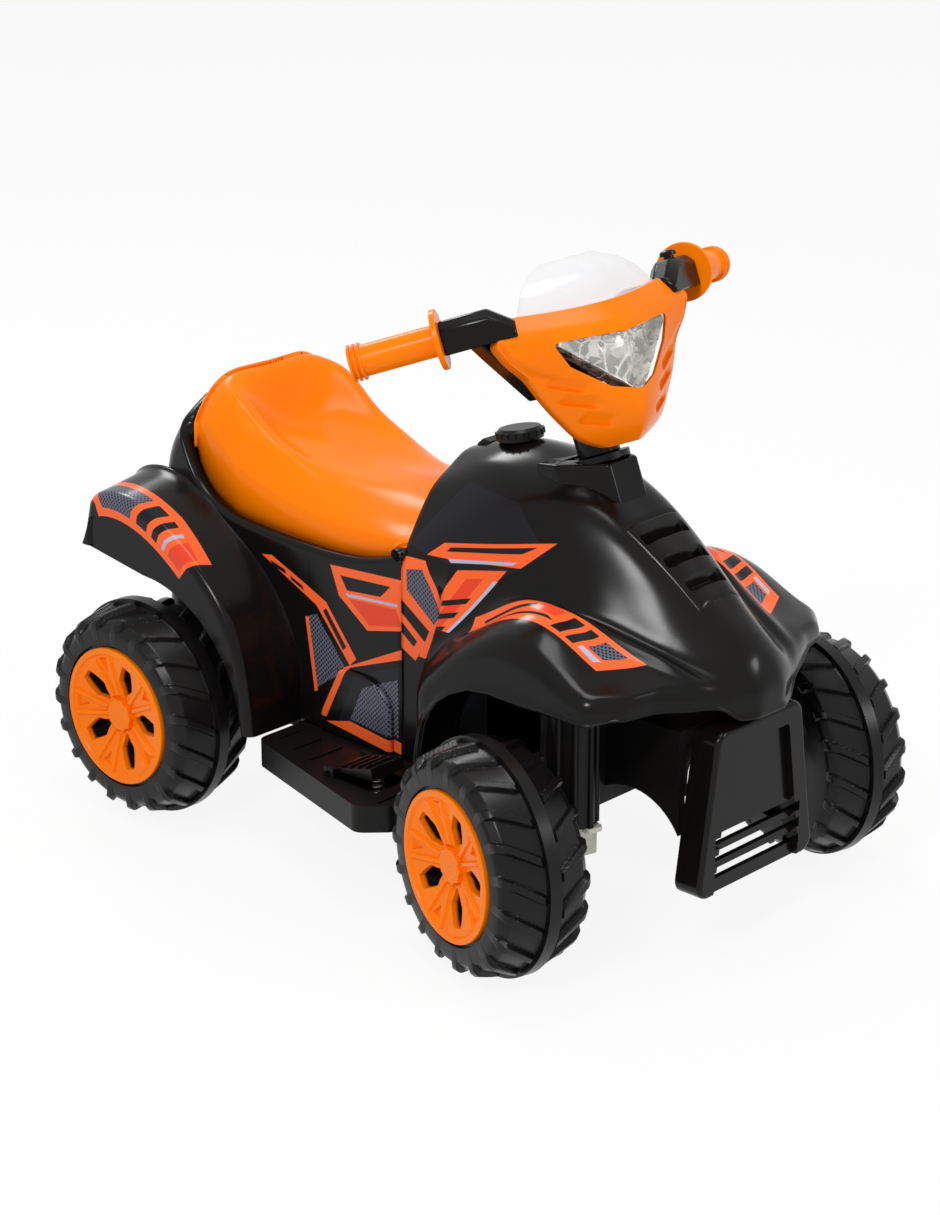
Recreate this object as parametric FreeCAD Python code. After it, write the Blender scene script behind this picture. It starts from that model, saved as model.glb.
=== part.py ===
import FreeCAD, Part
import math
import os

# Child's electric ride-on quad, modelled as the pieces it is assembled from.
# X points forward, Y to the rider's left and Z up, in millimetres.
# The origin lies on the ground below the middle of the toy.

# Layout of the wheels
TYRE_RADIUS = 100.0
WHEELBASE = 465.0
FRONT_AXLE_X = 222.35
FRONT_HALF_TRACK = 185.0
REAR_HALF_TRACK = 157.5
REAR_AXLE_X = FRONT_AXLE_X - WHEELBASE
AXLE_Z = TYRE_RADIUS

# Steering geometry; the toy rests with the bars turned to the rider's right
REST_STEER = -15.0
RAKE = 21.5
KINGPIN_Y = 105.0
STEER_ARM_LENGTH = 30.0
NECK_SETBACK = 67.0
NECK_Z = 385.0
NECK_X = FRONT_AXLE_X - NECK_SETBACK

# General fits
CUT_OVERRUN = 20.0
RUNNING_CLEARANCE = 0.1
SEAT_CLEARANCE = 0.3

# Tyres
TYRE_WIDTH = 82.0
TREAD_RADIUS = 96.5
SHOULDER_RADIUS = 91.0
SIDEWALL_RADIUS = 82.0
SHOULDER_REACH = 33.0
RIDGE_WIDTH = 11.0
TYRE_WALL = 3.0
HUB_RADIUS = 16.0
HUB_OUTER_REACH = 28.0
HUB_INNER_REACH = 36.0
OUTER_WEB_REACH = 12.0
INNER_WEB_REACH = 24.0
COVER_SEAT_RADIUS = 66.5
COVER_SEAT_DEPTH = 4.0
RECESS_RADIUS = 60.0
LUG_COUNT = 24
LUG_WIDTH = 9.0
LUG_HEIGHT = 2.6
LUG_OVERHANG = 3.0
LUG_SKEW = 16.0
LUG_FOOT = 3.0

# Wheel covers
COVER_RADIUS = 63.5
COVER_THICKNESS = 4.0
COVER_RIM_WIDTH = 6.0
COVER_RIM_HEIGHT = 2.0
COVER_BOSS_RADIUS = 15.0
COVER_BOSS_HEIGHT = 4.5
COVER_BOSS_FLUTES = 10
COVER_FLUTE_RADIUS = 2.4
SPOKE_COUNT = 5
SPOKE_RIB_WIDTH = 4.5
SPOKE_RIB_HEIGHT = 2.5
SPOKE_RIB_SPREAD = 11.0
WINDOW_INNER_RADIUS = 21.0
WINDOW_OUTER_RADIUS = 50.0
WINDOW_INNER_ANGLE = 13.0
WINDOW_OUTER_ANGLE = 17.0
WINDOW_CORNER = 2.0
NOTCH_INNER_RADIUS = 40.0
NOTCH_OUTER_RADIUS = 54.0
NOTCH_ANGLE = 6.5

# Axles
AXLE_DIAMETER = 10.0
PUSH_NUT_RADIUS = 9.0
PUSH_NUT_THICKNESS = 3.0
AXLE_TIP = 1.5
AXLE_BEND_RADIUS = 12.0

# Knuckles and steering arms
KNUCKLE_LENGTH = 30.0
KNUCKLE_INNER = 16.0
KNUCKLE_OUTER = 20.0
KNUCKLE_BOTTOM = 86.0
KNUCKLE_TOP = 112.0
KNUCKLE_CORNER = 4.0
KNUCKLE_LIP = 7.0
KNUCKLE_LIP_THICKNESS = 4.0
ARM_THICKNESS = 5.0
ARM_EYE_RADIUS = 10.0
TIE_ROD_WIDTH = 10.0
TIE_ROD_THICKNESS = 5.0
TIE_PIN_RADIUS = 3.0
OPEN_PIVOT_CLEARANCE = 1.2
CRANK_SLOT_LENGTH = 10.0

# Steering shaft
SHAFT_RADIUS = 6.0
SHAFT_TOP = 92.0
SHAFT_BOTTOM = -150.0
CRANK_LEVEL = -132.0
CRANK_THICKNESS = 6.0
CRANK_PIN_RADIUS = 3.0
CRANK_PIN_DROP = 16.0

# Front cowl: hood, tank and front fenders
COWL_REACH = 203.0
COWL_LENGTH = 323.0
COWL_HALF_WIDTH = 150.0
COWL_DATUM_Z = 200.0
COWL_RISE = 186.0
COWL_WALL = 3.5
COWL_CORNER = 16.0
COWL_STATION_SHARES = (0.0, 0.145, 0.28, 0.435, 0.59, 0.743, 0.867, 0.96, 1.0)
COWL_WIDTH_SHARES = (0.0, 0.13, 0.27, 0.40, 0.53, 0.67, 0.83, 0.93, 1.0)
COWL_HEIGHT_SHARES = (
    (0.90, 0.89, 0.83, 0.76, 0.62, 0.45, 0.34, 0.30, 0.27),
    (0.98, 0.96, 0.91, 0.82, 0.68, 0.48, 0.36, 0.31, 0.27),
    (0.99, 0.97, 0.92, 0.83, 0.69, 0.50, 0.39, 0.33, 0.27),
    (0.96, 0.94, 0.88, 0.78, 0.62, 0.47, 0.39, 0.34, 0.27),
    (0.84, 0.83, 0.74, 0.60, 0.47, 0.42, 0.37, 0.32, 0.26),
    (0.56, 0.55, 0.45, 0.33, 0.30, 0.29, 0.27, 0.25, 0.20),
    (0.37, 0.35, 0.26, 0.23, 0.22, 0.215, 0.20, 0.19, 0.17),
    (0.23, 0.20, 0.16, 0.145, 0.145, 0.145, 0.145, 0.145, 0.14),
    (0.15, 0.14, 0.12, 0.11, 0.11, 0.11, 0.11, 0.11, 0.11),
)
COWL_PLAN_SHARES = (
    (1.0, 0.10), (0.972, 0.23), (0.916, 0.48), (0.873, 0.66), (0.848, 0.84),
    (0.78, 1.0), (0.192, 1.0), (0.167, 0.65), (0.0, 0.65),
)
ARCH_SHARES = (
    (0.199, 0.0), (0.203, 0.30), (0.224, 0.62), (0.27, 0.85), (0.35, 0.975),
    (0.43, 0.99), (0.52, 0.955), (0.66, 0.915), (0.78, 0.925), (0.90, 0.925), (0.97, 0.85), (1.06, 0.83),
)
ARCH_HEIGHT = 132.0

# Steering collar on the cowl
COLLAR_FRONT = 24.0
COLLAR_FRONT_HALF_WIDTH = 19.0
COLLAR_WING_X = -6.0
COLLAR_WING_HALF_WIDTH = 46.0
COLLAR_BACK = -34.0
COLLAR_TOP = -3.0
COLLAR_DEPTH = 62.0
COLLAR_CORNER = 3.0
NECK_RING_RADIUS = 25.0
NECK_RING_HEIGHT = 5.0
NECK_RING_SPIGOT = 12.0
NECK_RING_SPIGOT_RADIUS = 17.0

# Hood vents
VENT_COUNT = 3
VENT_FIRST_SHARE = 0.665
VENT_STEP_SHARE = 0.053
VENT_HALF_LENGTH = 29.0
VENT_NARROWING = 3.0
VENT_WIDTH = 12.0
VENT_DEPTH = 8.0
VENT_TRAY_WALL = 2.5
VENT_CORNER = 3.0

# Tank fittings
CAP_FORWARD = 47.0
CAP_RADIUS = 20.0
CAP_HEIGHT = 10.0
CAP_EDGE = 2.5
CAP_RIBS = 18
CAP_RIB_RADIUS = 1.4
CAP_SPIGOT_RADIUS = 13.0
CAP_SPIGOT_LENGTH = 9.0
SWITCH_FORWARD = 13.3
SWITCH_LENGTH = 19.0
SWITCH_WIDTH = 18.0
SWITCH_BODY_DEPTH = 14.0
SWITCH_CROWN = 5.0
SWITCH_FRAME = 3.0
SWITCH_TILT = 9.0
SWITCH_TIP_GAP = 1.4
SWITCH_PIN_RADIUS = 2.0

# Rear body: seat surround, flanks and rear fenders
TAIL_OVERHANG = 81.0
BODY_JOINT_GAP = 0.5
BODY_BOTTOM_Z = 105.0
BODY_WAIST_Z = 262.0
BODY_SHOULDER_Z = 325.0
BODY_TOP_Z = 376.0
BODY_HALF_WIDTH = 104.0
BODY_WALL = 3.5
BODY_CORNER = 26.0
BODY_LOW_SHARES = ((0.0, 0.93), (0.33, 0.95), (0.62, 0.99), (0.88, 0.92), (0.99, 0.50))
BODY_MIDDLE_SHARES = ((0.0, 0.93), (0.33, 0.95), (0.62, 0.98), (0.86, 0.90), (0.95, 0.46))
BODY_HIGH_SHARES = ((0.0, 0.93), (0.33, 0.95), (0.58, 0.95), (0.76, 0.86), (0.82, 0.46))
RIM_BASE_Z = 268.0
RIM_RISE = 108.0
RIM_SHARES = (
    (-0.06, 0.30), (0.0, 0.22), (0.11, 0.10), (0.33, 0.04), (0.515, 0.07),
    (0.68, 0.17), (0.76, 0.35), (0.81, 0.62), (0.845, 0.88), (0.90, 1.06), (1.06, 1.12),
)
LEDGE_DROP = 12.0
LEDGE_THICKNESS = 3.0
LEDGE_WIDTH = 12.0
TUB_CLEAR_Z = 128.0
TUB_CLEAR_FORWARD = 96.0
FENDER_HALF_WIDTH = 160.0
FENDER_INNER_Y = 97.0
FENDER_WALL = 3.5
FENDER_CLEARANCE = 24.0
FENDER_TAIL_HEIGHT = 146.0
FENDER_FRONT_REACH = 135.0
FENDER_LIP_SHARE = 0.93
FENDER_TOP_SHARES = (
    (1.0, 1.11), (0.90, 1.235), (0.60, 1.31), (0.01, 1.275), (-0.42, 1.08), (-0.79, 0.75), (-0.925, 0.48), (-1.0, 0.03),
)
FENDER_EDGE_RADIUS = 9.0
PANEL_LENGTH = 88.0
PANEL_HEIGHT = 66.0
PANEL_RAISE = 4.0
PANEL_FORWARD = 54.0

# Seat
SEAT_FRONT_OVERLAP = 12.0
SEAT_WALL = 5.0
SEAT_HOLLOW_COLUMN = 2
SEAT_LENGTH = 322.0
SEAT_HALF_WIDTH = 100.0
SEAT_DATUM_Z = 250.0
SEAT_RISE = 140.0
SEAT_STATION_SHARES = (0.0, 0.068, 0.224, 0.41, 0.534, 0.668, 0.764, 0.82, 0.855, 0.915, 1.0)
SEAT_WIDTH_SHARES = (0.0, 0.25, 0.50, 0.66, 0.80, 0.90, 1.0)
SEAT_HEIGHT_SHARES = (
    (0.50, 0.49, 0.40, 0.27, 0.16, 0.09, 0.03),
    (0.515, 0.50, 0.415, 0.29, 0.19, 0.11, 0.04),
    (0.53, 0.51, 0.44, 0.36, 0.28, 0.19, 0.06),
    (0.515, 0.515, 0.515, 0.465, 0.38, 0.28, 0.10),
    (0.555, 0.56, 0.58, 0.58, 0.46, 0.34, 0.13),
    (0.605, 0.63, 0.69, 0.735, 0.61, 0.45, 0.18),
    (0.73, 0.76, 0.855, 0.89, 0.76, 0.54, 0.24),
    (0.95, 0.955, 0.955, 0.92, 0.79, 0.59, 0.28),
    (0.985, 0.985, 0.97, 0.905, 0.77, 0.58, 0.28),
    (0.90, 0.895, 0.855, 0.775, 0.645, 0.485, 0.24),
    (0.715, 0.705, 0.67, 0.60, 0.49, 0.36, 0.18),
)

# Chassis
FLOOR_Z = 70.0
FLOOR_WALL = 4.0
TUB_HALF_WIDTH = 84.0
TUB_TOP_Z = 101.0
TUB_FRONT_REACH = 66.0
TUB_REAR_REACH = 136.0
KEEL_HALF_WIDTH = 54.0
KEEL_OVERHANG = 52.0
BEARING_RADIUS = 15.0
BOARD_Z = 105.0
BOARD_THICKNESS = 4.0
BOARD_SKIRT = 24.0
BOARD_REAR_FORWARD = 139.0
BOARD_FRONT_BACK = 138.0
BOARD_REAR_Y = 154.0
BOARD_FRONT_Y = 197.0
BOARD_CORNER = 12.0
BOARD_NOSE = 22.0
TREAD_COUNT = 7
TREAD_WIDTH = 2.0
TREAD_HEIGHT = 1.5
TREAD_MARGIN = 14.0
TOWER_RADIUS = 19.0
TOWER_TOP = 224.0
TOWER_RIBS = 8
TOWER_RIB_RADIUS = 3.0
FRAME_HALF_WIDTH = 72.0
FRAME_TOP_Z = 204.0
FRAME_FRONT_REACH = 84.0
FRAME_REAR_REACH = 66.0
FRAME_ARCH_RADIUS = 58.0
FRAME_ARCH_FORWARD = 34.0
FRAME_ARCH_Z = 84.0
WEB_THICKNESS = 12.0
SOCKET_RADIUS = 11.0
SOCKET_LENGTH = 14.0
SOCKET_FLOOR = 3.0
POST_DEPTH = 14.0
POST_HALF_WIDTH = 9.0

# Front bumper
BUMPER_BOTTOM_Z = 62.0
BUMPER_TOP_Z = 204.0
BUMPER_BOTTOM_HALF_WIDTH = 76.0
BUMPER_TOP_HALF_WIDTH = 54.0
BUMPER_DEPTH = 26.0
BUMPER_WALL = 5.0
BUMPER_CORNER = 13.0
BUMPER_FRAME = 17.0
BUMPER_RECESS = 6.0
BUMPER_SLOTS = 3
BUMPER_SLOT_HEIGHT = 9.0
BUMPER_BAR_HEIGHT = 6.0
BUMPER_FOOT = 12.0
BUMPER_EDGE = 4.0

# Handlebar, in the frame of the raked steering axis
BAR_BACK = -25.0
BAR_LEVEL = 131.0
BAR_RADIUS = 8.0
BLOCK_INNER = 41.0
BLOCK_OUTER = 94.0
BLOCK_HEIGHT = 26.0
BLOCK_DEPTH = 26.0
BLOCK_CORNER = 5.0
YOKE_LEVEL = 58.0
YOKE_HALF_WIDTH = 50.0
YOKE_DEPTH = 20.0
YOKE_DIP = 22.0
STEM_RADIUS = 18.0
STEM_TOP = 84.0
GRIP_RADIUS = 13.0
GRIP_END = 184.0
GRIP_FLANGE_RADIUS = 25.0
GRIP_FLANGE_THICKNESS = 5.0
GRIP_RING_COUNT = 3
GRIP_RING_WIDTH = 2.2
GRIP_RING_PITCH = 4.2
GRIP_RING_RADIUS = 15.5
GRIP_END_WALL = 3.0
HORN_RADIUS = 8.0
HORN_HEIGHT = 6.0
HORN_STEM_RADIUS = 5.0
HORN_STEM_LENGTH = 10.0
HORN_TRAVEL = 2.0
HORN_PLACE = 66.0

# Front fairing with headlight and windshield
FAIRING_BOTTOM = 10.0
FAIRING_HEIGHT = 118.0
FAIRING_HALF_WIDTH = 96.0
FAIRING_BACK = 46.0
FAIRING_BULGE = 47.0
FAIRING_WALL = 3.0
FAIRING_SKIRT = 12.0
FAIRING_CURVE = 1.35
FAIRING_LEVEL_SHARES = (0.0, 0.06, 0.19, 0.42, 0.64, 0.81, 0.90, 1.0)
FAIRING_WIDTH_SHARES = (0.17, 0.36, 0.58, 0.76, 0.91, 1.0, 0.90, 0.74)
FAIRING_BULGE_SHARES = (0.36, 0.58, 0.84, 0.97, 1.0, 0.86, 0.68, 0.50)
FAIRING_DIP = 11.0
LENS_HALF_WIDTH = 55.0
LENS_TOP = 101.0
LENS_DIP = 6.0
LENS_BOTTOM = 46.0
LENS_CORNER = 3.0
LENS_RECESS = 1.5
LENS_THICKNESS = 2.0
LENS_CLEARANCE = 0.3
REFLECTOR_DEPTH = 18.0
REFLECTOR_WALL = 1.5
BULB_RADIUS = 5.0
BULB_BASE_RADIUS = 4.0
BULB_BASE_LENGTH = 8.0
SCREEN_HEIGHT = 48.0
SCREEN_HALF_WIDTH = 83.3
SCREEN_THICKNESS = 2.0
SCREEN_LEVEL_SHARES = (0.0, 0.23, 0.40, 0.70, 1.0)
SCREEN_WIDTH_SHARES = (1.0, 0.80, 0.74, 0.61, 0.28)
SCREEN_BACK_SHARES = (0.0, 0.08, 0.14, 0.30, 0.55)
SCREEN_BULGE_SHARES = (0.622, 0.43, 0.43, 0.38, 0.18)
SCREEN_LEAN = 30.0
BRACKET_RADIUS = 5.0
BRACKET_Y = 48.0
BRACKET_LEVEL = 78.0

# Drive: battery, motor, gearbox
GEAR_MODULE = 1.5
GEAR_BACKLASH = 0.35
DRIVE_TEETH = 48
COMPOUND_SMALL_TEETH = 12
COMPOUND_LARGE_TEETH = 36
PINION_TEETH = 10
TRAIN_ANGLE = 20.0
GEAR_FACE = 8.0
GEAR_GAP = 2.0
CASE_WALL = 2.5
CASE_INNER_Y = 62.0
CASE_CLEARANCE = 3.0
GEAR_PIN_RADIUS = 3.0
MOTOR_RADIUS = 18.0
MOTOR_LENGTH = 46.0
MOTOR_BOSS_RADIUS = 6.0
MOTOR_BOSS_LENGTH = 4.0
MOTOR_SHAFT_RADIUS = 1.6
BATTERY_LENGTH = 100.0
BATTERY_WIDTH = 47.0
BATTERY_HEIGHT = 70.0
BATTERY_FORWARD = 150.0
BATTERY_CORNER = 2.0
TERMINAL_LENGTH = 8.0
TERMINAL_WIDTH = 1.0
TERMINAL_HEIGHT = 6.0

# Accelerator pedal on the right footboard
PEDAL_LENGTH = 52.0
PEDAL_WIDTH = 38.0
PEDAL_THICKNESS = 4.0
PEDAL_ANGLE = 15.0
PEDAL_Y = 146.0
PEDAL_BACK = 168.0
PEDAL_PIN_RADIUS = 3.0
PEDAL_GAP = 1.0
PEDAL_RIBS = 4
PEDAL_WELL_DEPTH = 20.0
SPRING_RADIUS = 5.0
SPRING_WIRE = 1.0
SPRING_TURNS = 5
SWITCH_BOX_LENGTH = 20.0
SWITCH_BOX_WIDTH = 10.0
SWITCH_BOX_HEIGHT = 10.0

# Screws that hold the body to the chassis from below
SCREW_HEAD_RADIUS = 5.0
SCREW_HEAD_HEIGHT = 3.0
SCREW_RADIUS = 2.0
SCREW_LENGTH = 16.0
SCREW_BOSS_RADIUS = 6.0
SCREW_Y = 93.8
SCREW_SETBACK = 84.0


def vector(x, y, z):
    """Point or direction in the toy's frame."""
    return FreeCAD.Vector(x, y, z)


ORIGIN = vector(0, 0, 0)
AXIS_X = vector(1, 0, 0)
AXIS_Y = vector(0, 1, 0)
AXIS_Z = vector(0, 0, 1)


def rounded_wire(points, radius, sharp=()):
    """Closed outline through corner points, each corner an arc of the radius that its sides allow, but the sharp ones."""
    count = len(points)
    entries = []
    for index, corner in enumerate(points):
        back = points[index - 1] - corner
        ahead = points[(index + 1) % count] - corner
        half_turn = back.getAngle(ahead) / 2
        room = min(back.Length, ahead.Length) * 0.45
        trim = min(radius / math.tan(half_turn), room)
        real = trim * math.tan(half_turn)
        back.normalize()
        ahead.normalize()
        middle = back + ahead
        if middle.Length < 1e-6 or radius == 0 or index in sharp:
            entries.append((corner, None, corner))
            continue
        middle.normalize()
        apex = corner + middle * (real / math.sin(half_turn) - real)
        entries.append((corner + back * trim, apex, corner + ahead * trim))
    edges = []
    for index, (start, apex, end) in enumerate(entries):
        if apex is not None:
            edges.append(Part.Arc(start, apex, end).toShape())
        following = entries[(index + 1) % count][0]
        if end.distanceToPoint(following) > 1e-6:
            edges.append(Part.makeLine(end, following))
    return Part.Wire(edges)


def prism(points, direction, radius=0.0):
    """Solid made by pushing a flat rounded outline along a direction."""
    return Part.Face(rounded_wire(points, radius)).extrude(direction)


def prism_x(points, x_from, x_to, radius=0.0):
    """Outline in (y, z) carried along X."""
    corners = [vector(x_from, y, z) for y, z in points]
    return prism(corners, vector(x_to - x_from, 0, 0), radius)


def prism_y(points, y_from, y_to, radius=0.0):
    """Outline in (x, z) carried along Y."""
    corners = [vector(x, y_from, z) for x, z in points]
    return prism(corners, vector(0, y_to - y_from, 0), radius)


def prism_z(points, z_from, z_to, radius=0.0):
    """Outline in (x, y) carried along Z."""
    corners = [vector(x, y, z_from) for x, y in points]
    return prism(corners, vector(0, 0, z_to - z_from), radius)


def box(x_from, x_to, y_from, y_to, z_from, z_to):
    """Block between two corners."""
    return Part.makeBox(x_to - x_from, y_to - y_from, z_to - z_from, vector(x_from, y_from, z_from))


def rod(start, end, radius):
    """Round bar from one point to another."""
    return Part.makeCylinder(radius, (end - start).Length, start, end - start)


def spline(points):
    """Smooth edge through a few points."""
    curve = Part.BSplineCurve()
    curve.interpolate(points)
    return curve.toShape()


def mirrored(shape):
    """Copy on the other side of the toy's middle plane."""
    return shape.mirror(ORIGIN, AXIS_Y)


def both_sides(shape):
    """The shape and its mirror image in one solid."""
    return shape.fuse(mirrored(shape))


def turned(shape, angle, centre=ORIGIN, axis=AXIS_Z):
    """Copy rotated about an axis."""
    copy = shape.copy()
    copy.rotate(centre, axis, angle)
    return copy


def moved(shape, offset):
    """Copy shifted by an offset."""
    copy = shape.copy()
    copy.translate(offset)
    return copy


def revolved(points):
    """Ring from an outline in (radius, place along the axle), turned about the Y axis."""
    outline = [vector(radius, place, 0) for radius, place in points]
    return Part.Face(rounded_wire(outline, 0.0)).revolve(ORIGIN, AXIS_Y, 360)


def steered(shape):
    """Set a shape drawn about its own upright axis onto the raked steering axis, bars turned as at rest."""
    copy = turned(shape, REST_STEER)
    copy.rotate(ORIGIN, AXIS_Y, -RAKE)
    copy.translate(vector(NECK_X, 0, NECK_Z))
    return copy


def raked(shape):
    """Set a shape drawn about an upright axis onto the raked steering axis, not turned."""
    copy = turned(shape, -RAKE, ORIGIN, AXIS_Y)
    copy.translate(vector(NECK_X, 0, NECK_Z))
    return copy


def knuckled(shape, side):
    """Turn a shape about its kingpin to the resting steering angle; side is -1 on the right."""
    return turned(shape, REST_STEER, vector(FRONT_AXLE_X, side * KINGPIN_Y, 0))


# Wheels

def tyre_body():
    """Hollow blow-moulded wheel body, its outer face towards -Y."""
    half = TYRE_WIDTH / 2
    ridge = RIDGE_WIDTH / 2
    bore = AXLE_DIAMETER / 2 + RUNNING_CLEARANCE
    skin = revolved([
        (bore, HUB_INNER_REACH), (HUB_RADIUS, HUB_INNER_REACH), (HUB_RADIUS, INNER_WEB_REACH),
        (RECESS_RADIUS, INNER_WEB_REACH), (RECESS_RADIUS, half), (SIDEWALL_RADIUS, half),
        (SHOULDER_RADIUS, SHOULDER_REACH), (TREAD_RADIUS, ridge), (TYRE_RADIUS, ridge),
        (TYRE_RADIUS, -ridge), (TREAD_RADIUS, -ridge), (SHOULDER_RADIUS, -SHOULDER_REACH),
        (SIDEWALL_RADIUS, -half), (COVER_SEAT_RADIUS, -half), (COVER_SEAT_RADIUS, COVER_SEAT_DEPTH - half),
        (RECESS_RADIUS, COVER_SEAT_DEPTH - half), (RECESS_RADIUS, -OUTER_WEB_REACH),
        (HUB_RADIUS, -OUTER_WEB_REACH), (HUB_RADIUS, -HUB_OUTER_REACH), (bore, -HUB_OUTER_REACH),
    ])
    low = RECESS_RADIUS + TYRE_WALL
    deep = half - COVER_SEAT_DEPTH - TYRE_WALL
    far_web = INNER_WEB_REACH - TYRE_WALL
    near_web = TYRE_WALL - OUTER_WEB_REACH
    hollow = revolved([
        (HUB_RADIUS, far_web), (low, far_web), (low, deep), (SIDEWALL_RADIUS - TYRE_WALL, deep), (SHOULDER_RADIUS - TYRE_WALL, SHOULDER_REACH - TYRE_WALL),
        (TREAD_RADIUS - TYRE_WALL, ridge), (TREAD_RADIUS - TYRE_WALL, -ridge),
        (SHOULDER_RADIUS - TYRE_WALL, TYRE_WALL - SHOULDER_REACH), (SIDEWALL_RADIUS - TYRE_WALL, -deep), (low, -deep),
        (low, near_web), (HUB_RADIUS, near_web),
    ])
    return skin.cut(hollow)


def tyre_lug():
    """One tread block on the outer side, at the front of the wheel."""
    half = TYRE_WIDTH / 2
    ridge = RIDGE_WIDTH / 2
    outline = [
        (TREAD_RADIUS - LUG_FOOT, -ridge), (TREAD_RADIUS + LUG_HEIGHT, -ridge),
        (SHOULDER_RADIUS + LUG_HEIGHT, -SHOULDER_REACH - LUG_HEIGHT), (SIDEWALL_RADIUS, -half - LUG_OVERHANG),
        (SIDEWALL_RADIUS - LUG_FOOT, -half - LUG_OVERHANG), (SIDEWALL_RADIUS - LUG_FOOT, LUG_FOOT - half),
        (SHOULDER_RADIUS - LUG_FOOT, LUG_FOOT - SHOULDER_REACH),
    ]
    corners = [vector(radius, place, -LUG_WIDTH / 2) for radius, place in outline]
    return turned(prism(corners, vector(0, 0, LUG_WIDTH)), LUG_SKEW, ORIGIN, AXIS_X)


def make_tyre():
    """Wheel body with a row of tread blocks on each shoulder, staggered by half a pitch."""
    pitch = 360.0 / LUG_COUNT
    near = tyre_lug()
    far = near.mirror(ORIGIN, AXIS_Y)
    lugs = []
    for index in range(LUG_COUNT):
        lugs.append(turned(near, index * pitch, ORIGIN, AXIS_Y))
        lugs.append(turned(far, (index + 0.5) * pitch, ORIGIN, AXIS_Y))
    return tyre_body().fuse(lugs)


def polar(radius, angle):
    """Point of a wheel face from its radius and its angle in degrees."""
    return radius * math.cos(math.radians(angle)), radius * math.sin(math.radians(angle))


def make_cover():
    """Five-spoked wheel cover with its windows, spoke notches, ribs and fluted boss."""
    back = COVER_SEAT_DEPTH - TYRE_WIDTH / 2
    front = back - COVER_THICKNESS
    rim_front = front - COVER_RIM_HEIGHT
    disc = revolved([
        (0, back), (COVER_RADIUS, back), (COVER_RADIUS, rim_front), (COVER_RADIUS - COVER_RIM_WIDTH, rim_front),
        (COVER_RADIUS - COVER_RIM_WIDTH, front), (COVER_BOSS_RADIUS, front),
        (COVER_BOSS_RADIUS, front - COVER_BOSS_HEIGHT), (0, front - COVER_BOSS_HEIGHT),
    ])
    pitch = 360.0 / SPOKE_COUNT
    ribs = []
    cuts = []
    for index in range(SPOKE_COUNT):
        spoke = 90.0 + index * pitch
        for side in (-1, 1):
            rib = box(COVER_BOSS_RADIUS / 2, COVER_RADIUS - COVER_RIM_WIDTH / 2, front - SPOKE_RIB_HEIGHT, front,
                      -SPOKE_RIB_WIDTH / 2, SPOKE_RIB_WIDTH / 2)
            ribs.append(turned(rib, side * SPOKE_RIB_SPREAD - spoke, ORIGIN, AXIS_Y))
        gap = spoke + pitch / 2
        window = [
            polar(WINDOW_INNER_RADIUS, gap - WINDOW_INNER_ANGLE), polar(WINDOW_OUTER_RADIUS, gap - WINDOW_OUTER_ANGLE),
            polar(WINDOW_OUTER_RADIUS, gap + WINDOW_OUTER_ANGLE), polar(WINDOW_INNER_RADIUS, gap + WINDOW_INNER_ANGLE),
        ]
        notch = [
            polar(NOTCH_INNER_RADIUS, spoke), polar(NOTCH_OUTER_RADIUS, spoke + NOTCH_ANGLE),
            polar(NOTCH_OUTER_RADIUS, spoke - NOTCH_ANGLE),
        ]
        for outline in (window, notch):
            cuts.append(prism_y(outline, back + CUT_OVERRUN, front - CUT_OVERRUN, WINDOW_CORNER))
    flutes = []
    for index in range(COVER_BOSS_FLUTES):
        x, z = polar(COVER_BOSS_RADIUS, index * 360.0 / COVER_BOSS_FLUTES)
        flutes.append(rod(vector(x, front, z), vector(x, front - CUT_OVERRUN, z), COVER_FLUTE_RADIUS))
    return disc.fuse(ribs).cut(cuts).cut(flutes)


# Bodywork

def cowl_x(share):
    """Place along the cowl, from its rear edge at 0 to the nose at 1."""
    return FRONT_AXLE_X - COWL_REACH + share * COWL_LENGTH


def sculpted_block(stations, widths, heights, floor):
    """Solid under a sculpted top given by rows of heights across the toy at stations along it, down to a floor."""
    sections = []
    for x, row in zip(stations, heights):
        half = [vector(x, y, z) for y, z in zip(widths, row)]
        points = [vector(x, -point.y, point.z) for point in reversed(half[1:])] + half
        start = vector(x, points[0].y, floor)
        end = vector(x, points[-1].y, floor)
        sections.append(Part.Wire([
            Part.makeLine(start, points[0]), spline(points), Part.makeLine(points[-1], end), Part.makeLine(end, start),
        ]))
    return Part.makeLoft(sections, True)


def cowl_block(drop, floor):
    """Solid below the cowl's sculpted top, lowered by a drop, down to a floor."""
    stations = [cowl_x(share) for share in COWL_STATION_SHARES]
    widths = [share * (COWL_HALF_WIDTH + COWL_WALL) for share in COWL_WIDTH_SHARES]
    heights = [[COWL_DATUM_Z + share * COWL_RISE - drop for share in row] for row in COWL_HEIGHT_SHARES]
    return sculpted_block(stations, widths, heights, floor)


def cowl_plan(inset, floor, top):
    """Upright prism over the cowl's plan outline, drawn in by an inset."""
    half = [(cowl_x(along), across * COWL_HALF_WIDTH) for along, across in COWL_PLAN_SHARES]
    outline = half + [(x, -y) for x, y in reversed(half)]
    wire = rounded_wire([vector(x, y, floor) for x, y in outline], COWL_CORNER)
    if inset:
        wire = wire.makeOffset2D(-inset)
    return Part.Face(wire).extrude(vector(0, 0, top - floor))


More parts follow.
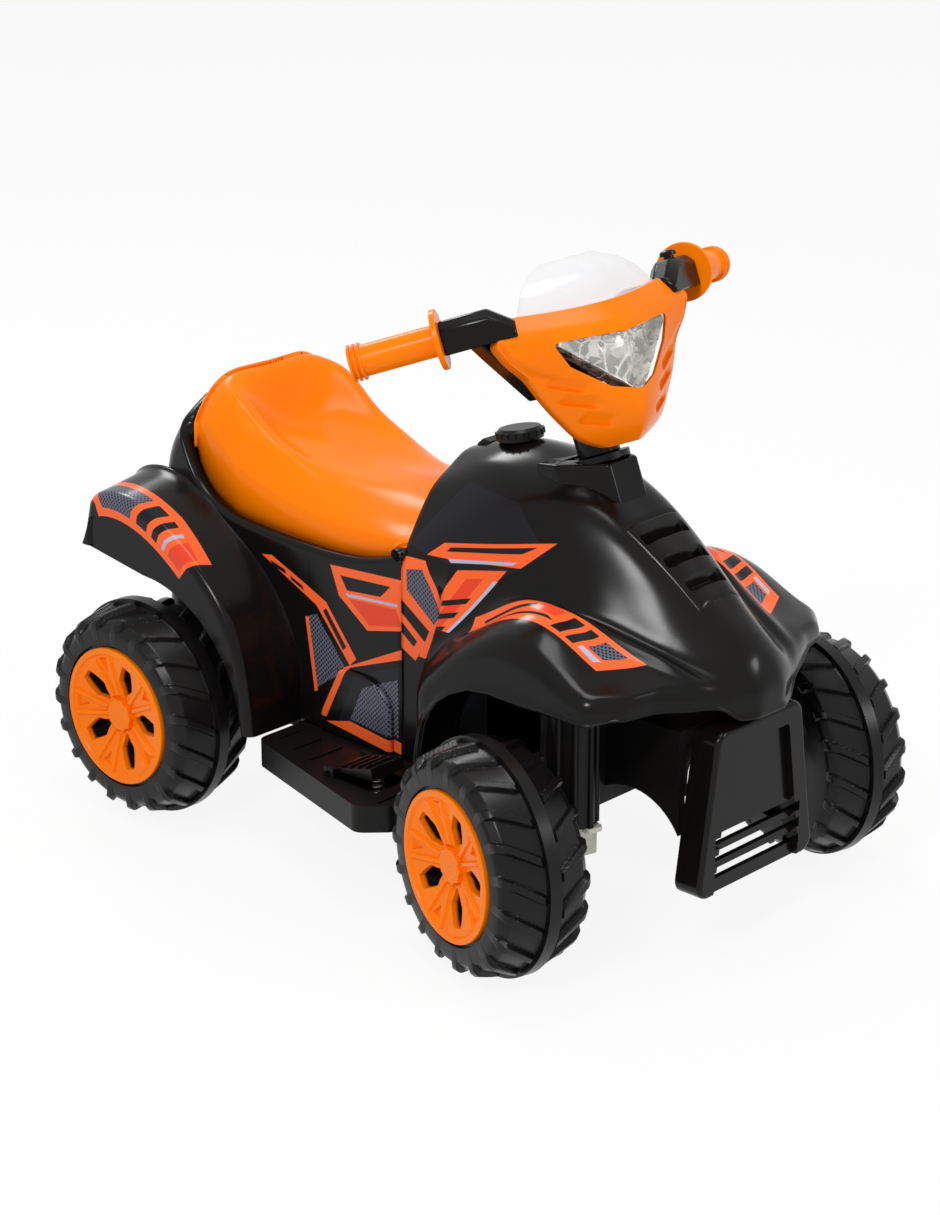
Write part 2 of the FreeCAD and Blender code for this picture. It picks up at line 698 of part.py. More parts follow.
def arch_cut(grow):
    """Space below the front fenders and ahead of their rear legs, grown by a wall."""
    points = []
    for along, up in ARCH_SHARES:
        points.append(vector(cowl_x(along) - grow, 0, BODY_BOTTOM_Z + up * ARCH_HEIGHT + grow))
    low = BODY_BOTTOM_Z - CUT_OVERRUN
    first = vector(points[0].x, 0, low)
    last = vector(points[-1].x, 0, low)
    wire = Part.Wire([
        spline(points), Part.makeLine(points[-1], last), Part.makeLine(last, first), Part.makeLine(first, points[0]),
    ])
    reach = COWL_HALF_WIDTH + CUT_OVERRUN
    return moved(Part.Face(wire).extrude(vector(0, 2 * reach, 0)), vector(0, -reach, 0))


def cowl_height(share):
    """Height of the cowl on its middle line."""
    for index in range(len(COWL_STATION_SHARES) - 1):
        low, high = COWL_STATION_SHARES[index], COWL_STATION_SHARES[index + 1]
        if low <= share <= high:
            mix = (share - low) / (high - low)
            height = COWL_HEIGHT_SHARES[index][0] * (1 - mix) + COWL_HEIGHT_SHARES[index + 1][0] * mix
            return COWL_DATUM_Z + height * COWL_RISE
    return COWL_DATUM_Z


def cowl_slope(share):
    """Downward slope of the middle line towards the nose, in degrees."""
    near = max(share - VENT_STEP_SHARE, 0.0)
    far = share + VENT_STEP_SHARE
    return math.degrees(math.atan2(cowl_height(near) - cowl_height(far), (far - near) * COWL_LENGTH))


def on_cowl(shape, share):
    """Set a shape drawn about the origin, Z outward, onto the cowl's middle line."""
    copy = turned(shape, cowl_slope(share), ORIGIN, AXIS_Y)
    copy.translate(vector(cowl_x(share), 0, cowl_height(share)))
    return copy


def vent_tools():
    """Trays that stand behind the hood vents, and the slots that open them."""
    trays = []
    slots = []
    for index in range(VENT_COUNT):
        share = VENT_FIRST_SHARE + index * VENT_STEP_SHARE
        half = VENT_HALF_LENGTH - index * VENT_NARROWING
        width = VENT_WIDTH / 2
        rim = VENT_TRAY_WALL
        slot = prism_z([(-width, -half), (width, -half), (width, half), (-width, half)],
                       -VENT_DEPTH, CUT_OVERRUN, VENT_CORNER)
        tray = prism_z([(-width - rim, -half - rim), (width + rim, -half - rim), (width + rim, half + rim),
                        (-width - rim, half + rim)], -VENT_DEPTH - rim, -COWL_WALL / 2, VENT_CORNER)
        slots.append(on_cowl(slot, share))
        trays.append(on_cowl(tray, share))
    return trays, slots


def collar_outline(grow):
    """Corners of the flat-faced steering collar, seen along the steering axis."""
    front = COLLAR_FRONT + grow
    half = COLLAR_FRONT_HALF_WIDTH + grow
    wing = COLLAR_WING_HALF_WIDTH + grow
    back = COLLAR_BACK - grow
    return [(front, -half), (front, half), (COLLAR_WING_X, wing), (back, wing), (back, -wing), (COLLAR_WING_X, -wing)]


def collar():
    """Flat-faced steering collar that stands out of the hood."""
    return raked(prism_z(collar_outline(0.0), COLLAR_TOP - COLLAR_DEPTH, COLLAR_TOP, COLLAR_CORNER))


def cap_share():
    """Place of the tank cap along the cowl."""
    return CAP_FORWARD / COWL_LENGTH


def switch_share():
    """Place of the direction switch along the cowl."""
    return SWITCH_FORWARD / COWL_LENGTH


def switch_pocket():
    """Opening for the rocker in its frame."""
    half = SWITCH_LENGTH / 2 + SEAT_CLEARANCE
    side = SWITCH_WIDTH / 2 + SEAT_CLEARANCE
    return on_cowl(box(-half, half, -side, side, -SWITCH_BODY_DEPTH - CUT_OVERRUN, CUT_OVERRUN), switch_share())


def switch_frame():
    """Moulded frame of the rocker, with the two sockets of its pin."""
    half = SWITCH_LENGTH / 2 + SWITCH_FRAME
    side = SWITCH_WIDTH / 2 + SWITCH_FRAME
    return on_cowl(box(-half, half, -side, side, -SWITCH_BODY_DEPTH, SWITCH_FRAME / 2), switch_share())


def switch_pin(clearance):
    """Cross pin of the rocker."""
    reach = SWITCH_WIDTH / 2 + SWITCH_FRAME / 2
    pin = rod(vector(0, -reach, -SWITCH_BODY_DEPTH / 2), vector(0, reach, -SWITCH_BODY_DEPTH / 2),
              SWITCH_PIN_RADIUS + clearance)
    return on_cowl(pin, switch_share())


def make_front_cowl():
    """Hood, tank, front fenders and steering collar as one thin moulding."""
    low = BODY_BOTTOM_Z
    high = COWL_DATUM_Z + COWL_RISE + CUT_OVERRUN
    outer = cowl_block(0.0, low).common(cowl_plan(0.0, low, high))
    inner = cowl_block(COWL_WALL, low - CUT_OVERRUN).common(cowl_plan(COWL_WALL, low - CUT_OVERRUN, high))
    rear = cowl_x(0.0)
    opening = box(rear - CUT_OVERRUN, rear + COWL_WALL + CUT_OVERRUN / 2, COWL_WALL - COWL_HALF_WIDTH * 0.65,
                  COWL_HALF_WIDTH * 0.65 - COWL_WALL, low - CUT_OVERRUN, high)
    opening = opening.common(cowl_block(COWL_WALL, low - CUT_OVERRUN))
    arch = arch_cut(0.0)
    skin = outer.cut(arch).cut(inner).cut(opening)
    leg_zone = box(cowl_x(0.0), cowl_x(ARCH_SHARES[4][0]), -COWL_HALF_WIDTH, COWL_HALF_WIDTH, low, high)
    leg = outer.common(arch_cut(COWL_WALL)).cut(arch).common(leg_zone)
    centre = COWL_HALF_WIDTH * COWL_PLAN_SHARES[-1][1] - COWL_WALL
    leg = leg.cut(box(rear - CUT_OVERRUN, cowl_x(1.0), -centre, centre, low - CUT_OVERRUN, high))
    trays, slots = vent_tools()
    neck = collar().cut(cowl_block(COWL_WALL, low))
    shell = skin.fuse([leg, neck, switch_frame()] + trays)
    bore = raked(rod(vector(0, 0, -COLLAR_DEPTH - CUT_OVERRUN), vector(0, 0, CUT_OVERRUN), NECK_RING_SPIGOT_RADIUS))
    ring_seat = raked(rod(vector(0, 0, COLLAR_TOP), vector(0, 0, COLLAR_TOP + 2 * CUT_OVERRUN),
                          NECK_RING_RADIUS + SEAT_CLEARANCE))
    cap_hole = on_cowl(rod(vector(0, 0, -CUT_OVERRUN), vector(0, 0, CUT_OVERRUN), CAP_SPIGOT_RADIUS), cap_share())
    shell = shell.cut(slots + [bore, ring_seat, cap_hole, switch_pocket(), switch_pin(RUNNING_CLEARANCE)])
    return shell


def make_tank_cap():
    """Ribbed dummy filler cap with its snap-in spigot."""
    top = Part.makeCylinder(CAP_RADIUS, CAP_HEIGHT)
    top = top.makeChamfer(CAP_EDGE, [edge for edge in top.Edges if edge.BoundBox.ZMin > CAP_HEIGHT / 2])
    ribs = []
    for index in range(CAP_RIBS):
        x, y = polar(CAP_RADIUS, index * 360.0 / CAP_RIBS)
        ribs.append(rod(vector(x, y, CAP_EDGE), vector(x, y, CAP_HEIGHT - CAP_EDGE), CAP_RIB_RADIUS))
    spigot = rod(vector(0, 0, -CAP_SPIGOT_LENGTH), ORIGIN, CAP_SPIGOT_RADIUS)
    cap = on_cowl(top.fuse(ribs).fuse(spigot), cap_share())
    return cap.cut(cowl_skin_keep(cap_share()))


def cowl_skin_keep(share):
    """The cowl's skin outside the spigot hole, so that a fitting seats on its curve."""
    hole = on_cowl(rod(vector(0, 0, -CUT_OVERRUN), vector(0, 0, CUT_OVERRUN), CAP_SPIGOT_RADIUS), share)
    return cowl_block(0.0, COWL_DATUM_Z).cut(hole)


def make_direction_switch():
    """Rocker with a crowned top, turning on a cross pin."""
    half = SWITCH_LENGTH / 2
    side = SWITCH_WIDTH / 2
    depth = SWITCH_BODY_DEPTH
    outline = [(-half + SWITCH_FRAME, -depth + SWITCH_FRAME), (half - SWITCH_FRAME, -depth + SWITCH_FRAME),
               (half - SWITCH_TIP_GAP, SWITCH_FRAME / 2), (0, SWITCH_CROWN), (-half + SWITCH_TIP_GAP, SWITCH_FRAME / 2)]
    rocker = on_cowl(prism_y(outline, -side, side, SEAT_CLEARANCE), switch_share())
    return rocker.fuse(switch_pin(0.0))


def body_x(share):
    """Place along the rear body, from the joint with the cowl at 0 back to the tail at 1."""
    front = cowl_x(0.0) - BODY_JOINT_GAP
    return front + share * (REAR_AXLE_X - TAIL_OVERHANG - front)


def body_level(shares, z, inset, front_run):
    """One level of the rear body's outline."""
    half = [(body_x(along), across * BODY_HALF_WIDTH) for along, across in shares]
    half[0] = (half[0][0] + front_run, half[0][1])
    outline = [vector(x, y, z) for x, y in half] + [vector(x, -y, z) for x, y in reversed(half)]
    wire = rounded_wire(outline, BODY_CORNER, (0, len(outline) - 1))
    if inset:
        wire = wire.makeOffset2D(-inset)
    return wire


def body_block(inset, overrun, front_run):
    """Solid of the rear body between its floor and its top, drawn in by an inset."""
    levels = [
        body_level(BODY_LOW_SHARES, BODY_BOTTOM_Z - overrun, inset, front_run),
        body_level(BODY_LOW_SHARES, BODY_WAIST_Z, inset, front_run),
        body_level(BODY_MIDDLE_SHARES, BODY_SHOULDER_Z, inset, front_run),
        body_level(BODY_HIGH_SHARES, BODY_TOP_Z, inset, front_run),
    ]
    if overrun:
        levels.append(body_level(BODY_HIGH_SHARES, BODY_TOP_Z + overrun, inset, front_run))
    return Part.makeLoft(levels, True, True)


def rim_region(drop, level):
    """Everything between the curve of the seat rim, lowered by a drop, and a level above or below it."""
    points = [vector(body_x(along), 0, RIM_BASE_Z + up * RIM_RISE - drop) for along, up in RIM_SHARES]
    first = vector(points[0].x, 0, level)
    last = vector(points[-1].x, 0, level)
    wire = Part.Wire([
        spline(points), Part.makeLine(points[-1], last), Part.makeLine(last, first), Part.makeLine(first, points[0]),
    ])
    reach = FENDER_HALF_WIDTH + CUT_OVERRUN
    return moved(Part.Face(wire).extrude(vector(0, 2 * reach, 0)), vector(0, -reach, 0))


def above_rim(drop):
    """Everything above the curve of the seat rim, lowered by a drop."""
    return rim_region(drop, BODY_TOP_Z + 3 * CUT_OVERRUN)


def fender_outline(inset):
    """Side outline of the right rear fender about the rear axle, its top drawn in by an inset."""
    top = []
    for along, up in FENDER_TOP_SHARES:
        reach = TAIL_OVERHANG if along > 0 else FENDER_FRONT_REACH
        point = vector(-along * reach, 0, up * FENDER_TAIL_HEIGHT)
        top.append(point * (1 - inset / point.Length))
    return [point + vector(REAR_AXLE_X, 0, AXLE_Z) for point in top]


def fender_solid(inset, y_from, y_to):
    """Fender block between the wheel arch and the outline, from one side plane to another."""
    top = [vector(point.x, y_from, point.z) for point in fender_outline(inset)]
    arch_radius = TYRE_RADIUS + FENDER_CLEARANCE - inset
    centre = vector(REAR_AXLE_X, y_from, AXLE_Z)
    low = vector(REAR_AXLE_X + arch_radius, y_from, top[-1].z)
    crest = centre + vector(0, 0, arch_radius)
    middle = centre + vector(arch_radius * math.sin(math.radians(45)), 0, arch_radius * math.cos(math.radians(45)))
    low = vector(low.x, y_from, AXLE_Z)
    tail = vector(top[0].x, y_from, AXLE_Z + FENDER_LIP_SHARE * FENDER_TAIL_HEIGHT - inset)
    toe = vector(top[-1].x, y_from, AXLE_Z)
    wire = Part.Wire([
        spline(top), Part.makeLine(top[-1], toe), Part.makeLine(toe, low), Part.Arc(low, middle, crest).toShape(),
        Part.makeLine(crest, tail), Part.makeLine(tail, top[0]),
    ])
    return Part.Face(wire).extrude(vector(0, y_to - y_from, 0))


def rear_fender():
    """Thin right rear fender with its outer wall, open towards the wheel."""
    solid = fender_solid(0.0, -FENDER_INNER_Y, -FENDER_HALF_WIDTH)
    edges = []
    for edge in solid.Edges:
        outside = edge.BoundBox.YMax < -FENDER_HALF_WIDTH + SEAT_CLEARANCE
        if outside and edge.Length > 2 * FENDER_FRONT_REACH:
            edges.append(edge)
    solid = solid.makeFillet(FENDER_EDGE_RADIUS, edges)
    hollow = fender_solid(FENDER_WALL, -FENDER_INNER_Y + CUT_OVERRUN, -FENDER_HALF_WIDTH + FENDER_WALL)
    return solid.cut(hollow).cut(box(body_x(1.2), body_x(-0.2), -FENDER_HALF_WIDTH - CUT_OVERRUN, 0,
                                     BODY_BOTTOM_Z - CUT_OVERRUN, BODY_BOTTOM_Z))


def flank_panel():
    """Raised arched panel low on the right flank."""
    centre = body_x(PANEL_FORWARD / (body_x(0.0) - body_x(1.0)))
    face_y = -BODY_HALF_WIDTH * BODY_LOW_SHARES[1][1]
    half = PANEL_LENGTH / 2
    start = vector(centre - half, face_y, BODY_BOTTOM_Z)
    end = vector(centre + half, face_y, BODY_BOTTOM_Z)
    crown = vector(centre, face_y, BODY_BOTTOM_Z + PANEL_HEIGHT)
    left = vector(centre - half, face_y, BODY_BOTTOM_Z + PANEL_HEIGHT / 2)
    right = vector(centre + half, face_y, BODY_BOTTOM_Z + PANEL_HEIGHT / 2)
    wire = Part.Wire([Part.makeLine(start, left), spline([left, crown, right]), Part.makeLine(right, end),
                      Part.makeLine(end, start)])
    return Part.Face(wire).extrude(vector(0, -PANEL_RAISE, 0)).fuse(
        Part.Face(wire).extrude(vector(0, BODY_WALL, 0)))


def make_rear_body():
    """Seat surround with its ledge, flanks and rear fenders as one thin moulding."""
    outer = body_block(0.0, 0.0, 0.0).cut(above_rim(0.0))
    inner = body_block(BODY_WALL, CUT_OVERRUN, CUT_OVERRUN)
    shell = outer.cut(inner)
    band = body_block(BODY_WALL / 2, 0.0, 0.0).cut(above_rim(LEDGE_DROP))
    band = band.cut(moved(band, vector(0, 0, -LEDGE_THICKNESS)))
    band = band.cut(body_block(BODY_WALL + LEDGE_WIDTH, CUT_OVERRUN, LEDGE_WIDTH + CUT_OVERRUN))
    clear = box(body_x(1.2), REAR_AXLE_X + TUB_CLEAR_FORWARD, -BODY_HALF_WIDTH - CUT_OVERRUN,
                BODY_HALF_WIDTH + CUT_OVERRUN, BODY_BOTTOM_Z - CUT_OVERRUN, TUB_CLEAR_Z)
    shell = shell.fuse(band).cut(clear)
    fender = rear_fender().cut(body_block(BODY_WALL, CUT_OVERRUN, CUT_OVERRUN))
    panel = flank_panel()
    body = shell.fuse([fender, mirrored(fender), panel, mirrored(panel)] + screw_bosses())
    return body.cut(screw_holes())


def screw_bosses():
    """Bosses inside the flanks that take the body screws."""
    bosses = []
    for place in screw_places():
        foot = vector(place.x, place.y, BODY_BOTTOM_Z)
        bosses.append(rod(foot, foot + vector(0, 0, 2 * SCREW_LENGTH), SCREW_BOSS_RADIUS))
    return bosses


def screw_holes():
    """Holes for the body screws."""
    return [rod(place - vector(0, 0, CUT_OVERRUN), place + vector(0, 0, SCREW_LENGTH), SCREW_RADIUS)
            for place in screw_places()]


def seat_x(share):
    """Place along the saddle, from its front edge below the tank at 0 to its tail at 1."""
    return cowl_x(0.0) + SEAT_FRONT_OVERLAP - share * SEAT_LENGTH


def seat_hollow():
    """Open space below the saddle's pan."""
    top = []
    for share, row in list(zip(SEAT_STATION_SHARES, SEAT_HEIGHT_SHARES))[1:-1]:
        lowest = min(row[:SEAT_HOLLOW_COLUMN + 1])
        top.append((seat_x(share), SEAT_DATUM_Z + lowest * SEAT_RISE - SEAT_WALL))
    low = SEAT_DATUM_Z - 2 * CUT_OVERRUN
    half = SEAT_WIDTH_SHARES[SEAT_HOLLOW_COLUMN] * SEAT_HALF_WIDTH
    return prism_y([(top[0][0], low)] + top + [(top[-1][0], low)], -half, half)


def make_seat():
    """Saddle with a dished pan, a raised tail and deep sides, trimmed to sit on its ledge and open below."""
    stations = [seat_x(share) for share in SEAT_STATION_SHARES]
    widths = [share * SEAT_HALF_WIDTH for share in SEAT_WIDTH_SHARES]
    heights = [[SEAT_DATUM_Z + share * SEAT_RISE for share in row] for row in SEAT_HEIGHT_SHARES]
    low = SEAT_DATUM_Z - CUT_OVERRUN
    saddle = sculpted_block(stations, widths, heights, low)
    saddle = saddle.common(body_block(BODY_WALL + SEAT_CLEARANCE, CUT_OVERRUN, 2 * CUT_OVERRUN))
    saddle = saddle.cut(rim_region(LEDGE_DROP, BODY_BOTTOM_Z))
    front_part = saddle.common(box(cowl_x(0.0), cowl_x(1.0), -COWL_HALF_WIDTH, COWL_HALF_WIDTH,
                                   low, SEAT_DATUM_Z + 2 * SEAT_RISE))
    saddle = saddle.cut(front_part.cut(cowl_block(COWL_WALL + SEAT_CLEARANCE, low)))
    return saddle.cut(seat_hollow())


# Chassis

def footboard():
    """Right footboard: a plate with a skirt, widening forwards, and its tread lines."""
    rear = REAR_AXLE_X + BOARD_REAR_FORWARD
    front = FRONT_AXLE_X - BOARD_FRONT_BACK
    outline = [(rear, -TUB_HALF_WIDTH), (rear, -BOARD_REAR_Y), (front - BOARD_NOSE, -BOARD_FRONT_Y),
               (front, -BOARD_FRONT_Y + BOARD_NOSE), (front, -TUB_HALF_WIDTH)]
    low = BOARD_Z - BOARD_SKIRT
    corners = [vector(x, y, low) for x, y in outline]
    wire = rounded_wire(corners, BOARD_CORNER)
    solid = Part.Face(wire).extrude(vector(0, 0, BOARD_SKIRT))
    hollow = Part.Face(wire.makeOffset2D(-BOARD_THICKNESS)).extrude(vector(0, 0, BOARD_SKIRT - BOARD_THICKNESS))
    board = solid.cut(hollow)
    lines = []
    span = front - rear - 2 * TREAD_MARGIN
    for index in range(TREAD_COUNT):
        x = rear + TREAD_MARGIN + span * index / (TREAD_COUNT - 1)
        edge = BOARD_REAR_Y + (BOARD_FRONT_Y - BOARD_REAR_Y) * (x - rear) / (front - rear)
        lines.append(box(x, x + TREAD_WIDTH, -edge + TREAD_MARGIN, -BODY_HALF_WIDTH - TREAD_MARGIN,
                         BOARD_Z, BOARD_Z + TREAD_HEIGHT))
    return board, lines


def pedal_frame(shape):
    """Set a shape drawn about the pedal's hinge onto the right footboard."""
    return moved(shape, vector(FRONT_AXLE_X - PEDAL_BACK - PEDAL_LENGTH, -PEDAL_Y, BOARD_Z + PEDAL_PIN_RADIUS))


def pedal_well():
    """Opening in the right footboard below the pedal."""
    half = PEDAL_WIDTH / 2 + PEDAL_GAP
    return pedal_frame(box(PEDAL_PIN_RADIUS * 2, PEDAL_LENGTH + PEDAL_GAP, -half, half,
                           -BOARD_SKIRT - CUT_OVERRUN, CUT_OVERRUN))


def pedal_zone():
    """Area of the footboard kept free of tread lines."""
    half = PEDAL_WIDTH / 2 + 3 * SPRING_RADIUS
    return pedal_frame(box(-TREAD_MARGIN, PEDAL_LENGTH + TREAD_MARGIN, -half, half, -TREAD_MARGIN, TREAD_MARGIN))


def pedal_ears():
    """Two lugs on the footboard that carry the pedal's pin, with the shelf below it."""
    half = PEDAL_WIDTH / 2 + PEDAL_GAP
    ears = []
    for side in (-1, 1):
        inner = side * half
        outer = side * (half + BOARD_THICKNESS)
        ear = box(-2 * PEDAL_PIN_RADIUS, 2 * PEDAL_PIN_RADIUS, min(inner, outer), max(inner, outer),
                  -PEDAL_PIN_RADIUS - BOARD_THICKNESS / 2, 2 * PEDAL_PIN_RADIUS)
        ears.append(ear.cut(rod(vector(0, -2 * half, 0), vector(0, 2 * half, 0),
                                PEDAL_PIN_RADIUS + RUNNING_CLEARANCE)))
    top = -PEDAL_PIN_RADIUS
    deep = top - PEDAL_WELL_DEPTH
    tray = box(0, PEDAL_LENGTH + PEDAL_GAP + BOARD_THICKNESS, -half - BOARD_THICKNESS, half + BOARD_THICKNESS,
               deep - BOARD_THICKNESS, top - BOARD_THICKNESS / 2)
    tray = tray.cut(box(BOARD_THICKNESS, PEDAL_LENGTH + PEDAL_GAP, -half, half, deep, CUT_OVERRUN))
    return [pedal_frame(ear) for ear in ears] + [pedal_frame(tray)]


def tower(side):
    """Fluted kingpin tower of one side."""
    y = side * KINGPIN_Y
    base = vector(FRONT_AXLE_X, y, KNUCKLE_TOP + SEAT_CLEARANCE)
    top = vector(FRONT_AXLE_X, y, TOWER_TOP)
    post = rod(base, top, TOWER_RADIUS)
    ribs = []
    for index in range(TOWER_RIBS):
        x, across = polar(TOWER_RADIUS, index * 360.0 / TOWER_RIBS)
        offset = vector(x, across, 0)
        ribs.append(rod(base + offset, top + offset, TOWER_RIB_RADIUS))
    inner = side * FRAME_HALF_WIDTH
    outer = side * KINGPIN_Y
    web = box(FRONT_AXLE_X - WEB_THICKNESS / 2, FRONT_AXLE_X + WEB_THICKNESS / 2, min(inner, outer),
              max(inner, outer), KNUCKLE_TOP + WEB_THICKNESS, FRAME_TOP_Z)
    return post.fuse(ribs + [web])


def front_frame():
    """Open box between the towers that carries the bumper, with arched sides."""
    front = FRONT_AXLE_X + FRAME_FRONT_REACH
    rear = FRONT_AXLE_X - FRAME_REAR_REACH
    half = FRAME_HALF_WIDTH
    frame = box(rear, front, -half, half, FLOOR_Z, FRAME_TOP_Z)
    frame = frame.cut(box(rear - CUT_OVERRUN, front - FLOOR_WALL, FLOOR_WALL - half, half - FLOOR_WALL,
                          FLOOR_Z - CUT_OVERRUN, FRAME_TOP_Z - FLOOR_WALL))
    centre_x = FRONT_AXLE_X + FRAME_ARCH_FORWARD
    arch = rod(vector(centre_x, -half - CUT_OVERRUN, FRAME_ARCH_Z), vector(centre_x, half + CUT_OVERRUN, FRAME_ARCH_Z),
               FRAME_ARCH_RADIUS)
    below = box(centre_x - FRAME_ARCH_RADIUS, centre_x + FRAME_ARCH_RADIUS, -half - CUT_OVERRUN, half + CUT_OVERRUN,
                FLOOR_Z - CUT_OVERRUN, FRAME_ARCH_Z)
    window = box(front - 2 * FLOOR_WALL, front + CUT_OVERRUN, 2 * FLOOR_WALL - half, half - 2 * FLOOR_WALL,
                 FLOOR_Z - CUT_OVERRUN, FRAME_TOP_Z - 3 * FLOOR_WALL)
    return frame.cut([arch, below, window])


def shaft_point(level):
    """Point of the steering axis at a level along it."""
    angle = math.radians(RAKE)
    return vector(NECK_X - level * math.sin(angle), 0, NECK_Z + level * math.cos(angle))


def shaft_socket():
    """Post on the front frame with the socket that carries the foot of the steering shaft."""
    socket = raked(rod(vector(0, 0, SHAFT_BOTTOM - SOCKET_FLOOR), vector(0, 0, SHAFT_BOTTOM + SOCKET_LENGTH),
                       SOCKET_RADIUS))
    foot = shaft_point(SHAFT_BOTTOM)
    post = box(foot.x + SHAFT_RADIUS / 2, foot.x + SHAFT_RADIUS / 2 + POST_DEPTH, -POST_HALF_WIDTH, POST_HALF_WIDTH,
               FRAME_TOP_Z - FLOOR_WALL, foot.z + SOCKET_LENGTH / 2)
    bore = raked(rod(vector(0, 0, SHAFT_BOTTOM - SEAT_CLEARANCE), vector(0, 0, SHAFT_BOTTOM + 2 * SOCKET_LENGTH),
                     SHAFT_RADIUS + RUNNING_CLEARANCE))
    return socket.fuse(post).cut(bore)


def tub():
    """Floor tub below the seat and the narrower keel that carries the rear axle."""
    front = FRONT_AXLE_X - TUB_FRONT_REACH
    rear = REAR_AXLE_X + TUB_REAR_REACH
    wide = TUB_HALF_WIDTH
    wall = FLOOR_WALL
    body = box(rear, front, -wide, wide, FLOOR_Z, TUB_TOP_Z)
    body = body.cut(box(rear + wall, front - wall, wall - wide, wide - wall, FLOOR_Z + wall, TUB_TOP_Z + CUT_OVERRUN))
    tail = REAR_AXLE_X - KEEL_OVERHANG
    narrow = KEEL_HALF_WIDTH
    keel = box(tail, rear + wall, -narrow, narrow, FLOOR_Z, TUB_TOP_Z)
    keel = keel.cut(box(tail + wall, rear, wall - narrow, narrow - wall, FLOOR_Z + wall, TUB_TOP_Z + CUT_OVERRUN))
    bearings = []
    for side in (-1, 1):
        inner = vector(REAR_AXLE_X, side * (narrow - 2 * wall), AXLE_Z)
        outer = vector(REAR_AXLE_X, side * narrow, AXLE_Z)
        bearings.append(rod(inner, outer, BEARING_RADIUS))
    for x in (REAR_AXLE_X, compound_centre().x):
        place = vector(x, -narrow, AXLE_Z - BEARING_RADIUS / 2)
        bearings.append(rod(place, vector(x, -CASE_INNER_Y, place.z), BEARING_RADIUS / 2))
    return body.fuse([keel] + bearings)


def screw_places():
    """Points below the footboards where the body is screwed on."""
    rear = REAR_AXLE_X + BOARD_REAR_FORWARD
    front = FRONT_AXLE_X - BOARD_FRONT_BACK
    places = []
    for side in (-1, 1):
        for x in (rear + TREAD_MARGIN, front - SCREW_SETBACK):
            places.append(vector(x, side * SCREW_Y, BOARD_Z - BOARD_THICKNESS))
    return places


def make_chassis():
    """Floor tub, footboards, kingpin towers and front frame as one moulding."""
    board, lines = footboard()
    right_lines = [line.cut(pedal_zone()) for line in lines]
    right = board.fuse(pedal_ears()).cut(pedal_well_opening()).fuse([line for line in right_lines if line.Volume > 0])
    left = mirrored(board).fuse([mirrored(line) for line in lines])
    frame = tub().fuse([right, left, front_frame(), shaft_socket(), tower(-1), tower(1)])
    reach = REAR_HALF_TRACK
    axle_bore = rod(vector(REAR_AXLE_X, -reach, AXLE_Z), vector(REAR_AXLE_X, reach, AXLE_Z), AXLE_DIAMETER / 2)
    cuts = [axle_bore]
    for side in (-1, 1):
        low = vector(FRONT_AXLE_X, side * KINGPIN_Y, AXLE_Z)
        high = vector(FRONT_AXLE_X, side * KINGPIN_Y, TOWER_TOP + CUT_OVERRUN)
        cuts.append(rod(low, high, AXLE_DIAMETER / 2 + RUNNING_CLEARANCE))
    return frame.cut(cuts + screw_holes())


def pedal_well_opening():
    """Hole through the footboard's plate above the pedal's tray."""
    half = PEDAL_WIDTH / 2 + PEDAL_GAP
    return pedal_frame(box(BOARD_THICKNESS, PEDAL_LENGTH + PEDAL_GAP, -half, half,
                           -PEDAL_PIN_RADIUS - BOARD_THICKNESS - PEDAL_GAP, -PEDAL_PIN_RADIUS + SEAT_CLEARANCE))


def make_front_bumper():
    """Tapered bumper frame with a sunken panel and three slots below it."""
    front = FRONT_AXLE_X + FRAME_FRONT_REACH + BUMPER_DEPTH
    back = FRONT_AXLE_X + FRAME_FRONT_REACH
    low, high = BUMPER_BOTTOM_Z, BUMPER_TOP_Z
    wide, narrow = BUMPER_BOTTOM_HALF_WIDTH, BUMPER_TOP_HALF_WIDTH
    solid = prism_x([(-wide, low), (wide, low), (narrow, high), (-narrow, high)], back, front, BUMPER_CORNER)
    edges = [edge for edge in solid.Edges if edge.BoundBox.XMin > front - SEAT_CLEARANCE]
    solid = solid.makeFillet(BUMPER_EDGE, edges)
    wall = BUMPER_WALL
    frame = BUMPER_FRAME
    hollow = prism_x([(wall - wide, low - wall), (wide - wall, low - wall), (narrow - wall, high - wall),
                      (wall - narrow, high - wall)], back - CUT_OVERRUN, front - wall - BUMPER_RECESS, BUMPER_CORNER)
    recess = prism_x([(frame - wide, low - CUT_OVERRUN), (wide - frame, low - CUT_OVERRUN),
                      (narrow - frame, high - frame), (frame - narrow, high - frame)],
                     front - BUMPER_RECESS, front + CUT_OVERRUN, BUMPER_EDGE)
    slots = []
    for index in range(BUMPER_SLOTS):
        z = low + BUMPER_FOOT + index * (BUMPER_SLOT_HEIGHT + BUMPER_BAR_HEIGHT)
        slots.append(box(back - CUT_OVERRUN, front + CUT_OVERRUN, frame - wide + BUMPER_EDGE,
                         wide - frame - BUMPER_EDGE, z, z + BUMPER_SLOT_HEIGHT))
    return solid.cut([hollow, recess] + slots)


# Axles and steering linkage

def axle_end(half_track):
    """How far an axle reaches past the middle of its wheel's track."""
    return half_track + HUB_OUTER_REACH + SEAT_CLEARANCE + PUSH_NUT_THICKNESS + AXLE_TIP


def make_rear_axle():
    """Plain steel axle through the keel."""
    reach = axle_end(REAR_HALF_TRACK)
    return rod(vector(REAR_AXLE_X, -reach, AXLE_Z), vector(REAR_AXLE_X, reach, AXLE_Z), AXLE_DIAMETER / 2)


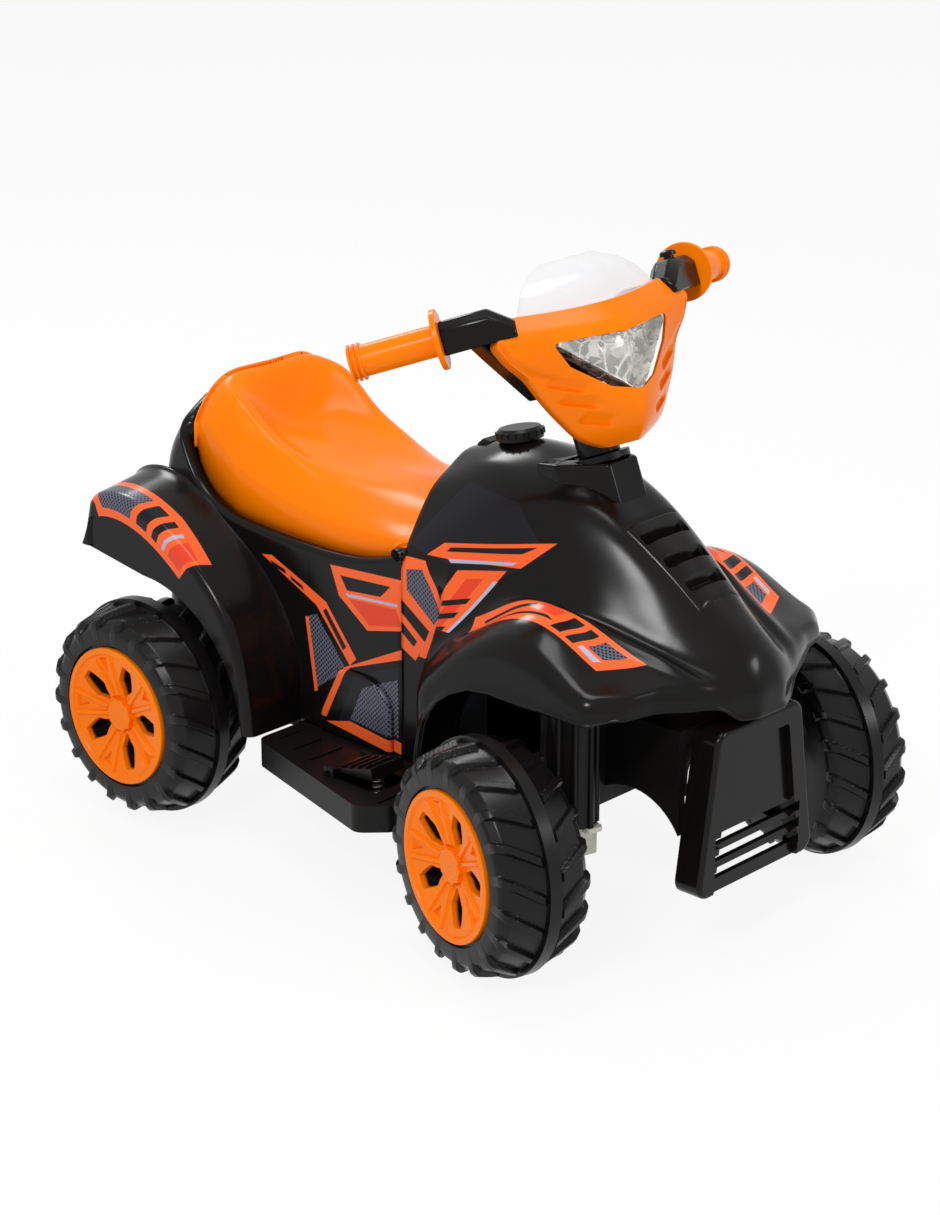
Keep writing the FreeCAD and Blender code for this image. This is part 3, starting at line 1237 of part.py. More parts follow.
def make_axle_spacer():
    """Tube on the rear axle between the keel and the left wheel."""
    inner = KEEL_HALF_WIDTH
    outer = REAR_HALF_TRACK - HUB_INNER_REACH - SEAT_CLEARANCE
    tube = rod(vector(REAR_AXLE_X, inner, AXLE_Z), vector(REAR_AXLE_X, outer, AXLE_Z), HUB_RADIUS / 2)
    return tube.cut(make_rear_axle())


def push_nut(x, side, half_track):
    """Push-on nut that keeps a wheel on its axle."""
    start = half_track + HUB_OUTER_REACH + SEAT_CLEARANCE
    nut = rod(vector(x, side * start, AXLE_Z), vector(x, side * (start + PUSH_NUT_THICKNESS), AXLE_Z), PUSH_NUT_RADIUS)
    return nut.cut(rod(vector(x, 0, AXLE_Z), vector(x, side * 2 * half_track, AXLE_Z), AXLE_DIAMETER / 2))


def axle_bar(side):
    """Bent steel bar: kingpin above, stub axle outwards."""
    bend = AXLE_BEND_RADIUS
    x = FRONT_AXLE_X
    y = side * KINGPIN_Y
    high = TOWER_TOP + SEAT_CLEARANCE + ARM_THICKNESS
    slant = bend * (1 - math.cos(math.radians(45)))
    points = [vector(x, y, high), vector(x, y, AXLE_Z + bend), vector(x, y + side * slant, AXLE_Z + slant),
              vector(x, y + side * bend, AXLE_Z), vector(x, side * axle_end(FRONT_HALF_TRACK), AXLE_Z)]
    path = Part.Wire([Part.makeLine(points[0], points[1]), Part.Arc(points[1], points[2], points[3]).toShape(),
                      Part.makeLine(points[3], points[4])])
    profile = Part.Wire([Part.makeCircle(AXLE_DIAMETER / 2, points[0], AXIS_Z)])
    return path.makePipeShell([profile], True, False)


def knuckle(side):
    """White nylon block moulded round the bend of the axle bar."""
    half = KNUCKLE_LENGTH / 2
    x = FRONT_AXLE_X
    inner = side * (KINGPIN_Y - KNUCKLE_INNER)
    outer = side * (KINGPIN_Y + KNUCKLE_OUTER)
    block = prism_z([(x - half, inner), (x + half, inner), (x + half, outer), (x - half, outer)],
                    KNUCKLE_BOTTOM, KNUCKLE_TOP, KNUCKLE_CORNER)
    lip = prism_z([(x, inner), (x + half + KNUCKLE_LIP, inner), (x + half + KNUCKLE_LIP, side * KINGPIN_Y),
                   (x, side * KINGPIN_Y)], KNUCKLE_TOP - KNUCKLE_LIP_THICKNESS, KNUCKLE_TOP, KNUCKLE_CORNER)
    return block.fuse(lip).cut(axle_bar(side))


def arm_eye_x():
    """Place of the tie rod's pins with the wheels straight."""
    return FRONT_AXLE_X - STEER_ARM_LENGTH


def steering_arm(side, pin_clearance):
    """Flat arm clamped on top of a kingpin."""
    y = side * KINGPIN_Y
    low = TOWER_TOP + SEAT_CLEARANCE
    high = low + ARM_THICKNESS
    tip = arm_eye_x()
    eye = ARM_EYE_RADIUS
    plate = box(tip, FRONT_AXLE_X, y - eye * 0.7, y + eye * 0.7, low, high)
    ends = [rod(vector(x, y, low), vector(x, y, high), eye) for x in (tip, FRONT_AXLE_X)]
    arm = plate.fuse(ends).cut(axle_bar(side))
    return arm.cut(rod(vector(tip, y, low), vector(tip, y, high), TIE_PIN_RADIUS + pin_clearance))


def make_tie_rod():
    """Bar between the two arms, with a pin at each end and a slotted tab for the crank."""
    low = TOWER_TOP + SEAT_CLEARANCE + ARM_THICKNESS + SEAT_CLEARANCE
    high = low + TIE_ROD_THICKNESS
    x = arm_eye_x()
    half = TIE_ROD_WIDTH / 2
    bar = box(x - half, x + half, -KINGPIN_Y, KINGPIN_Y, low, high)
    pieces = []
    for side in (-1, 1):
        y = side * KINGPIN_Y
        pieces.append(rod(vector(x, y, low), vector(x, y, high), half))
        pieces.append(rod(vector(x, y, TOWER_TOP + SEAT_CLEARANCE), vector(x, y, low), TIE_PIN_RADIUS))
    slot_x = crank_pin_foot(high).x
    slot_half = CRANK_PIN_RADIUS + OPEN_PIVOT_CLEARANCE
    back = slot_x - CRANK_SLOT_LENGTH - half
    tab = box(back, x, -slot_half - half, slot_half + half, low, high)
    slot = box(slot_x - CRANK_SLOT_LENGTH, slot_x + CRANK_SLOT_LENGTH, -slot_half, slot_half, low, high)
    straight = bar.fuse(pieces + [tab]).cut(slot)
    return moved(straight, tie_rod_shift())


def tie_rod_shift():
    """How far the tie rod moves from straight ahead to the resting steering angle."""
    angle = math.radians(REST_STEER)
    return vector(STEER_ARM_LENGTH * (1 - math.cos(angle)), -STEER_ARM_LENGTH * math.sin(angle), 0)


def crank_pin_foot(level_z):
    """Where the straight-ahead crank pin passes a height."""
    angle = math.radians(RAKE)
    start = shaft_point(CRANK_LEVEL) - vector(math.cos(angle), 0, math.sin(angle)) * STEER_ARM_LENGTH
    drop = (start.z - level_z) / math.cos(angle)
    return start + vector(math.sin(angle), 0, -math.cos(angle)) * drop


def make_steering_shaft():
    """Steel column with the crank that drives the tie rod."""
    column = rod(vector(0, 0, SHAFT_BOTTOM), vector(0, 0, SHAFT_TOP), SHAFT_RADIUS)
    low = CRANK_LEVEL - CRANK_THICKNESS / 2
    high = CRANK_LEVEL + CRANK_THICKNESS / 2
    plate = box(-STEER_ARM_LENGTH, 0, -SHAFT_RADIUS, SHAFT_RADIUS, low, high)
    eye = rod(vector(-STEER_ARM_LENGTH, 0, low), vector(-STEER_ARM_LENGTH, 0, high), SHAFT_RADIUS)
    hub = rod(vector(0, 0, low), vector(0, 0, high), SHAFT_RADIUS * 1.6)
    pin = rod(vector(-STEER_ARM_LENGTH, 0, low - CRANK_PIN_DROP), vector(-STEER_ARM_LENGTH, 0, low), CRANK_PIN_RADIUS)
    return steered(column.fuse([plate, eye, hub, pin]))


def make_neck_ring():
    """Bearing ring at the top of the collar."""
    flange = rod(vector(0, 0, COLLAR_TOP), vector(0, 0, COLLAR_TOP + NECK_RING_HEIGHT), NECK_RING_RADIUS)
    spigot = rod(vector(0, 0, COLLAR_TOP - NECK_RING_SPIGOT), vector(0, 0, COLLAR_TOP), NECK_RING_SPIGOT_RADIUS)
    bore = rod(vector(0, 0, COLLAR_TOP - CUT_OVERRUN), vector(0, 0, COLLAR_TOP + CUT_OVERRUN),
               SHAFT_RADIUS + RUNNING_CLEARANCE)
    return raked(flange.fuse(spigot).cut(bore))


# Handlebar group, drawn upright about the steering axis

def make_handlebar():
    """Moulded yoke with two block ends, its stem and the bars inside the grips."""
    depth = BLOCK_DEPTH / 2
    half = BLOCK_HEIGHT / 2
    blocks = []
    for side in (-1, 1):
        blocks.append(prism_y([(BAR_BACK - depth, BAR_LEVEL - half), (BAR_BACK + depth, BAR_LEVEL - half),
                               (BAR_BACK + depth, BAR_LEVEL + half), (BAR_BACK - depth, BAR_LEVEL + half)],
                              side * BLOCK_INNER, side * BLOCK_OUTER, BLOCK_CORNER))
        blocks.append(rod(vector(BAR_BACK, side * BLOCK_INNER, BAR_LEVEL),
                          vector(BAR_BACK, side * (GRIP_END - GRIP_END_WALL), BAR_LEVEL), BAR_RADIUS))
    low = YOKE_LEVEL
    wing = BLOCK_OUTER - BLOCK_CORNER
    outline = [(-wing, BAR_LEVEL - half + BLOCK_CORNER), (-YOKE_HALF_WIDTH, low), (YOKE_HALF_WIDTH, low),
               (wing, BAR_LEVEL - half + BLOCK_CORNER), (BLOCK_INNER, BAR_LEVEL),
               (STEM_RADIUS, BAR_LEVEL - YOKE_DIP), (-STEM_RADIUS, BAR_LEVEL - YOKE_DIP), (-BLOCK_INNER, BAR_LEVEL)]
    yoke = prism_x(outline, BAR_BACK - YOKE_DEPTH / 2, BAR_BACK + YOKE_DEPTH / 2, BLOCK_CORNER)
    stem_bottom = COLLAR_TOP + NECK_RING_HEIGHT + SEAT_CLEARANCE
    stem = rod(vector(0, 0, stem_bottom), vector(0, 0, STEM_TOP), STEM_RADIUS)
    bridge = box(BAR_BACK, 0, -STEM_RADIUS, STEM_RADIUS, low, STEM_TOP)
    pegs = []
    behind_fairing = fairing_block(FAIRING_WALL, FAIRING_BACK - BAR_BACK + CUT_OVERRUN)
    for side in (-1, 1):
        peg = rod(vector(BAR_BACK, side * BRACKET_Y, BRACKET_LEVEL),
                  vector(FAIRING_BACK + FAIRING_BULGE, side * BRACKET_Y, BRACKET_LEVEL), BRACKET_RADIUS)
        pegs.append(peg.common(behind_fairing))
    body = yoke.fuse(blocks + [stem, bridge] + pegs)
    bore = rod(vector(0, 0, -CUT_OVERRUN), vector(0, 0, SHAFT_TOP), SHAFT_RADIUS)
    side = HORN_PLACE
    top = BAR_LEVEL + half
    horn = rod(vector(BAR_BACK, side, top - HORN_STEM_LENGTH - HORN_TRAVEL), vector(BAR_BACK, side, top + CUT_OVERRUN),
               HORN_STEM_RADIUS + RUNNING_CLEARANCE)
    return steered(body.cut([bore, horn]))


def make_grip(side):
    """Orange grip with its inner flange and three rings at the end."""
    start = vector(BAR_BACK, side * BLOCK_OUTER, BAR_LEVEL)
    end = vector(BAR_BACK, side * GRIP_END, BAR_LEVEL)
    sleeve = rod(start, end, GRIP_RADIUS)
    flange = rod(start, start + vector(0, side * GRIP_FLANGE_THICKNESS, 0), GRIP_FLANGE_RADIUS)
    rings = []
    for index in range(GRIP_RING_COUNT):
        outer = end - vector(0, side * index * GRIP_RING_PITCH, 0)
        rings.append(rod(outer - vector(0, side * GRIP_RING_WIDTH, 0), outer, GRIP_RING_RADIUS))
    bore = rod(start, end - vector(0, side * GRIP_END_WALL, 0), BAR_RADIUS)
    return steered(sleeve.fuse([flange] + rings).cut(bore))


def make_horn_button():
    """Domed button on the left block."""
    top = BAR_LEVEL + BLOCK_HEIGHT / 2
    base = vector(BAR_BACK, HORN_PLACE, top + HORN_TRAVEL + SEAT_CLEARANCE)
    stem = rod(base - vector(0, 0, HORN_STEM_LENGTH), base, HORN_STEM_RADIUS)
    head = rod(base, base + vector(0, 0, HORN_HEIGHT), HORN_RADIUS)
    rim = [edge for edge in head.Edges if edge.BoundBox.ZMin > base.z + HORN_HEIGHT / 2]
    head = head.makeFillet(HORN_HEIGHT / 2, rim)
    return steered(head.fuse(stem))


def bowed_section(level, half, back, bulge, skirt):
    """Closed section of a bowed shell at a level: forward curve, closed by a skirt behind it."""
    steps = (-1.0, -0.72, -0.4, 0.0, 0.4, 0.72, 1.0)
    points = []
    for step in steps:
        forward = back + bulge * (1 - abs(step) ** FAIRING_CURVE)
        points.append(vector(forward, step * half, level))
    start = vector(back - skirt, -half, level)
    end = vector(back - skirt, half, level)
    return Part.Wire([Part.makeLine(start, points[0]), spline(points), Part.makeLine(points[-1], end),
                      Part.makeLine(end, start)])


def fairing_block(inset, skirt):
    """Solid behind the fairing's front face, drawn in by an inset."""
    sections = []
    for level, width, bulge in zip(FAIRING_LEVEL_SHARES, FAIRING_WIDTH_SHARES, FAIRING_BULGE_SHARES):
        height = FAIRING_BOTTOM + inset + level * (FAIRING_HEIGHT - inset)
        sections.append(bowed_section(height, width * FAIRING_HALF_WIDTH - inset, FAIRING_BACK,
                                      bulge * FAIRING_BULGE - inset, skirt))
    return Part.makeLoft(sections, True)


def lens_prism(grow):
    """Rounded triangle of the headlight, carried along the forward direction."""
    outline = [(-LENS_HALF_WIDTH - grow, LENS_TOP + grow), (0, LENS_TOP - LENS_DIP + grow),
               (LENS_HALF_WIDTH + grow, LENS_TOP + grow), (0, LENS_BOTTOM - grow)]
    return prism_x(outline, 0, FAIRING_BACK + FAIRING_BULGE + CUT_OVERRUN, LENS_CORNER)


def fairing_dip():
    """Space above the fairing's dipped top edge."""
    top = FAIRING_BOTTOM + FAIRING_HEIGHT
    half = FAIRING_HALF_WIDTH * FAIRING_WIDTH_SHARES[-1]
    points = [vector(0, -half, top), vector(0, 0, top - FAIRING_DIP), vector(0, half, top)]
    above = [vector(0, half, top + CUT_OVERRUN), vector(0, -half, top + CUT_OVERRUN)]
    wire = Part.Wire([spline(points), Part.makeLine(points[-1], above[0]), Part.makeLine(above[0], above[1]),
                      Part.makeLine(above[1], points[0])])
    return Part.Face(wire).extrude(vector(FAIRING_BACK + FAIRING_BULGE + CUT_OVERRUN, 0, 0))


def make_front_fairing():
    """Orange fairing with its headlight opening."""
    shell = fairing_block(0.0, FAIRING_SKIRT).cut(fairing_block(FAIRING_WALL, FAIRING_SKIRT + CUT_OVERRUN))
    return steered(shell.cut([lens_prism(0.0), fairing_dip()]))


def make_headlight_lens():
    """Clear lens that follows the fairing's curve just below its face."""
    sheet = fairing_block(LENS_RECESS, FAIRING_SKIRT).cut(
        fairing_block(LENS_RECESS + LENS_THICKNESS, FAIRING_SKIRT + CUT_OVERRUN))
    return steered(sheet.common(lens_prism(-LENS_CLEARANCE)))


def make_headlight_reflector():
    """Bright tray behind the lens."""
    deep = FAIRING_WALL + REFLECTOR_DEPTH
    back = FAIRING_SKIRT + CUT_OVERRUN
    block = fairing_block(FAIRING_WALL, back).cut(fairing_block(deep + REFLECTOR_WALL, 2 * back))
    tray = block.common(lens_prism(REFLECTOR_WALL))
    inside = fairing_block(0.0, back).cut(fairing_block(deep, 2 * back))
    return steered(tray.cut(inside.common(lens_prism(0.0))))


def make_headlight_bulb():
    """Small bulb in the middle of the reflector."""
    level = (LENS_TOP + LENS_BOTTOM) / 2 + LENS_DIP
    floor = FAIRING_BACK + FAIRING_BULGE - FAIRING_WALL - REFLECTOR_DEPTH + SEAT_CLEARANCE
    base = vector(floor, 0, level)
    tip = base + vector(BULB_BASE_LENGTH, 0, 0)
    return steered(rod(base, tip, BULB_BASE_RADIUS).fuse(Part.makeSphere(BULB_RADIUS, tip)))


def screen_block(inset, skirt):
    """Solid behind the windshield, drawn in by an inset."""
    sections = []
    low = FAIRING_BOTTOM + FAIRING_HEIGHT - FAIRING_DIP
    rows = zip(SCREEN_LEVEL_SHARES, SCREEN_WIDTH_SHARES, SCREEN_BACK_SHARES, SCREEN_BULGE_SHARES)
    for level, width, back, bulge in rows:
        height = low - inset + level * SCREEN_HEIGHT
        sections.append(bowed_section(height, width * SCREEN_HALF_WIDTH - inset, FAIRING_BACK - back * SCREEN_LEAN,
                                      bulge * FAIRING_BULGE - inset, skirt))
    return Part.makeLoft(sections, True)


def make_windshield():
    """Clear screen that rises from behind the fairing's top edge."""
    sheet = screen_block(0.0, SCREEN_THICKNESS).cut(screen_block(SCREEN_THICKNESS, CUT_OVERRUN))
    solid = fairing_block(0.0, FAIRING_SKIRT).cut(fairing_block(FAIRING_WALL, FAIRING_SKIRT + CUT_OVERRUN))
    return steered(sheet.cut(solid.cut(fairing_dip())))


# Drive

def gear_radius(teeth):
    """Pitch radius of a gear."""
    return teeth * GEAR_MODULE / 2


def train_step(distance):
    """Offset along the slanted line of the gear train."""
    angle = math.radians(TRAIN_ANGLE)
    return vector(distance * math.cos(angle), 0, distance * math.sin(angle))


def compound_centre():
    """Axis of the reduction gear."""
    return vector(REAR_AXLE_X, 0, AXLE_Z) + train_step(gear_radius(DRIVE_TEETH + COMPOUND_SMALL_TEETH))


def motor_centre():
    """Axis of the motor."""
    return compound_centre() + train_step(gear_radius(COMPOUND_LARGE_TEETH + PINION_TEETH))


def gear(teeth, centre, y_from, y_to, phase):
    """Spur gear with straight-flanked teeth, one tooth pointing along the phase angle."""
    pitch = gear_radius(teeth)
    tip = pitch + GEAR_MODULE * 0.85
    root = pitch - GEAR_MODULE * 1.15
    points = []
    for index in range(teeth):
        middle = phase + index * 360.0 / teeth
        half = math.degrees((GEAR_MODULE * math.pi / 4 - GEAR_BACKLASH / 2) / pitch)
        slope = math.degrees(GEAR_MODULE * 0.36 / pitch)
        for radius, offset in ((root, -half - slope), (tip, slope - half), (tip, half - slope), (root, half + slope)):
            points.append(polar(radius, middle + offset))
    return moved(prism_y(points, y_from, y_to), vector(centre.x, 0, centre.z))


def layer(index):
    """Near and far side planes of one gear layer inside the case, measured to the right."""
    start = CASE_INNER_Y + CASE_WALL + GEAR_GAP / 2 + index * (GEAR_FACE + GEAR_GAP)
    return -start, -start - GEAR_FACE


def case_outer_y():
    """Outer side plane of the closed gearbox."""
    return layer(1)[1] - GEAR_GAP / 2 - CASE_WALL


def make_motor_pinion():
    """Brass pinion on the motor shaft, in mesh with the large reduction gear."""
    near, far = layer(0)
    tooth = gear(PINION_TEETH, motor_centre(), near, far, TRAIN_ANGLE + 180)
    centre = motor_centre()
    return tooth.cut(rod(vector(centre.x, 0, centre.z), vector(centre.x, 2 * far, centre.z), MOTOR_SHAFT_RADIUS))


def make_reduction_gear():
    """Compound gear: large wheel driven by the pinion, small one driving the axle gear."""
    centre = compound_centre()
    large = gear(COMPOUND_LARGE_TEETH, centre, *layer(0), TRAIN_ANGLE + 180.0 / COMPOUND_LARGE_TEETH)
    small = gear(COMPOUND_SMALL_TEETH, centre, layer(0)[1], layer(1)[1], TRAIN_ANGLE + 180)
    bore = rod(vector(centre.x, 0, centre.z), vector(centre.x, 2 * case_outer_y(), centre.z),
               GEAR_PIN_RADIUS + RUNNING_CLEARANCE)
    return large.fuse(small).cut(bore)


def make_drive_gear():
    """Axle gear with the sleeve that turns the right wheel."""
    axle = vector(REAR_AXLE_X, 0, AXLE_Z)
    wheel = gear(DRIVE_TEETH, axle, *layer(1), TRAIN_ANGLE + 180.0 / DRIVE_TEETH)
    sleeve_end = -(REAR_HALF_TRACK - HUB_INNER_REACH)
    sleeve = rod(vector(REAR_AXLE_X, layer(1)[1], AXLE_Z), vector(REAR_AXLE_X, sleeve_end, AXLE_Z), HUB_RADIUS)
    bore = rod(vector(REAR_AXLE_X, 0, AXLE_Z), vector(REAR_AXLE_X, 2 * sleeve_end, AXLE_Z),
               AXLE_DIAMETER / 2 + RUNNING_CLEARANCE)
    return wheel.fuse(sleeve).cut(bore)


def case_block(grow, y_from, y_to):
    """Block round the gear train, grown by a wall."""
    places = [(vector(REAR_AXLE_X, 0, AXLE_Z), gear_radius(DRIVE_TEETH)),
              (compound_centre(), gear_radius(COMPOUND_LARGE_TEETH)), (motor_centre(), gear_radius(PINION_TEETH))]
    solid = None
    for centre, pitch in places:
        radius = pitch + GEAR_MODULE + CASE_CLEARANCE + grow
        disc = rod(vector(centre.x, y_from, centre.z), vector(centre.x, y_to, centre.z), radius)
        solid = disc if solid is None else solid.fuse(disc)
    return solid


def case_shell():
    """Closed wall round the gears with bores for the axle sleeve and the motor boss."""
    inner = -CASE_INNER_Y
    outer = case_outer_y()
    shell = case_block(CASE_WALL, inner, outer).cut(case_block(0.0, inner - CASE_WALL, outer + CASE_WALL))
    axle = vector(REAR_AXLE_X, 0, AXLE_Z)
    sleeve = rod(axle + vector(0, layer(1)[0], 0), axle + vector(0, 2 * outer, 0), HUB_RADIUS + SEAT_CLEARANCE)
    shaft = rod(axle, axle + vector(0, 2 * outer, 0), AXLE_DIAMETER / 2)
    motor = motor_centre()
    boss = rod(motor, motor + vector(0, layer(0)[0], 0), MOTOR_BOSS_RADIUS)
    centre = compound_centre()
    pin = rod(centre + vector(0, inner, 0), centre + vector(0, outer, 0), GEAR_PIN_RADIUS)
    return shell.cut([sleeve, shaft, boss]).fuse(pin)


def case_half(y_from, y_to):
    """Slice of the gearbox between two side planes."""
    low = min(y_from, y_to)
    high = max(y_from, y_to)
    reach = 2 * WHEELBASE
    return case_shell().common(box(-reach, reach, low, high, -reach, reach))


def make_gearbox_case():
    """Inner half of the gearbox, with the pin of the reduction gear."""
    split = layer(0)[1] - GEAR_GAP / 2
    motor_side = case_half(-CASE_INNER_Y + CASE_WALL, split)
    centre = compound_centre()
    pin = rod(centre + vector(0, split, 0), centre + vector(0, case_outer_y() + CASE_WALL, 0), GEAR_PIN_RADIUS)
    return motor_side.fuse(pin)


def make_gearbox_cover():
    """Outer half of the gearbox, towards the wheel."""
    split = layer(0)[1] - GEAR_GAP / 2
    centre = compound_centre()
    pin = rod(centre + vector(0, split, 0), centre + vector(0, case_outer_y() + CASE_WALL, 0), GEAR_PIN_RADIUS)
    return case_half(split, case_outer_y() - CASE_WALL).cut(pin)


def make_motor():
    """Can motor flanged to the gearbox."""
    centre = motor_centre()
    near = vector(centre.x, -CASE_INNER_Y, centre.z)
    can = rod(near, near + vector(0, MOTOR_LENGTH, 0), MOTOR_RADIUS)
    can = can.makeChamfer(MOTOR_SHAFT_RADIUS, [edge for edge in can.Edges if edge.Length > MOTOR_LENGTH + MOTOR_RADIUS])
    boss = rod(near, near - vector(0, CASE_WALL, 0), MOTOR_BOSS_RADIUS)
    tail = rod(near + vector(0, MOTOR_LENGTH, 0), near + vector(0, MOTOR_LENGTH + MOTOR_BOSS_LENGTH, 0),
               MOTOR_BOSS_RADIUS)
    return can.fuse([boss, tail])


def make_motor_shaft():
    """Steel shaft that turns in the motor and carries the pinion."""
    centre = motor_centre()
    start = vector(centre.x, -CASE_INNER_Y - CASE_WALL, centre.z)
    return rod(start, vector(centre.x, layer(0)[1], centre.z), MOTOR_SHAFT_RADIUS)


def make_battery():
    """Sealed lead-acid block with its two tab terminals."""
    x = REAR_AXLE_X + BATTERY_FORWARD
    low = FLOOR_Z + FLOOR_WALL
    half = BATTERY_WIDTH / 2
    block = prism_z([(x, -half), (x + BATTERY_LENGTH, -half), (x + BATTERY_LENGTH, half), (x, half)],
                    low, low + BATTERY_HEIGHT, BATTERY_CORNER)
    top = low + BATTERY_HEIGHT
    tabs = []
    for side in (-1, 1):
        y = side * half / 2
        tabs.append(box(x + TERMINAL_LENGTH, x + 2 * TERMINAL_LENGTH, y, y + TERMINAL_WIDTH, top,
                        top + TERMINAL_HEIGHT))
    return block.fuse(tabs)


# Accelerator

def make_accelerator_pedal():
    """Wedge pedal on its cross pin, raised at the front."""
    half = PEDAL_WIDTH / 2
    length = PEDAL_LENGTH - PEDAL_PIN_RADIUS
    plate = box(0, length, -half, half, 0, PEDAL_THICKNESS)
    cheeks = []
    drop = length * math.tan(math.radians(PEDAL_ANGLE)) / 2
    for side in (-1, 1):
        inner = side * (half - PEDAL_THICKNESS / 2)
        outer = side * half
        cheeks.append(prism_y([(PEDAL_PIN_RADIUS, PEDAL_THICKNESS / 2), (length, PEDAL_THICKNESS / 2), (length, -drop)],
                              min(inner, outer), max(inner, outer)))
    cheeks.append(box(length - PEDAL_THICKNESS, length, -half, half, -drop, PEDAL_THICKNESS))
    ribs = []
    for index in range(PEDAL_RIBS):
        x = length * (index + 1) / (PEDAL_RIBS + 1)
        ribs.append(box(x, x + TREAD_WIDTH, -half + TREAD_WIDTH, half - TREAD_WIDTH, PEDAL_THICKNESS,
                        PEDAL_THICKNESS + TREAD_HEIGHT))
    reach = half + PEDAL_GAP + BOARD_THICKNESS / 2
    pin = rod(vector(0, -reach, 0), vector(0, reach, 0), PEDAL_PIN_RADIUS)
    pedal = turned(plate.fuse(cheeks + ribs), -PEDAL_ANGLE, ORIGIN, AXIS_Y).fuse(pin)
    return pedal_frame(pedal)


def make_pedal_switch():
    """Small switch in the tray below the pedal."""
    low = -PEDAL_PIN_RADIUS - PEDAL_WELL_DEPTH
    half = SWITCH_BOX_WIDTH / 2
    return pedal_frame(box(BOARD_THICKNESS, BOARD_THICKNESS + SWITCH_BOX_LENGTH, -half, half, low,
                           low + SWITCH_BOX_HEIGHT))


def make_pedal_spring():
    """Coil spring between the tray and the pedal."""
    low = -PEDAL_PIN_RADIUS - PEDAL_WELL_DEPTH
    x = PEDAL_LENGTH / 2 + 2 * SPRING_RADIUS
    high = x * math.tan(math.radians(PEDAL_ANGLE)) - SPRING_RADIUS - SPRING_WIRE
    helix = Part.makeHelix((high - low) / SPRING_TURNS, high - low, SPRING_RADIUS)
    profile = Part.Wire([Part.makeCircle(SPRING_WIRE, vector(SPRING_RADIUS, 0, 0), AXIS_Y)])
    coil = Part.Wire(helix).makePipeShell([profile], True, True)
    return pedal_frame(moved(coil, vector(x, 0, low + SPRING_WIRE)))


def make_body_screws():
    """Screws that come up through the footboards into the body."""
    screws = []
    for place in screw_places():
        head = rod(place - vector(0, 0, SCREW_HEAD_HEIGHT), place, SCREW_HEAD_RADIUS)
        screws.append(head.fuse(rod(place, place + vector(0, 0, SCREW_LENGTH), SCREW_RADIUS)))
    return Part.makeCompound(screws)


def wheel(shape, x, side, half_track):
    """Place a wheel piece drawn with its outer face to the right."""
    piece = shape if side < 0 else turned(shape, 180)
    return moved(piece, vector(x, side * half_track, AXLE_Z))


def build():
    """Every piece of the toy by its name."""
    pieces = {
        "front_cowl": make_front_cowl(),
        "rear_body": make_rear_body(),
        "seat": make_seat(),
        "chassis": make_chassis(),
        "front_bumper": make_front_bumper(),
        "tank_cap": make_tank_cap(),
        "direction_switch": make_direction_switch(),
        "neck_ring": make_neck_ring(),
        "handlebar": make_handlebar(),
        "grip_right": make_grip(-1),
        "grip_left": make_grip(1),
        "horn_button": make_horn_button(),
        "front_fairing": make_front_fairing(),
        "headlight_lens": make_headlight_lens(),
        "headlight_reflector": make_headlight_reflector(),
        "headlight_bulb": make_headlight_bulb(),
        "windshield": make_windshield(),
        "steering_shaft": make_steering_shaft(),
        "tie_rod": make_tie_rod(),
        "rear_axle": make_rear_axle(),
        "axle_spacer": make_axle_spacer(),
        "rear_push_nuts": Part.makeCompound([push_nut(REAR_AXLE_X, side, REAR_HALF_TRACK) for side in (-1, 1)]),
        "gearbox_case": make_gearbox_case(),
        "gearbox_cover": make_gearbox_cover(),
        "motor": make_motor(),
        "motor_shaft": make_motor_shaft(),
        "motor_pinion": make_motor_pinion(),
        "reduction_gear": make_reduction_gear(),
        "drive_gear": make_drive_gear(),
        "battery": make_battery(),
        "accelerator_pedal": make_accelerator_pedal(),
        "pedal_switch": make_pedal_switch(),
        "pedal_spring": make_pedal_spring(),
        "body_screws": make_body_screws(),
    }
    tyre = make_tyre()
    cover = make_cover()
    for side, name in ((-1, "right"), (1, "left")):
        pin_clearance = RUNNING_CLEARANCE if side < 0 else OPEN_PIVOT_CLEARANCE
        pieces[name + "_axle_bar"] = knuckled(axle_bar(side), side)
        pieces[name + "_knuckle"] = knuckled(knuckle(side), side)
        pieces[name + "_steering_arm"] = knuckled(steering_arm(side, pin_clearance), side)
        pieces[name + "_push_nut"] = knuckled(push_nut(FRONT_AXLE_X, side, FRONT_HALF_TRACK), side)
        pieces["front_" + name + "_tyre"] = knuckled(wheel(tyre, FRONT_AXLE_X, side, FRONT_HALF_TRACK), side)
        pieces["front_" + name + "_cover"] = knuckled(wheel(cover, FRONT_AXLE_X, side, FRONT_HALF_TRACK), side)
        pieces["rear_" + name + "_tyre"] = wheel(tyre, REAR_AXLE_X, side, REAR_HALF_TRACK)
        pieces["rear_" + name + "_cover"] = wheel(cover, REAR_AXLE_X, side, REAR_HALF_TRACK)
    return pieces


os.makedirs("parts", exist_ok=True)
for node, solid in build().items():
    solid.exportStep("parts/" + node + ".step")
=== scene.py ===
"""Looks of a child's ride-on quad: black moulded bodywork, orange seat, fairing, grips and wheel covers.

Lengths inside the classes are millimetres in the frame of the solids; meshes are written in metres.
"""
import logging
import math
from dataclasses import dataclass, field
from enum import Enum
from typing import Callable, Optional, Sequence, Union

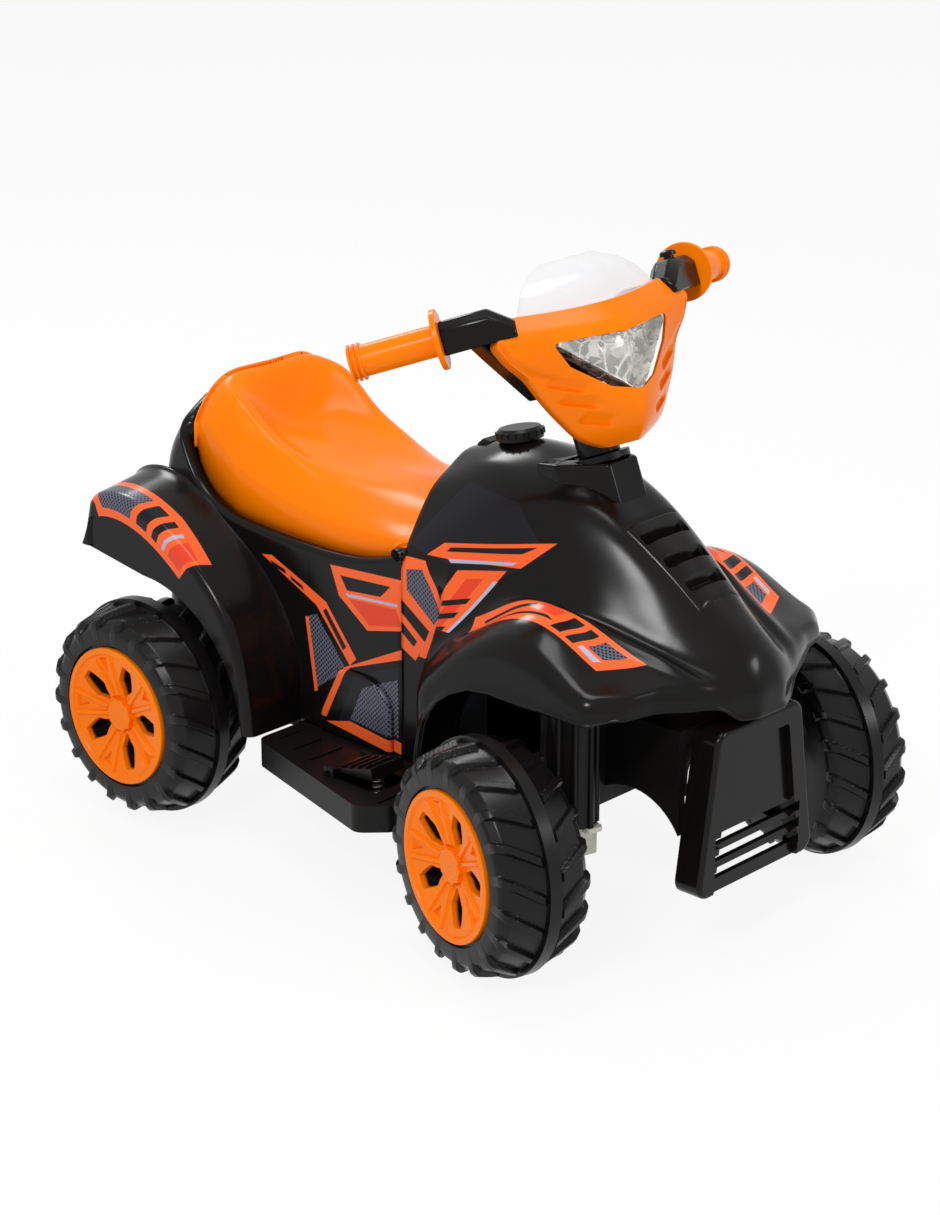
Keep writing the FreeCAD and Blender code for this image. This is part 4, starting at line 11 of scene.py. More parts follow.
import bmesh
import bpy
import numpy as np
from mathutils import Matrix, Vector


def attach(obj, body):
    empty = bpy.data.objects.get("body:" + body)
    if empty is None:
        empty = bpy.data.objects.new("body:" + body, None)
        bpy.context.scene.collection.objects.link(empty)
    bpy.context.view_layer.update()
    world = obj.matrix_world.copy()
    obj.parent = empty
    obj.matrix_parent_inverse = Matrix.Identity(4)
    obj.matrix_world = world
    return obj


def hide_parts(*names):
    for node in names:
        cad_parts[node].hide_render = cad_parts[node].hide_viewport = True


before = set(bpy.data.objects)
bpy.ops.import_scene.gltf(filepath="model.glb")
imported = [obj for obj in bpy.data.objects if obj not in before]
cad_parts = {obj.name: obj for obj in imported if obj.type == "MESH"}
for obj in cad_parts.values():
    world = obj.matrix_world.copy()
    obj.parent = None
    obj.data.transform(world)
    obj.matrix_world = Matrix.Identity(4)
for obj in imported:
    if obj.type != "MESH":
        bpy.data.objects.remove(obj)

Array = np.ndarray
Operand = Union["Value", float]
Colour = tuple[float, float, float]
Point = tuple[float, float, float]
Places = tuple[tuple[float, float], ...]
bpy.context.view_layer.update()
MM = 0.001
PER_METRE = 1000.0
FULL_TURN = 2 * math.pi
QUARTER_TURN = math.pi / 2
FRONT_HALF_TRACK = 185.0
REAR_HALF_TRACK = 157.5
log = logging.getLogger("quad")


# Shader graphs

class Value:
    """A socket of a node graph with Python arithmetic."""

    def __init__(self, graph: "Graph", socket: bpy.types.NodeSocket) -> None:
        """Keeps the graph and the socket.

        Args:
            graph: graph that new Math nodes are added to.
            socket: output socket that carries the value.
        """
        self.graph = graph
        self.socket = socket

    def _math(self, operation: str, *others: Operand, swap: bool = False) -> "Value":
        """Adds one Math node.

        Args:
            operation: Math operation.
            others: further operands.
            swap: put this value second.

        Returns:
            The node's value.
        """
        operands = [*others, self] if swap else [self, *others]
        return self.graph.node("ShaderNodeMath", {"operation": operation}, dict(enumerate(operands)))

    def __add__(self, other: Operand) -> "Value":
        """Sum."""
        return self._math("ADD", other)

    __radd__ = __add__

    def __mul__(self, other: Operand) -> "Value":
        """Product."""
        return self._math("MULTIPLY", other)

    def __sub__(self, other: Operand) -> "Value":
        """Difference."""
        return self._math("SUBTRACT", other)

    def __rsub__(self, other: float) -> "Value":
        """Difference from a number."""
        return self._math("SUBTRACT", other, swap=True)

    def __truediv__(self, other: Operand) -> "Value":
        """Quotient."""
        return self._math("DIVIDE", other)

    def __abs__(self) -> "Value":
        """Absolute value."""
        return self._math("ABSOLUTE")

    def __mod__(self, other: float) -> "Value":
        """Remainder that stays positive."""
        return self._math("FLOORED_MODULO", other)

    def least(self, other: Operand) -> "Value":
        """Smaller of the two."""
        return self._math("MINIMUM", other)

    def most(self, other: Operand) -> "Value":
        """Larger of the two."""
        return self._math("MAXIMUM", other)

    def ramp(self, low: float, high: float) -> "Value":
        """Smooth step from 0 at low to 1 at high."""
        return self.graph.node("ShaderNodeMapRange", {"interpolation_type": "SMOOTHSTEP"},
                               {"Value": self, "From Min": low, "From Max": high})


class Graph:
    """Node tree of one material, or of the world."""

    def __init__(self, name: str, world: bool = False) -> None:
        """Starts an empty tree.

        Args:
            name: name of the material or the world.
            world: whether it is the world's tree.
        """
        kind = bpy.data.worlds if world else bpy.data.materials
        self.owner = kind.new(name)
        self.owner.use_nodes = True
        self.tree = self.owner.node_tree
        self.tree.nodes.clear()
        self.output = self.tree.nodes.new("ShaderNodeOutputWorld" if world else "ShaderNodeOutputMaterial")

    def node(self, kind: str, settings: Optional[dict] = None, sockets: Optional[dict] = None,
             out: Union[str, int] = 0) -> Value:
        """Adds any node.

        Args:
            kind: node type.
            settings: attributes that are set first.
            sockets: values or links of its inputs by name or number.
            out: output that is returned.

        Returns:
            The chosen output.
        """
        new = self.tree.nodes.new(kind)
        for key, value in (settings or {}).items():
            setattr(new, key, value)
        for key, value in (sockets or {}).items():
            if isinstance(value, Value):
                self.tree.links.new(value.socket, new.inputs[key])
            else:
                new.inputs[key].default_value = value
        return Value(self, new.outputs[out])

    def place(self, source: str = "Object") -> Value:
        """Texture coordinates of the piece."""
        return self.node("ShaderNodeTexCoord", out=source)

    def axes(self, vector: Value) -> tuple[Value, Value, Value]:
        """Splits a vector into its three parts.

        Args:
            vector: vector to split.

        Returns:
            Its three parts.
        """
        first = self.node("ShaderNodeSeparateXYZ", sockets={0: vector})
        outputs = first.socket.node.outputs
        return first, Value(self, outputs[1]), Value(self, outputs[2])

    def noise(self, scale: float, detail: float, vector: Optional[Value] = None) -> Value:
        """Noise of a scale on the piece's own coordinates."""
        sockets = {"Vector": vector or self.place(), "Scale": scale, "Detail": detail}
        return self.node("ShaderNodeTexNoise", sockets=sockets)

    def mix(self, factor: Value, low: Union[Value, Colour], high: Union[Value, Colour]) -> Value:
        """Colour between low and high."""
        wide = [tone if isinstance(tone, Value) else (*tone, 1.0) for tone in (low, high)]
        return self.node("ShaderNodeMix", {"data_type": "RGBA"}, {0: factor, 6: wide[0], 7: wide[1]}, out=2)

    def bump(self, height: Value, strength: float, distance: float) -> Value:
        """Normal bent by a height."""
        sockets = {"Height": height, "Strength": strength, "Distance": distance}
        return self.node("ShaderNodeBump", sockets=sockets)

    def seen(self) -> Value:
        """One for rays from the camera, a glossy face or a clear one.

        Returns:
            The mask.
        """
        camera, glossy, clear = (self.node("ShaderNodeLightPath", out=f"Is {ray} Ray")
                                 for ray in ("Camera", "Glossy", "Transmission"))
        return camera.most(glossy).most(clear)

    def close(self, shader: Value) -> bpy.types.ID:
        """Links the last shader and gives the finished material or world."""
        self.tree.links.new(shader.socket, self.output.inputs["Surface"])
        return self.owner

    def surface(self, sockets: dict) -> bpy.types.Material:
        """Closes the graph with one Principled shader.

        Args:
            sockets: its inputs by name.

        Returns:
            The finished material.
        """
        return self.close(self.node("ShaderNodeBsdfPrincipled", sockets=sockets))


@dataclass(frozen=True)
class Moulded:
    """Moulded plastic with a faint cloud of tone, fine grain and rub marks; noises are (scale, detail)."""
    name: str
    colour: Colour
    shade: Colour
    roughness: float
    grain: float = 0.02
    grain_scale: float = 900.0
    gloss: float = 0.25
    cloud: tuple[float, float] = field(default=(9.0, 2.0), kw_only=True)
    rub: tuple[float, float] = field(default=(38.0, 6.0), kw_only=True)
    rub_depth: float = field(default=0.10, kw_only=True)
    tone: tuple[float, float] = field(default=(0.3, 0.7), kw_only=True)
    grain_detail: float = field(default=2.0, kw_only=True)
    grain_height: float = field(default=0.0006, kw_only=True)

    def sockets(self, graph: Graph) -> dict:
        """Shader inputs: cloud tone, soft rub marks in the gloss and a fine grain in the bump.

        Args:
            graph: graph of the material.

        Returns:
            Inputs of the Principled shader by name.
        """
        grain = graph.noise(self.grain_scale, self.grain_detail)
        return {
            "Base Color": graph.mix(graph.noise(*self.cloud).ramp(*self.tone), self.shade, self.colour),
            "Roughness": self.roughness + (graph.noise(*self.rub) - 0.5) * self.rub_depth,
            "Normal": graph.bump(grain, self.grain, self.grain_height),
            "Specular IOR Level": self.gloss,
        }

    def material(self) -> bpy.types.Material:
        """Builds the material."""
        graph = Graph(self.name)
        return graph.surface(self.sockets(graph))


class Plane(Enum):
    """Plane that a printed patch is drawn in: its coordinates, two axes, then the one that is left."""
    SIDE = ("Object", 0, 2, 1)
    TOP = ("Object", 0, 1, 2)
    OWN = ("UV", 0, 1, 2)


class Ink(Enum):
    """Inks of the film."""
    ORANGE = (0.95, 0.135, 0.030)
    RED = (0.80, 0.060, 0.020)
    DARK = (0.010, 0.009, 0.012)
    PALE = (0.46, 0.46, 0.60)
    MESH = (0.12, 0.12, 0.17)


@dataclass(frozen=True)
class Patch:
    """One straight-sided patch of ink: corners in mm in its plane, and its range on the third axis."""
    plane: Plane
    depth: tuple[float, float]
    ink: Ink
    corners: Places
    blur: float = 0.15

    def mask(self, axes: Sequence[Value]) -> Value:
        """One inside the patch: the least distance from its sides, and inside its depth.

        Args:
            axes: coordinates in millimetres.

        Returns:
            The mask.
        """
        across, along, rest = (axes[number] for number in self.plane.value[1:])
        points = np.array(self.corners)
        if np.cross(points[1] - points[0], points[2] - points[1]) < 0:
            points = points[::-1]
        inside = (rest - self.depth[0]).least(self.depth[1] - rest)
        for start, end in zip(points, np.roll(points, -1, axis=0)):
            run = (end - start) / np.linalg.norm(end - start)
            offset = float(start[0] * run[1] - start[1] * run[0])
            inside = inside.least(along * float(run[0]) - across * float(run[1]) + offset)
        return inside.ramp(-self.blur, self.blur)


def film(plane: Plane, depth: tuple[float, float], *rows: tuple[Ink, Places]) -> tuple[Patch, ...]:
    """Patches of one film, which share a plane and a depth.

    Args:
        plane: plane that they are drawn in.
        depth: their range on the third axis.
        rows: ink and corners of each, from the lowest up.

    Returns:
        The patches.
    """
    return tuple(Patch(plane, depth, *row) for row in rows)


@dataclass(frozen=True)
class Printed(Moulded):
    """Moulded plastic with a printed film on it; the film's patches lie over one another in order."""
    patches: tuple[Patch, ...] = ()
    weave: float = 4.4
    hole: tuple[float, float] = (0.08, 0.13)

    def mesh(self, graph: Graph, across: Value, along: Value) -> Value:
        """Mesh ink: rows of round dark holes on a slanted lattice."""
        first, second = ((turned / self.weave) % 1.0 - 0.5 for turned in (across + along, across - along))
        return graph.mix((first * first + second * second).ramp(*self.hole), Ink.DARK.value, Ink.MESH.value)

    def material(self) -> bpy.types.Material:
        """Builds the material: plain plastic, then each patch in its ink.

        Returns:
            The finished material.
        """
        graph = Graph(self.name)
        sockets = self.sockets(graph)
        maps: dict[Plane, tuple[Value, ...]] = {}
        for patch in self.patches:
            source, across, along, _ = patch.plane.value
            if patch.plane not in maps:
                x, y, z = (part * PER_METRE for part in graph.axes(graph.place(source)))
                maps[patch.plane] = (x, abs(y), z)
            axes = maps[patch.plane]
            ink = self.mesh(graph, axes[across], axes[along]) if patch.ink is Ink.MESH else patch.ink.value
            sockets["Base Color"] = graph.mix(patch.mask(axes), sockets["Base Color"], ink)
        return graph.surface(sockets)


@dataclass(frozen=True)
class WindowShaded(Moulded):
    """Moulded plastic with painted shade: its colour goes to black down deep windows, for the shade in them
    and the dark hub behind; their depth share is the second texture place.
    """
    window_shade_depth: tuple[float, float] = (0.2, 0.4)

    def material(self) -> bpy.types.Material:
        """Builds the material: the plastic, with painted shade that turns the windows black with depth.

        Returns:
            The finished material.
        """
        graph = Graph(self.name)
        sockets = self.sockets(graph)
        depth = graph.axes(graph.place("UV"))[1]
        # painted shade: the colour darkens to black with the windows' depth
        sockets["Base Color"] = graph.mix(depth.ramp(*self.window_shade_depth), sockets["Base Color"], Ink.DARK.value)
        return graph.surface(sockets)


@dataclass(frozen=True)
class Clear:
    """Clear moulded plastic."""
    name: str
    tint: Colour
    alpha: float
    roughness: float = 0.05
    haze: float = 0.05
    haze_noise: tuple[float, float] = (30.0, 4.0)
    index: float = 1.45

    def material(self) -> bpy.types.Material:
        """Builds the material: thin see-through sheet whose gloss stays.

        Returns:
            The finished material.
        """
        graph = Graph(self.name)
        haze = (graph.noise(*self.haze_noise) - 0.5) * self.haze
        material = graph.surface({"Base Color": (*self.tint, 1.0), "Roughness": self.roughness + haze,
                                  "Alpha": self.alpha + haze, "IOR": self.index})
        material.surface_render_method = "BLENDED"
        return material


@dataclass(frozen=True)
class Metal:
    """Bare or plated metal with fine drawn lines."""
    name: str
    colour: Colour
    roughness: float
    lines: float = 400.0
    line_detail: float = 3.0
    line_stretch: Point = (1.0, 0.05, 1.0)
    line_gloss: float = 0.2
    line_bump: tuple[float, float] = (0.05, 0.0004)
    stain: float = 0.75
    stain_noise: tuple[float, float] = (14.0, 4.0)
    stain_edge: tuple[float, float] = (0.35, 0.7)

    def material(self) -> bpy.types.Material:
        """Builds the material: stretched noise in gloss and bump.

        Returns:
            The finished material.
        """
        graph = Graph(self.name)
        sockets = {"Vector": graph.place(), "Scale": self.line_stretch}
        lines = graph.noise(self.lines, self.line_detail, graph.node("ShaderNodeMapping", sockets=sockets))
        dark = tuple(part * self.stain for part in self.colour)
        bare = graph.noise(*self.stain_noise).ramp(*self.stain_edge)
        return graph.surface({
            "Base Color": graph.mix(bare, dark, self.colour),
            "Metallic": 1.0,
            "Roughness": self.roughness + (lines - 0.5) * self.line_gloss,
            "Normal": graph.bump(lines, *self.line_bump),
        })


@dataclass(frozen=True)
class Faceted:
    """Bright plated tray pressed into small facets, with ribs that run together towards the middle; its
    reflections and the glints on its ribs are painted into the colour.
    """
    name: str
    lit_facet: Colour
    dark: Colour
    # rib colour: painted glint on the ribs
    rib: Colour = (0.90, 0.90, 0.86)
    cells: float = 150.0
    rib_cells: float = 50.0
    rib_edge: tuple[float, float] = (0.015, 0.05)
    tones: tuple[float, float] = (0.15, 0.85)
    metal: float = 0.75
    roughness: tuple[float, float] = (0.14, 0.2)
    tilt: tuple[float, float] = (0.5, 0.0015)

    def material(self) -> bpy.types.Material:
        """Builds the material: each Voronoi cell has its own tilt, roughness and a painted reflection tone
        between lit and dark, with thin pale ribs over them as painted glints.

        Returns:
            The finished material.
        """
        graph = Graph(self.name)
        place = graph.place()
        cell = graph.node("ShaderNodeTexVoronoi", sockets={"Vector": place, "Scale": self.cells}, out="Color")
        tone = graph.axes(cell)[0]
        edge = graph.node("ShaderNodeTexVoronoi", {"feature": "DISTANCE_TO_EDGE"},
                          {"Vector": place, "Scale": self.rib_cells})
        rib = 1.0 - edge.ramp(*self.rib_edge)
        # painted reflections: each facet lit or dark, then pale painted glints on the ribs
        shine = graph.mix(tone.ramp(*self.tones), self.dark, self.lit_facet)
        least, swing = self.roughness
        return graph.surface({
            "Base Color": graph.mix(rib, shine, self.rib),
            "Metallic": self.metal,
            "Roughness": least + tone * swing,
            "Normal": graph.bump(tone + rib, *self.tilt),
        })


TANK_FILM = film(
    Plane.SIDE, (38, 116),
    (Ink.DARK, ((22, 300), (120, 290), (160, 318), (120, 352), (60, 356))),
    (Ink.ORANGE, ((46, 297), (62, 310), (166, 328), (140, 304))),
    (Ink.DARK, ((66, 304), (70, 308), (150, 322), (138, 315))),
    (Ink.PALE, ((70, 299), (136, 308), (132, 305), (74, 296.5))),
    (Ink.ORANGE, ((40, 205), (66, 205), (128, 300), (82, 292))),
    (Ink.RED, ((54, 214), (62, 214), (108, 290), (92, 287))),
    (Ink.DARK, ((74, 262), (98, 268), (101, 273), (76, 267))),
    (Ink.DARK, ((67, 250), (91, 256), (94, 261), (70, 255))),
    (Ink.DARK, ((61, 238), (84, 244), (87, 249), (63, 243))),
    (Ink.PALE, ((66, 208), (69, 208), (122, 290), (118, 290))),
    (Ink.ORANGE, ((19, 290), (46, 292), (78, 250), (60, 226), (19, 252))),
    (Ink.MESH, ((26, 280), (44, 284), (68, 250), (58, 238), (26, 262))),
    (Ink.ORANGE, ((19, 240), (48, 219), (36, 200), (19, 208))),
    (Ink.DARK, ((19, 232), (38, 218), (34, 212), (19, 222))),
)
FENDER_FILM = film(
    Plane.TOP, (228, 300),
    (Ink.ORANGE, ((112, 104), (160, 96), (164, 121), (118, 120))),
    (Ink.ORANGE, ((160, 96), (215, 89), (208, 121), (164, 121))),
    (Ink.ORANGE, ((215, 89), (276, 79), (256, 117), (208, 121))),
    (Ink.DARK, ((126, 107), (176, 99), (180, 102), (128, 110))),
    (Ink.DARK, ((134, 114), (196, 108), (204, 111), (136, 117))),
    (Ink.RED, ((182, 98), (206, 95), (200, 105), (184, 106))),
    (Ink.DARK, ((212, 94), (222, 92), (216, 116), (206, 117))),
    (Ink.DARK, ((227, 91), (235, 89.5), (229, 115), (221, 116))),
    (Ink.MESH, ((241, 89), (262, 85), (252, 104), (237, 106))),
    (Ink.PALE, ((234, 109), (252, 107), (249, 113), (233, 113.5))),
)
FLANK_FILM = film(
    Plane.SIDE, (70, 125),
    (Ink.ORANGE, ((-150, 252), (-138, 254), (-72, 226), (-84, 220))),
    (Ink.DARK, ((-140, 249), (-122, 244), (-120, 240), (-136, 244))),
    (Ink.DARK, ((-116, 240), (-101, 234), (-99, 230), (-114, 236))),
    (Ink.ORANGE, ((-84, 220), (-72, 226), (-36, 182), (-44, 174))),
    (Ink.DARK, ((-76, 217), (-72, 220), (-48, 190), (-52, 186))),
    (Ink.MESH, ((-98, 206), (-84, 212), (-48, 168), (-88, 140))),
    (Ink.ORANGE, ((-98, 206), (-94, 207), (-84, 140), (-88, 138))),
    (Ink.ORANGE, ((-66, 262), (19, 268), (19, 222), (-22, 212), (-56, 236))),
    (Ink.DARK, ((-54, 255), (6, 259), (-6, 247), (-46, 243))),
    (Ink.RED, ((-44, 236), (12, 240), (19, 226), (-20, 217))),
    (Ink.PALE, ((-48, 240), (14, 245), (14, 242.5), (-45, 237.5))),
    (Ink.ORANGE, ((-78, 120), (-70, 120), (-44, 172), (-52, 170))),
    (Ink.ORANGE, ((-52, 170), (-44, 172), (19, 196), (19, 205))),
    (Ink.DARK, ((-56, 118), (19, 112), (19, 190), (-34, 168))),
    (Ink.MESH, ((-40, 126), (14, 122), (14, 176), (-24, 160))),
    (Ink.ORANGE, ((-70, 116), (19, 107), (19, 118), (-40, 124))),
)
TAIL_FILM = film(
    Plane.OWN, (-1, 1000),
    (Ink.ORANGE, ((36, 44), (60, 38), (150, 40), (205, 48), (188, 88), (60, 84))),
    (Ink.MESH, ((50, 50), (62, 46), (118, 46), (108, 78), (66, 76))),
    (Ink.DARK, ((126, 47), (142, 48), (132, 79), (117, 78))),
    (Ink.DARK, ((150, 49), (158, 50), (148, 80), (140, 79))),
    (Ink.PALE, ((166, 52), (170, 53), (160, 80), (156, 80))),
    (Ink.RED, ((176, 54), (196, 57), (186, 82), (166, 80))),
)
BLACK_GLOSS = ((0.0062, 0.0051, 0.0046), (0.0046, 0.0039, 0.0036), 0.19, 0.012, 1400.0, 0.17)
ORANGE_TONES = ((1.0, 0.215, 0.0), (0.95, 0.190, 0.0))


class Finish(Enum):
    """Finishes of the toy."""
    BODY = Moulded("body_black_gloss", *BLACK_GLOSS)
    COWL = Printed("cowl_black_printed", *BLACK_GLOSS, TANK_FILM + FENDER_FILM)
    FLANK = Printed("flank_black_printed", *BLACK_GLOSS, FLANK_FILM)
    TAIL = Printed("tail_black_printed", *BLACK_GLOSS, TAIL_FILM)
    FRAME = Moulded("frame_black_satin", (0.0070, 0.0060, 0.0056), (0.0050, 0.0044, 0.0042),
                    0.34, 0.05, 900.0, 0.18)
    TYRE = Moulded("tyre_black_satin", (0.0066, 0.0058, 0.0056), (0.0048, 0.0042, 0.0042),
                   0.30, 0.04, 700.0, 0.22)
    ORANGE = Moulded("orange_gloss", *ORANGE_TONES, 0.24, 0.01, 1200.0, 0.12)
    # orange cover with painted shade in its windows
    COVER = WindowShaded("cover_orange", *ORANGE_TONES, 0.28, 0.02, 1000.0, 0.12)
    NYLON = Moulded("nylon_white", (0.76, 0.74, 0.70), (0.70, 0.68, 0.63), 0.45, 0.03, 800.0, 0.4)
    GEAR = Moulded("gear_ivory", (0.78, 0.76, 0.68), (0.70, 0.68, 0.60), 0.42, 0.03, 800.0, 0.4)
    BATTERY = Moulded("battery_grey", (0.11, 0.12, 0.14), (0.08, 0.09, 0.10), 0.5, 0.05, 600.0, 0.4)
    LENS = Clear("lens_clear", (0.90, 0.90, 0.84), 0.14)
    SCREEN = Clear("screen_clear", (0.80, 0.79, 0.81), 0.40)
    # reflector whose facet reflections and rib glints are painted in its colour
    MIRROR = Faceted("reflector_silver", (0.80, 0.80, 0.75), (0.20, 0.20, 0.18))
    STEEL = Metal("steel_plated", (0.55, 0.55, 0.56), 0.32)
    BRASS = Metal("brass_turned", (0.78, 0.57, 0.24), 0.3)


class Palette:
    """Materials made once and shared."""
    made: dict[str, bpy.types.Material] = {}

    @classmethod
    def get(cls, finish: Finish) -> bpy.types.Material:
        """Material of a finish.

        Args:
            finish: finish wanted.

        Returns:
            The shared material.
        """
        if finish.name not in cls.made:
            cls.made[finish.name] = finish.value.material()
        return cls.made[finish.name]


@dataclass
class Camera:
    """Camera at the photograph's viewing angle."""
    azimuth: float = 43.51
    elevation: float = 20.44
    distance: float = 2627.67
    target: tuple[float, float, float] = (7.16, 0.0, 214.5)
    focal_pixels: float = 3000.0
    image: tuple[int, int] = (940, 1215)
    sensor: float = 24.0
    clip: tuple[float, float] = (0.05, 50.0)

    def build(self) -> None:
        """Places the camera along its back vector, looking at the target."""
        turn, lift = math.radians(self.azimuth), math.radians(self.elevation)
        back = Vector((math.sin(turn) * math.cos(lift), -math.cos(turn) * math.cos(lift), math.sin(lift)))
        data = bpy.data.cameras.new("view")
        data.sensor_fit = "VERTICAL"
        data.sensor_height = self.sensor
        data.lens = self.focal_pixels / self.image[1] * self.sensor
        data.clip_start, data.clip_end = self.clip
        camera = bpy.data.objects.new("view", data)
        camera.location = (Vector(self.target) + back * self.distance) * MM
        camera.rotation_euler = back.to_track_quat("Z", "Y").to_euler()
        bpy.context.scene.collection.objects.link(camera)
        bpy.context.scene.camera = camera


@dataclass
class Lamp:
    """One soft area lamp, aimed at the toy."""
    name: str
    place: tuple[float, float, float]
    size: float
    power: float
    target: Point = (0.0, 0.0, 0.25)

    def build(self) -> None:
        """Adds the lamp."""
        data = bpy.data.lights.new(self.name, "AREA")
        data.size = self.size
        data.energy = self.power
        lamp = bpy.data.objects.new(self.name, data)
        lamp.location = self.place
        aim = Vector(self.target) - lamp.location
        lamp.rotation_euler = aim.to_track_quat("-Z", "Y").to_euler()
        bpy.context.scene.collection.objects.link(lamp)


@dataclass
class Studio:
    """White floor and background with soft lamps."""
    floor_size: float = 12.0
    floor_tone: float = 0.86
    floor_glow: float = 0.9
    world: float = 0.55
    lamps: tuple[Lamp, ...] = (
        Lamp("key", (1.0, -2.4, 2.5), 0.6, 42.0),
        Lamp("fill", (2.6, 1.2, 1.7), 0.7, 20.0),
        Lamp("rim", (-2.2, 0.9, 2.3), 0.7, 22.0),
        Lamp("top", (0.1, -0.3, 3.2), 1.0, 28.0),
    )

    def floor(self) -> None:
        """Adds the floor, which the camera sees white and the toy's shadows fall on."""
        corners = np.array([(-1, -1, 0), (1, -1, 0), (1, 1, 0), (-1, 1, 0)], float) * self.floor_size
        mesh = bpy.data.meshes.new("floor")
        mesh.from_pydata(corners.tolist(), [], [(0, 1, 2, 3)])
        floor = bpy.data.objects.new("floor", mesh)
        bpy.context.scene.collection.objects.link(floor)
        graph = Graph("floor_white")
        diffuse = graph.node("ShaderNodeBsdfDiffuse", sockets={"Color": (*[self.floor_tone] * 3, 1.0)})
        bright = graph.node("ShaderNodeEmission", sockets={"Color": (1.0, 1.0, 1.0, 1.0), "Strength": 1.0})
        sockets = {0: graph.seen() * self.floor_glow, 1: diffuse, 2: bright}
        mesh.materials.append(graph.close(graph.node("ShaderNodeMixShader", sockets=sockets)))

    def build(self) -> None:
        """Adds floor, world and lamps."""
        self.floor()
        graph = Graph("studio", world=True)
        soft = graph.node("ShaderNodeBackground", sockets={"Strength": self.world})
        white = graph.node("ShaderNodeBackground")
        shown = graph.node("ShaderNodeMixShader", sockets={0: graph.seen(), 1: soft, 2: white})
        bpy.context.scene.world = graph.close(shown)
        for lamp in self.lamps:
            lamp.build()
        bpy.context.scene.view_settings.view_transform = "Standard"


# Surfaces: the longest share of a side that an arc takes, a tiny distance, and the reach of a merge in metres

LONGEST_TRIM = 0.45
TINY = 1e-6
MERGE = 2e-5


def bends(knots: Array, values: Array) -> Array:
    """Second derivatives of the natural cubic through knots: the tridiagonal system h*M = change of slope.

    Args:
        knots: places of the values.
        values: one row per knot.

    Returns:
        One row of bends per knot.
    """
    step = np.diff(knots)
    size = len(knots)
    inner = np.arange(1, size - 1)
    system = np.eye(size)
    system[inner, inner - 1] = step[:-1] / 6
    system[inner, inner] = (step[:-1] + step[1:]) / 3
    system[inner, inner + 1] = step[1:] / 6
    right = np.zeros_like(values)
    right[1:-1] = np.diff((np.diff(values.T) / step).T, axis=0)
    return np.linalg.solve(system, right)


def cubic(at: Array, knots: Sequence[float], values: Array) -> Array:
    """Natural cubic spline, on each stretch the cubic with the bends at its two ends.

    Args:
        at: places to read, P of them.
        knots: places of the given values.
        values: one row per knot; a single column, or P columns that are read at their own place.

    Returns:
        P values.
    """
    knots = np.asarray(knots, float)
    values = np.asarray(values, float)
    bend = bends(knots, values)
    low = np.clip(np.searchsorted(knots, at) - 1, 0, len(knots) - 2)
    step = knots[low + 1] - knots[low]
    right = (at - knots[low]) / step
    left = 1 - right
    own = () if values.ndim == 1 else (np.arange(len(at)),)
    near, far = (low, *own), (low + 1, *own)
    curve = ((left ** 3 - left) * bend[near] + (right ** 3 - right) * bend[far]) * step ** 2 / 6
    return left * values[near] + right * values[far] + curve


def bicubic(x: Array, y: Array, stations: Array, widths: Array, table: Array) -> Array:
    """Height over a table mirrored about y = 0: a cubic across for each station, then one along them.

    Args:
        x: places along.
        y: places across.
        stations: rows of the table, rising.
        widths: columns of the table, from 0.
        table: heights.

    Returns:
        Heights in the shape of x.
    """
    flat_x, flat_y = np.ravel(x), np.abs(np.ravel(y))
    across = np.concatenate([-widths[:0:-1], widths])
    mirrored = np.concatenate([table[:, :0:-1], table], axis=1)
    rows = np.stack([cubic(flat_y, across, row) for row in mirrored])
    return cubic(flat_x, stations, rows).reshape(np.shape(x))


def spread(count: int, start: float = 0.0, end: float = 1.0) -> Array:
    """Even steps from start to end."""
    return np.linspace(start, end, count)


def step(value: Array, low: float, high: float) -> Array:
    """Smooth step from 0 at low to 1 at high."""
    part = np.clip((value - low) / (high - low), 0, 1)
    return part * part * (3 - 2 * part)


ROLL = spread(9)[1:] * QUARTER_TURN


def quarter(share: Array) -> Array:
    """Height of a quarter circle that rises from 0 at share 0 to 1 at share 1."""
    return np.sqrt(np.clip(1 - (1 - share) ** 2, 0, 1))


def travel(path: Array) -> Array:
    """Length along a path up to each of its points."""
    return np.concatenate([[0.0], np.cumsum(np.linalg.norm(np.diff(path, axis=0), axis=1))])


def rounded_path(corners: Array, radius: float, closed: bool = True, arc: int = 7, run: int = 8) -> Array:
    """Outline through corners with arcs of one radius, the same count of points on each arc and run.

    Args:
        corners: K by 2 places.
        radius: wanted radius; short sides reduce it.
        closed: whether the last corner joins the first.
        arc: points on an arc.
        run: points on a straight run.

    Returns:
        Points of the outline.
    """
    back = np.roll(corners, 1, 0) - corners
    ahead = np.roll(corners, -1, 0) - corners
    back_length = np.linalg.norm(back, axis=1)
    ahead_length = np.linalg.norm(ahead, axis=1)
    back /= back_length[:, None]
    ahead /= ahead_length[:, None]
    half = np.arccos(np.clip((back * ahead).sum(1), -1, 1)) / 2
    trim = np.minimum(radius / np.tan(half), LONGEST_TRIM * np.minimum(back_length, ahead_length))
    if not closed:
        trim[[0, -1]] = TINY
    weight = spread(arc)[None, :, None]
    start, end = corners + back * trim[:, None], corners + ahead * trim[:, None]
    bow = ((1 - weight) ** 2 * start[:, None] + 2 * weight * (1 - weight) * corners[:, None]
           + weight ** 2 * end[:, None])
    along = spread(run + 2)[None, 1:-1, None]
    runs = end[:, None] * (1 - along) + np.roll(start, -1, 0)[:, None] * along
    path = np.concatenate([bow, runs], axis=1).reshape(-1, 2)
    return path if closed else path[: -run]


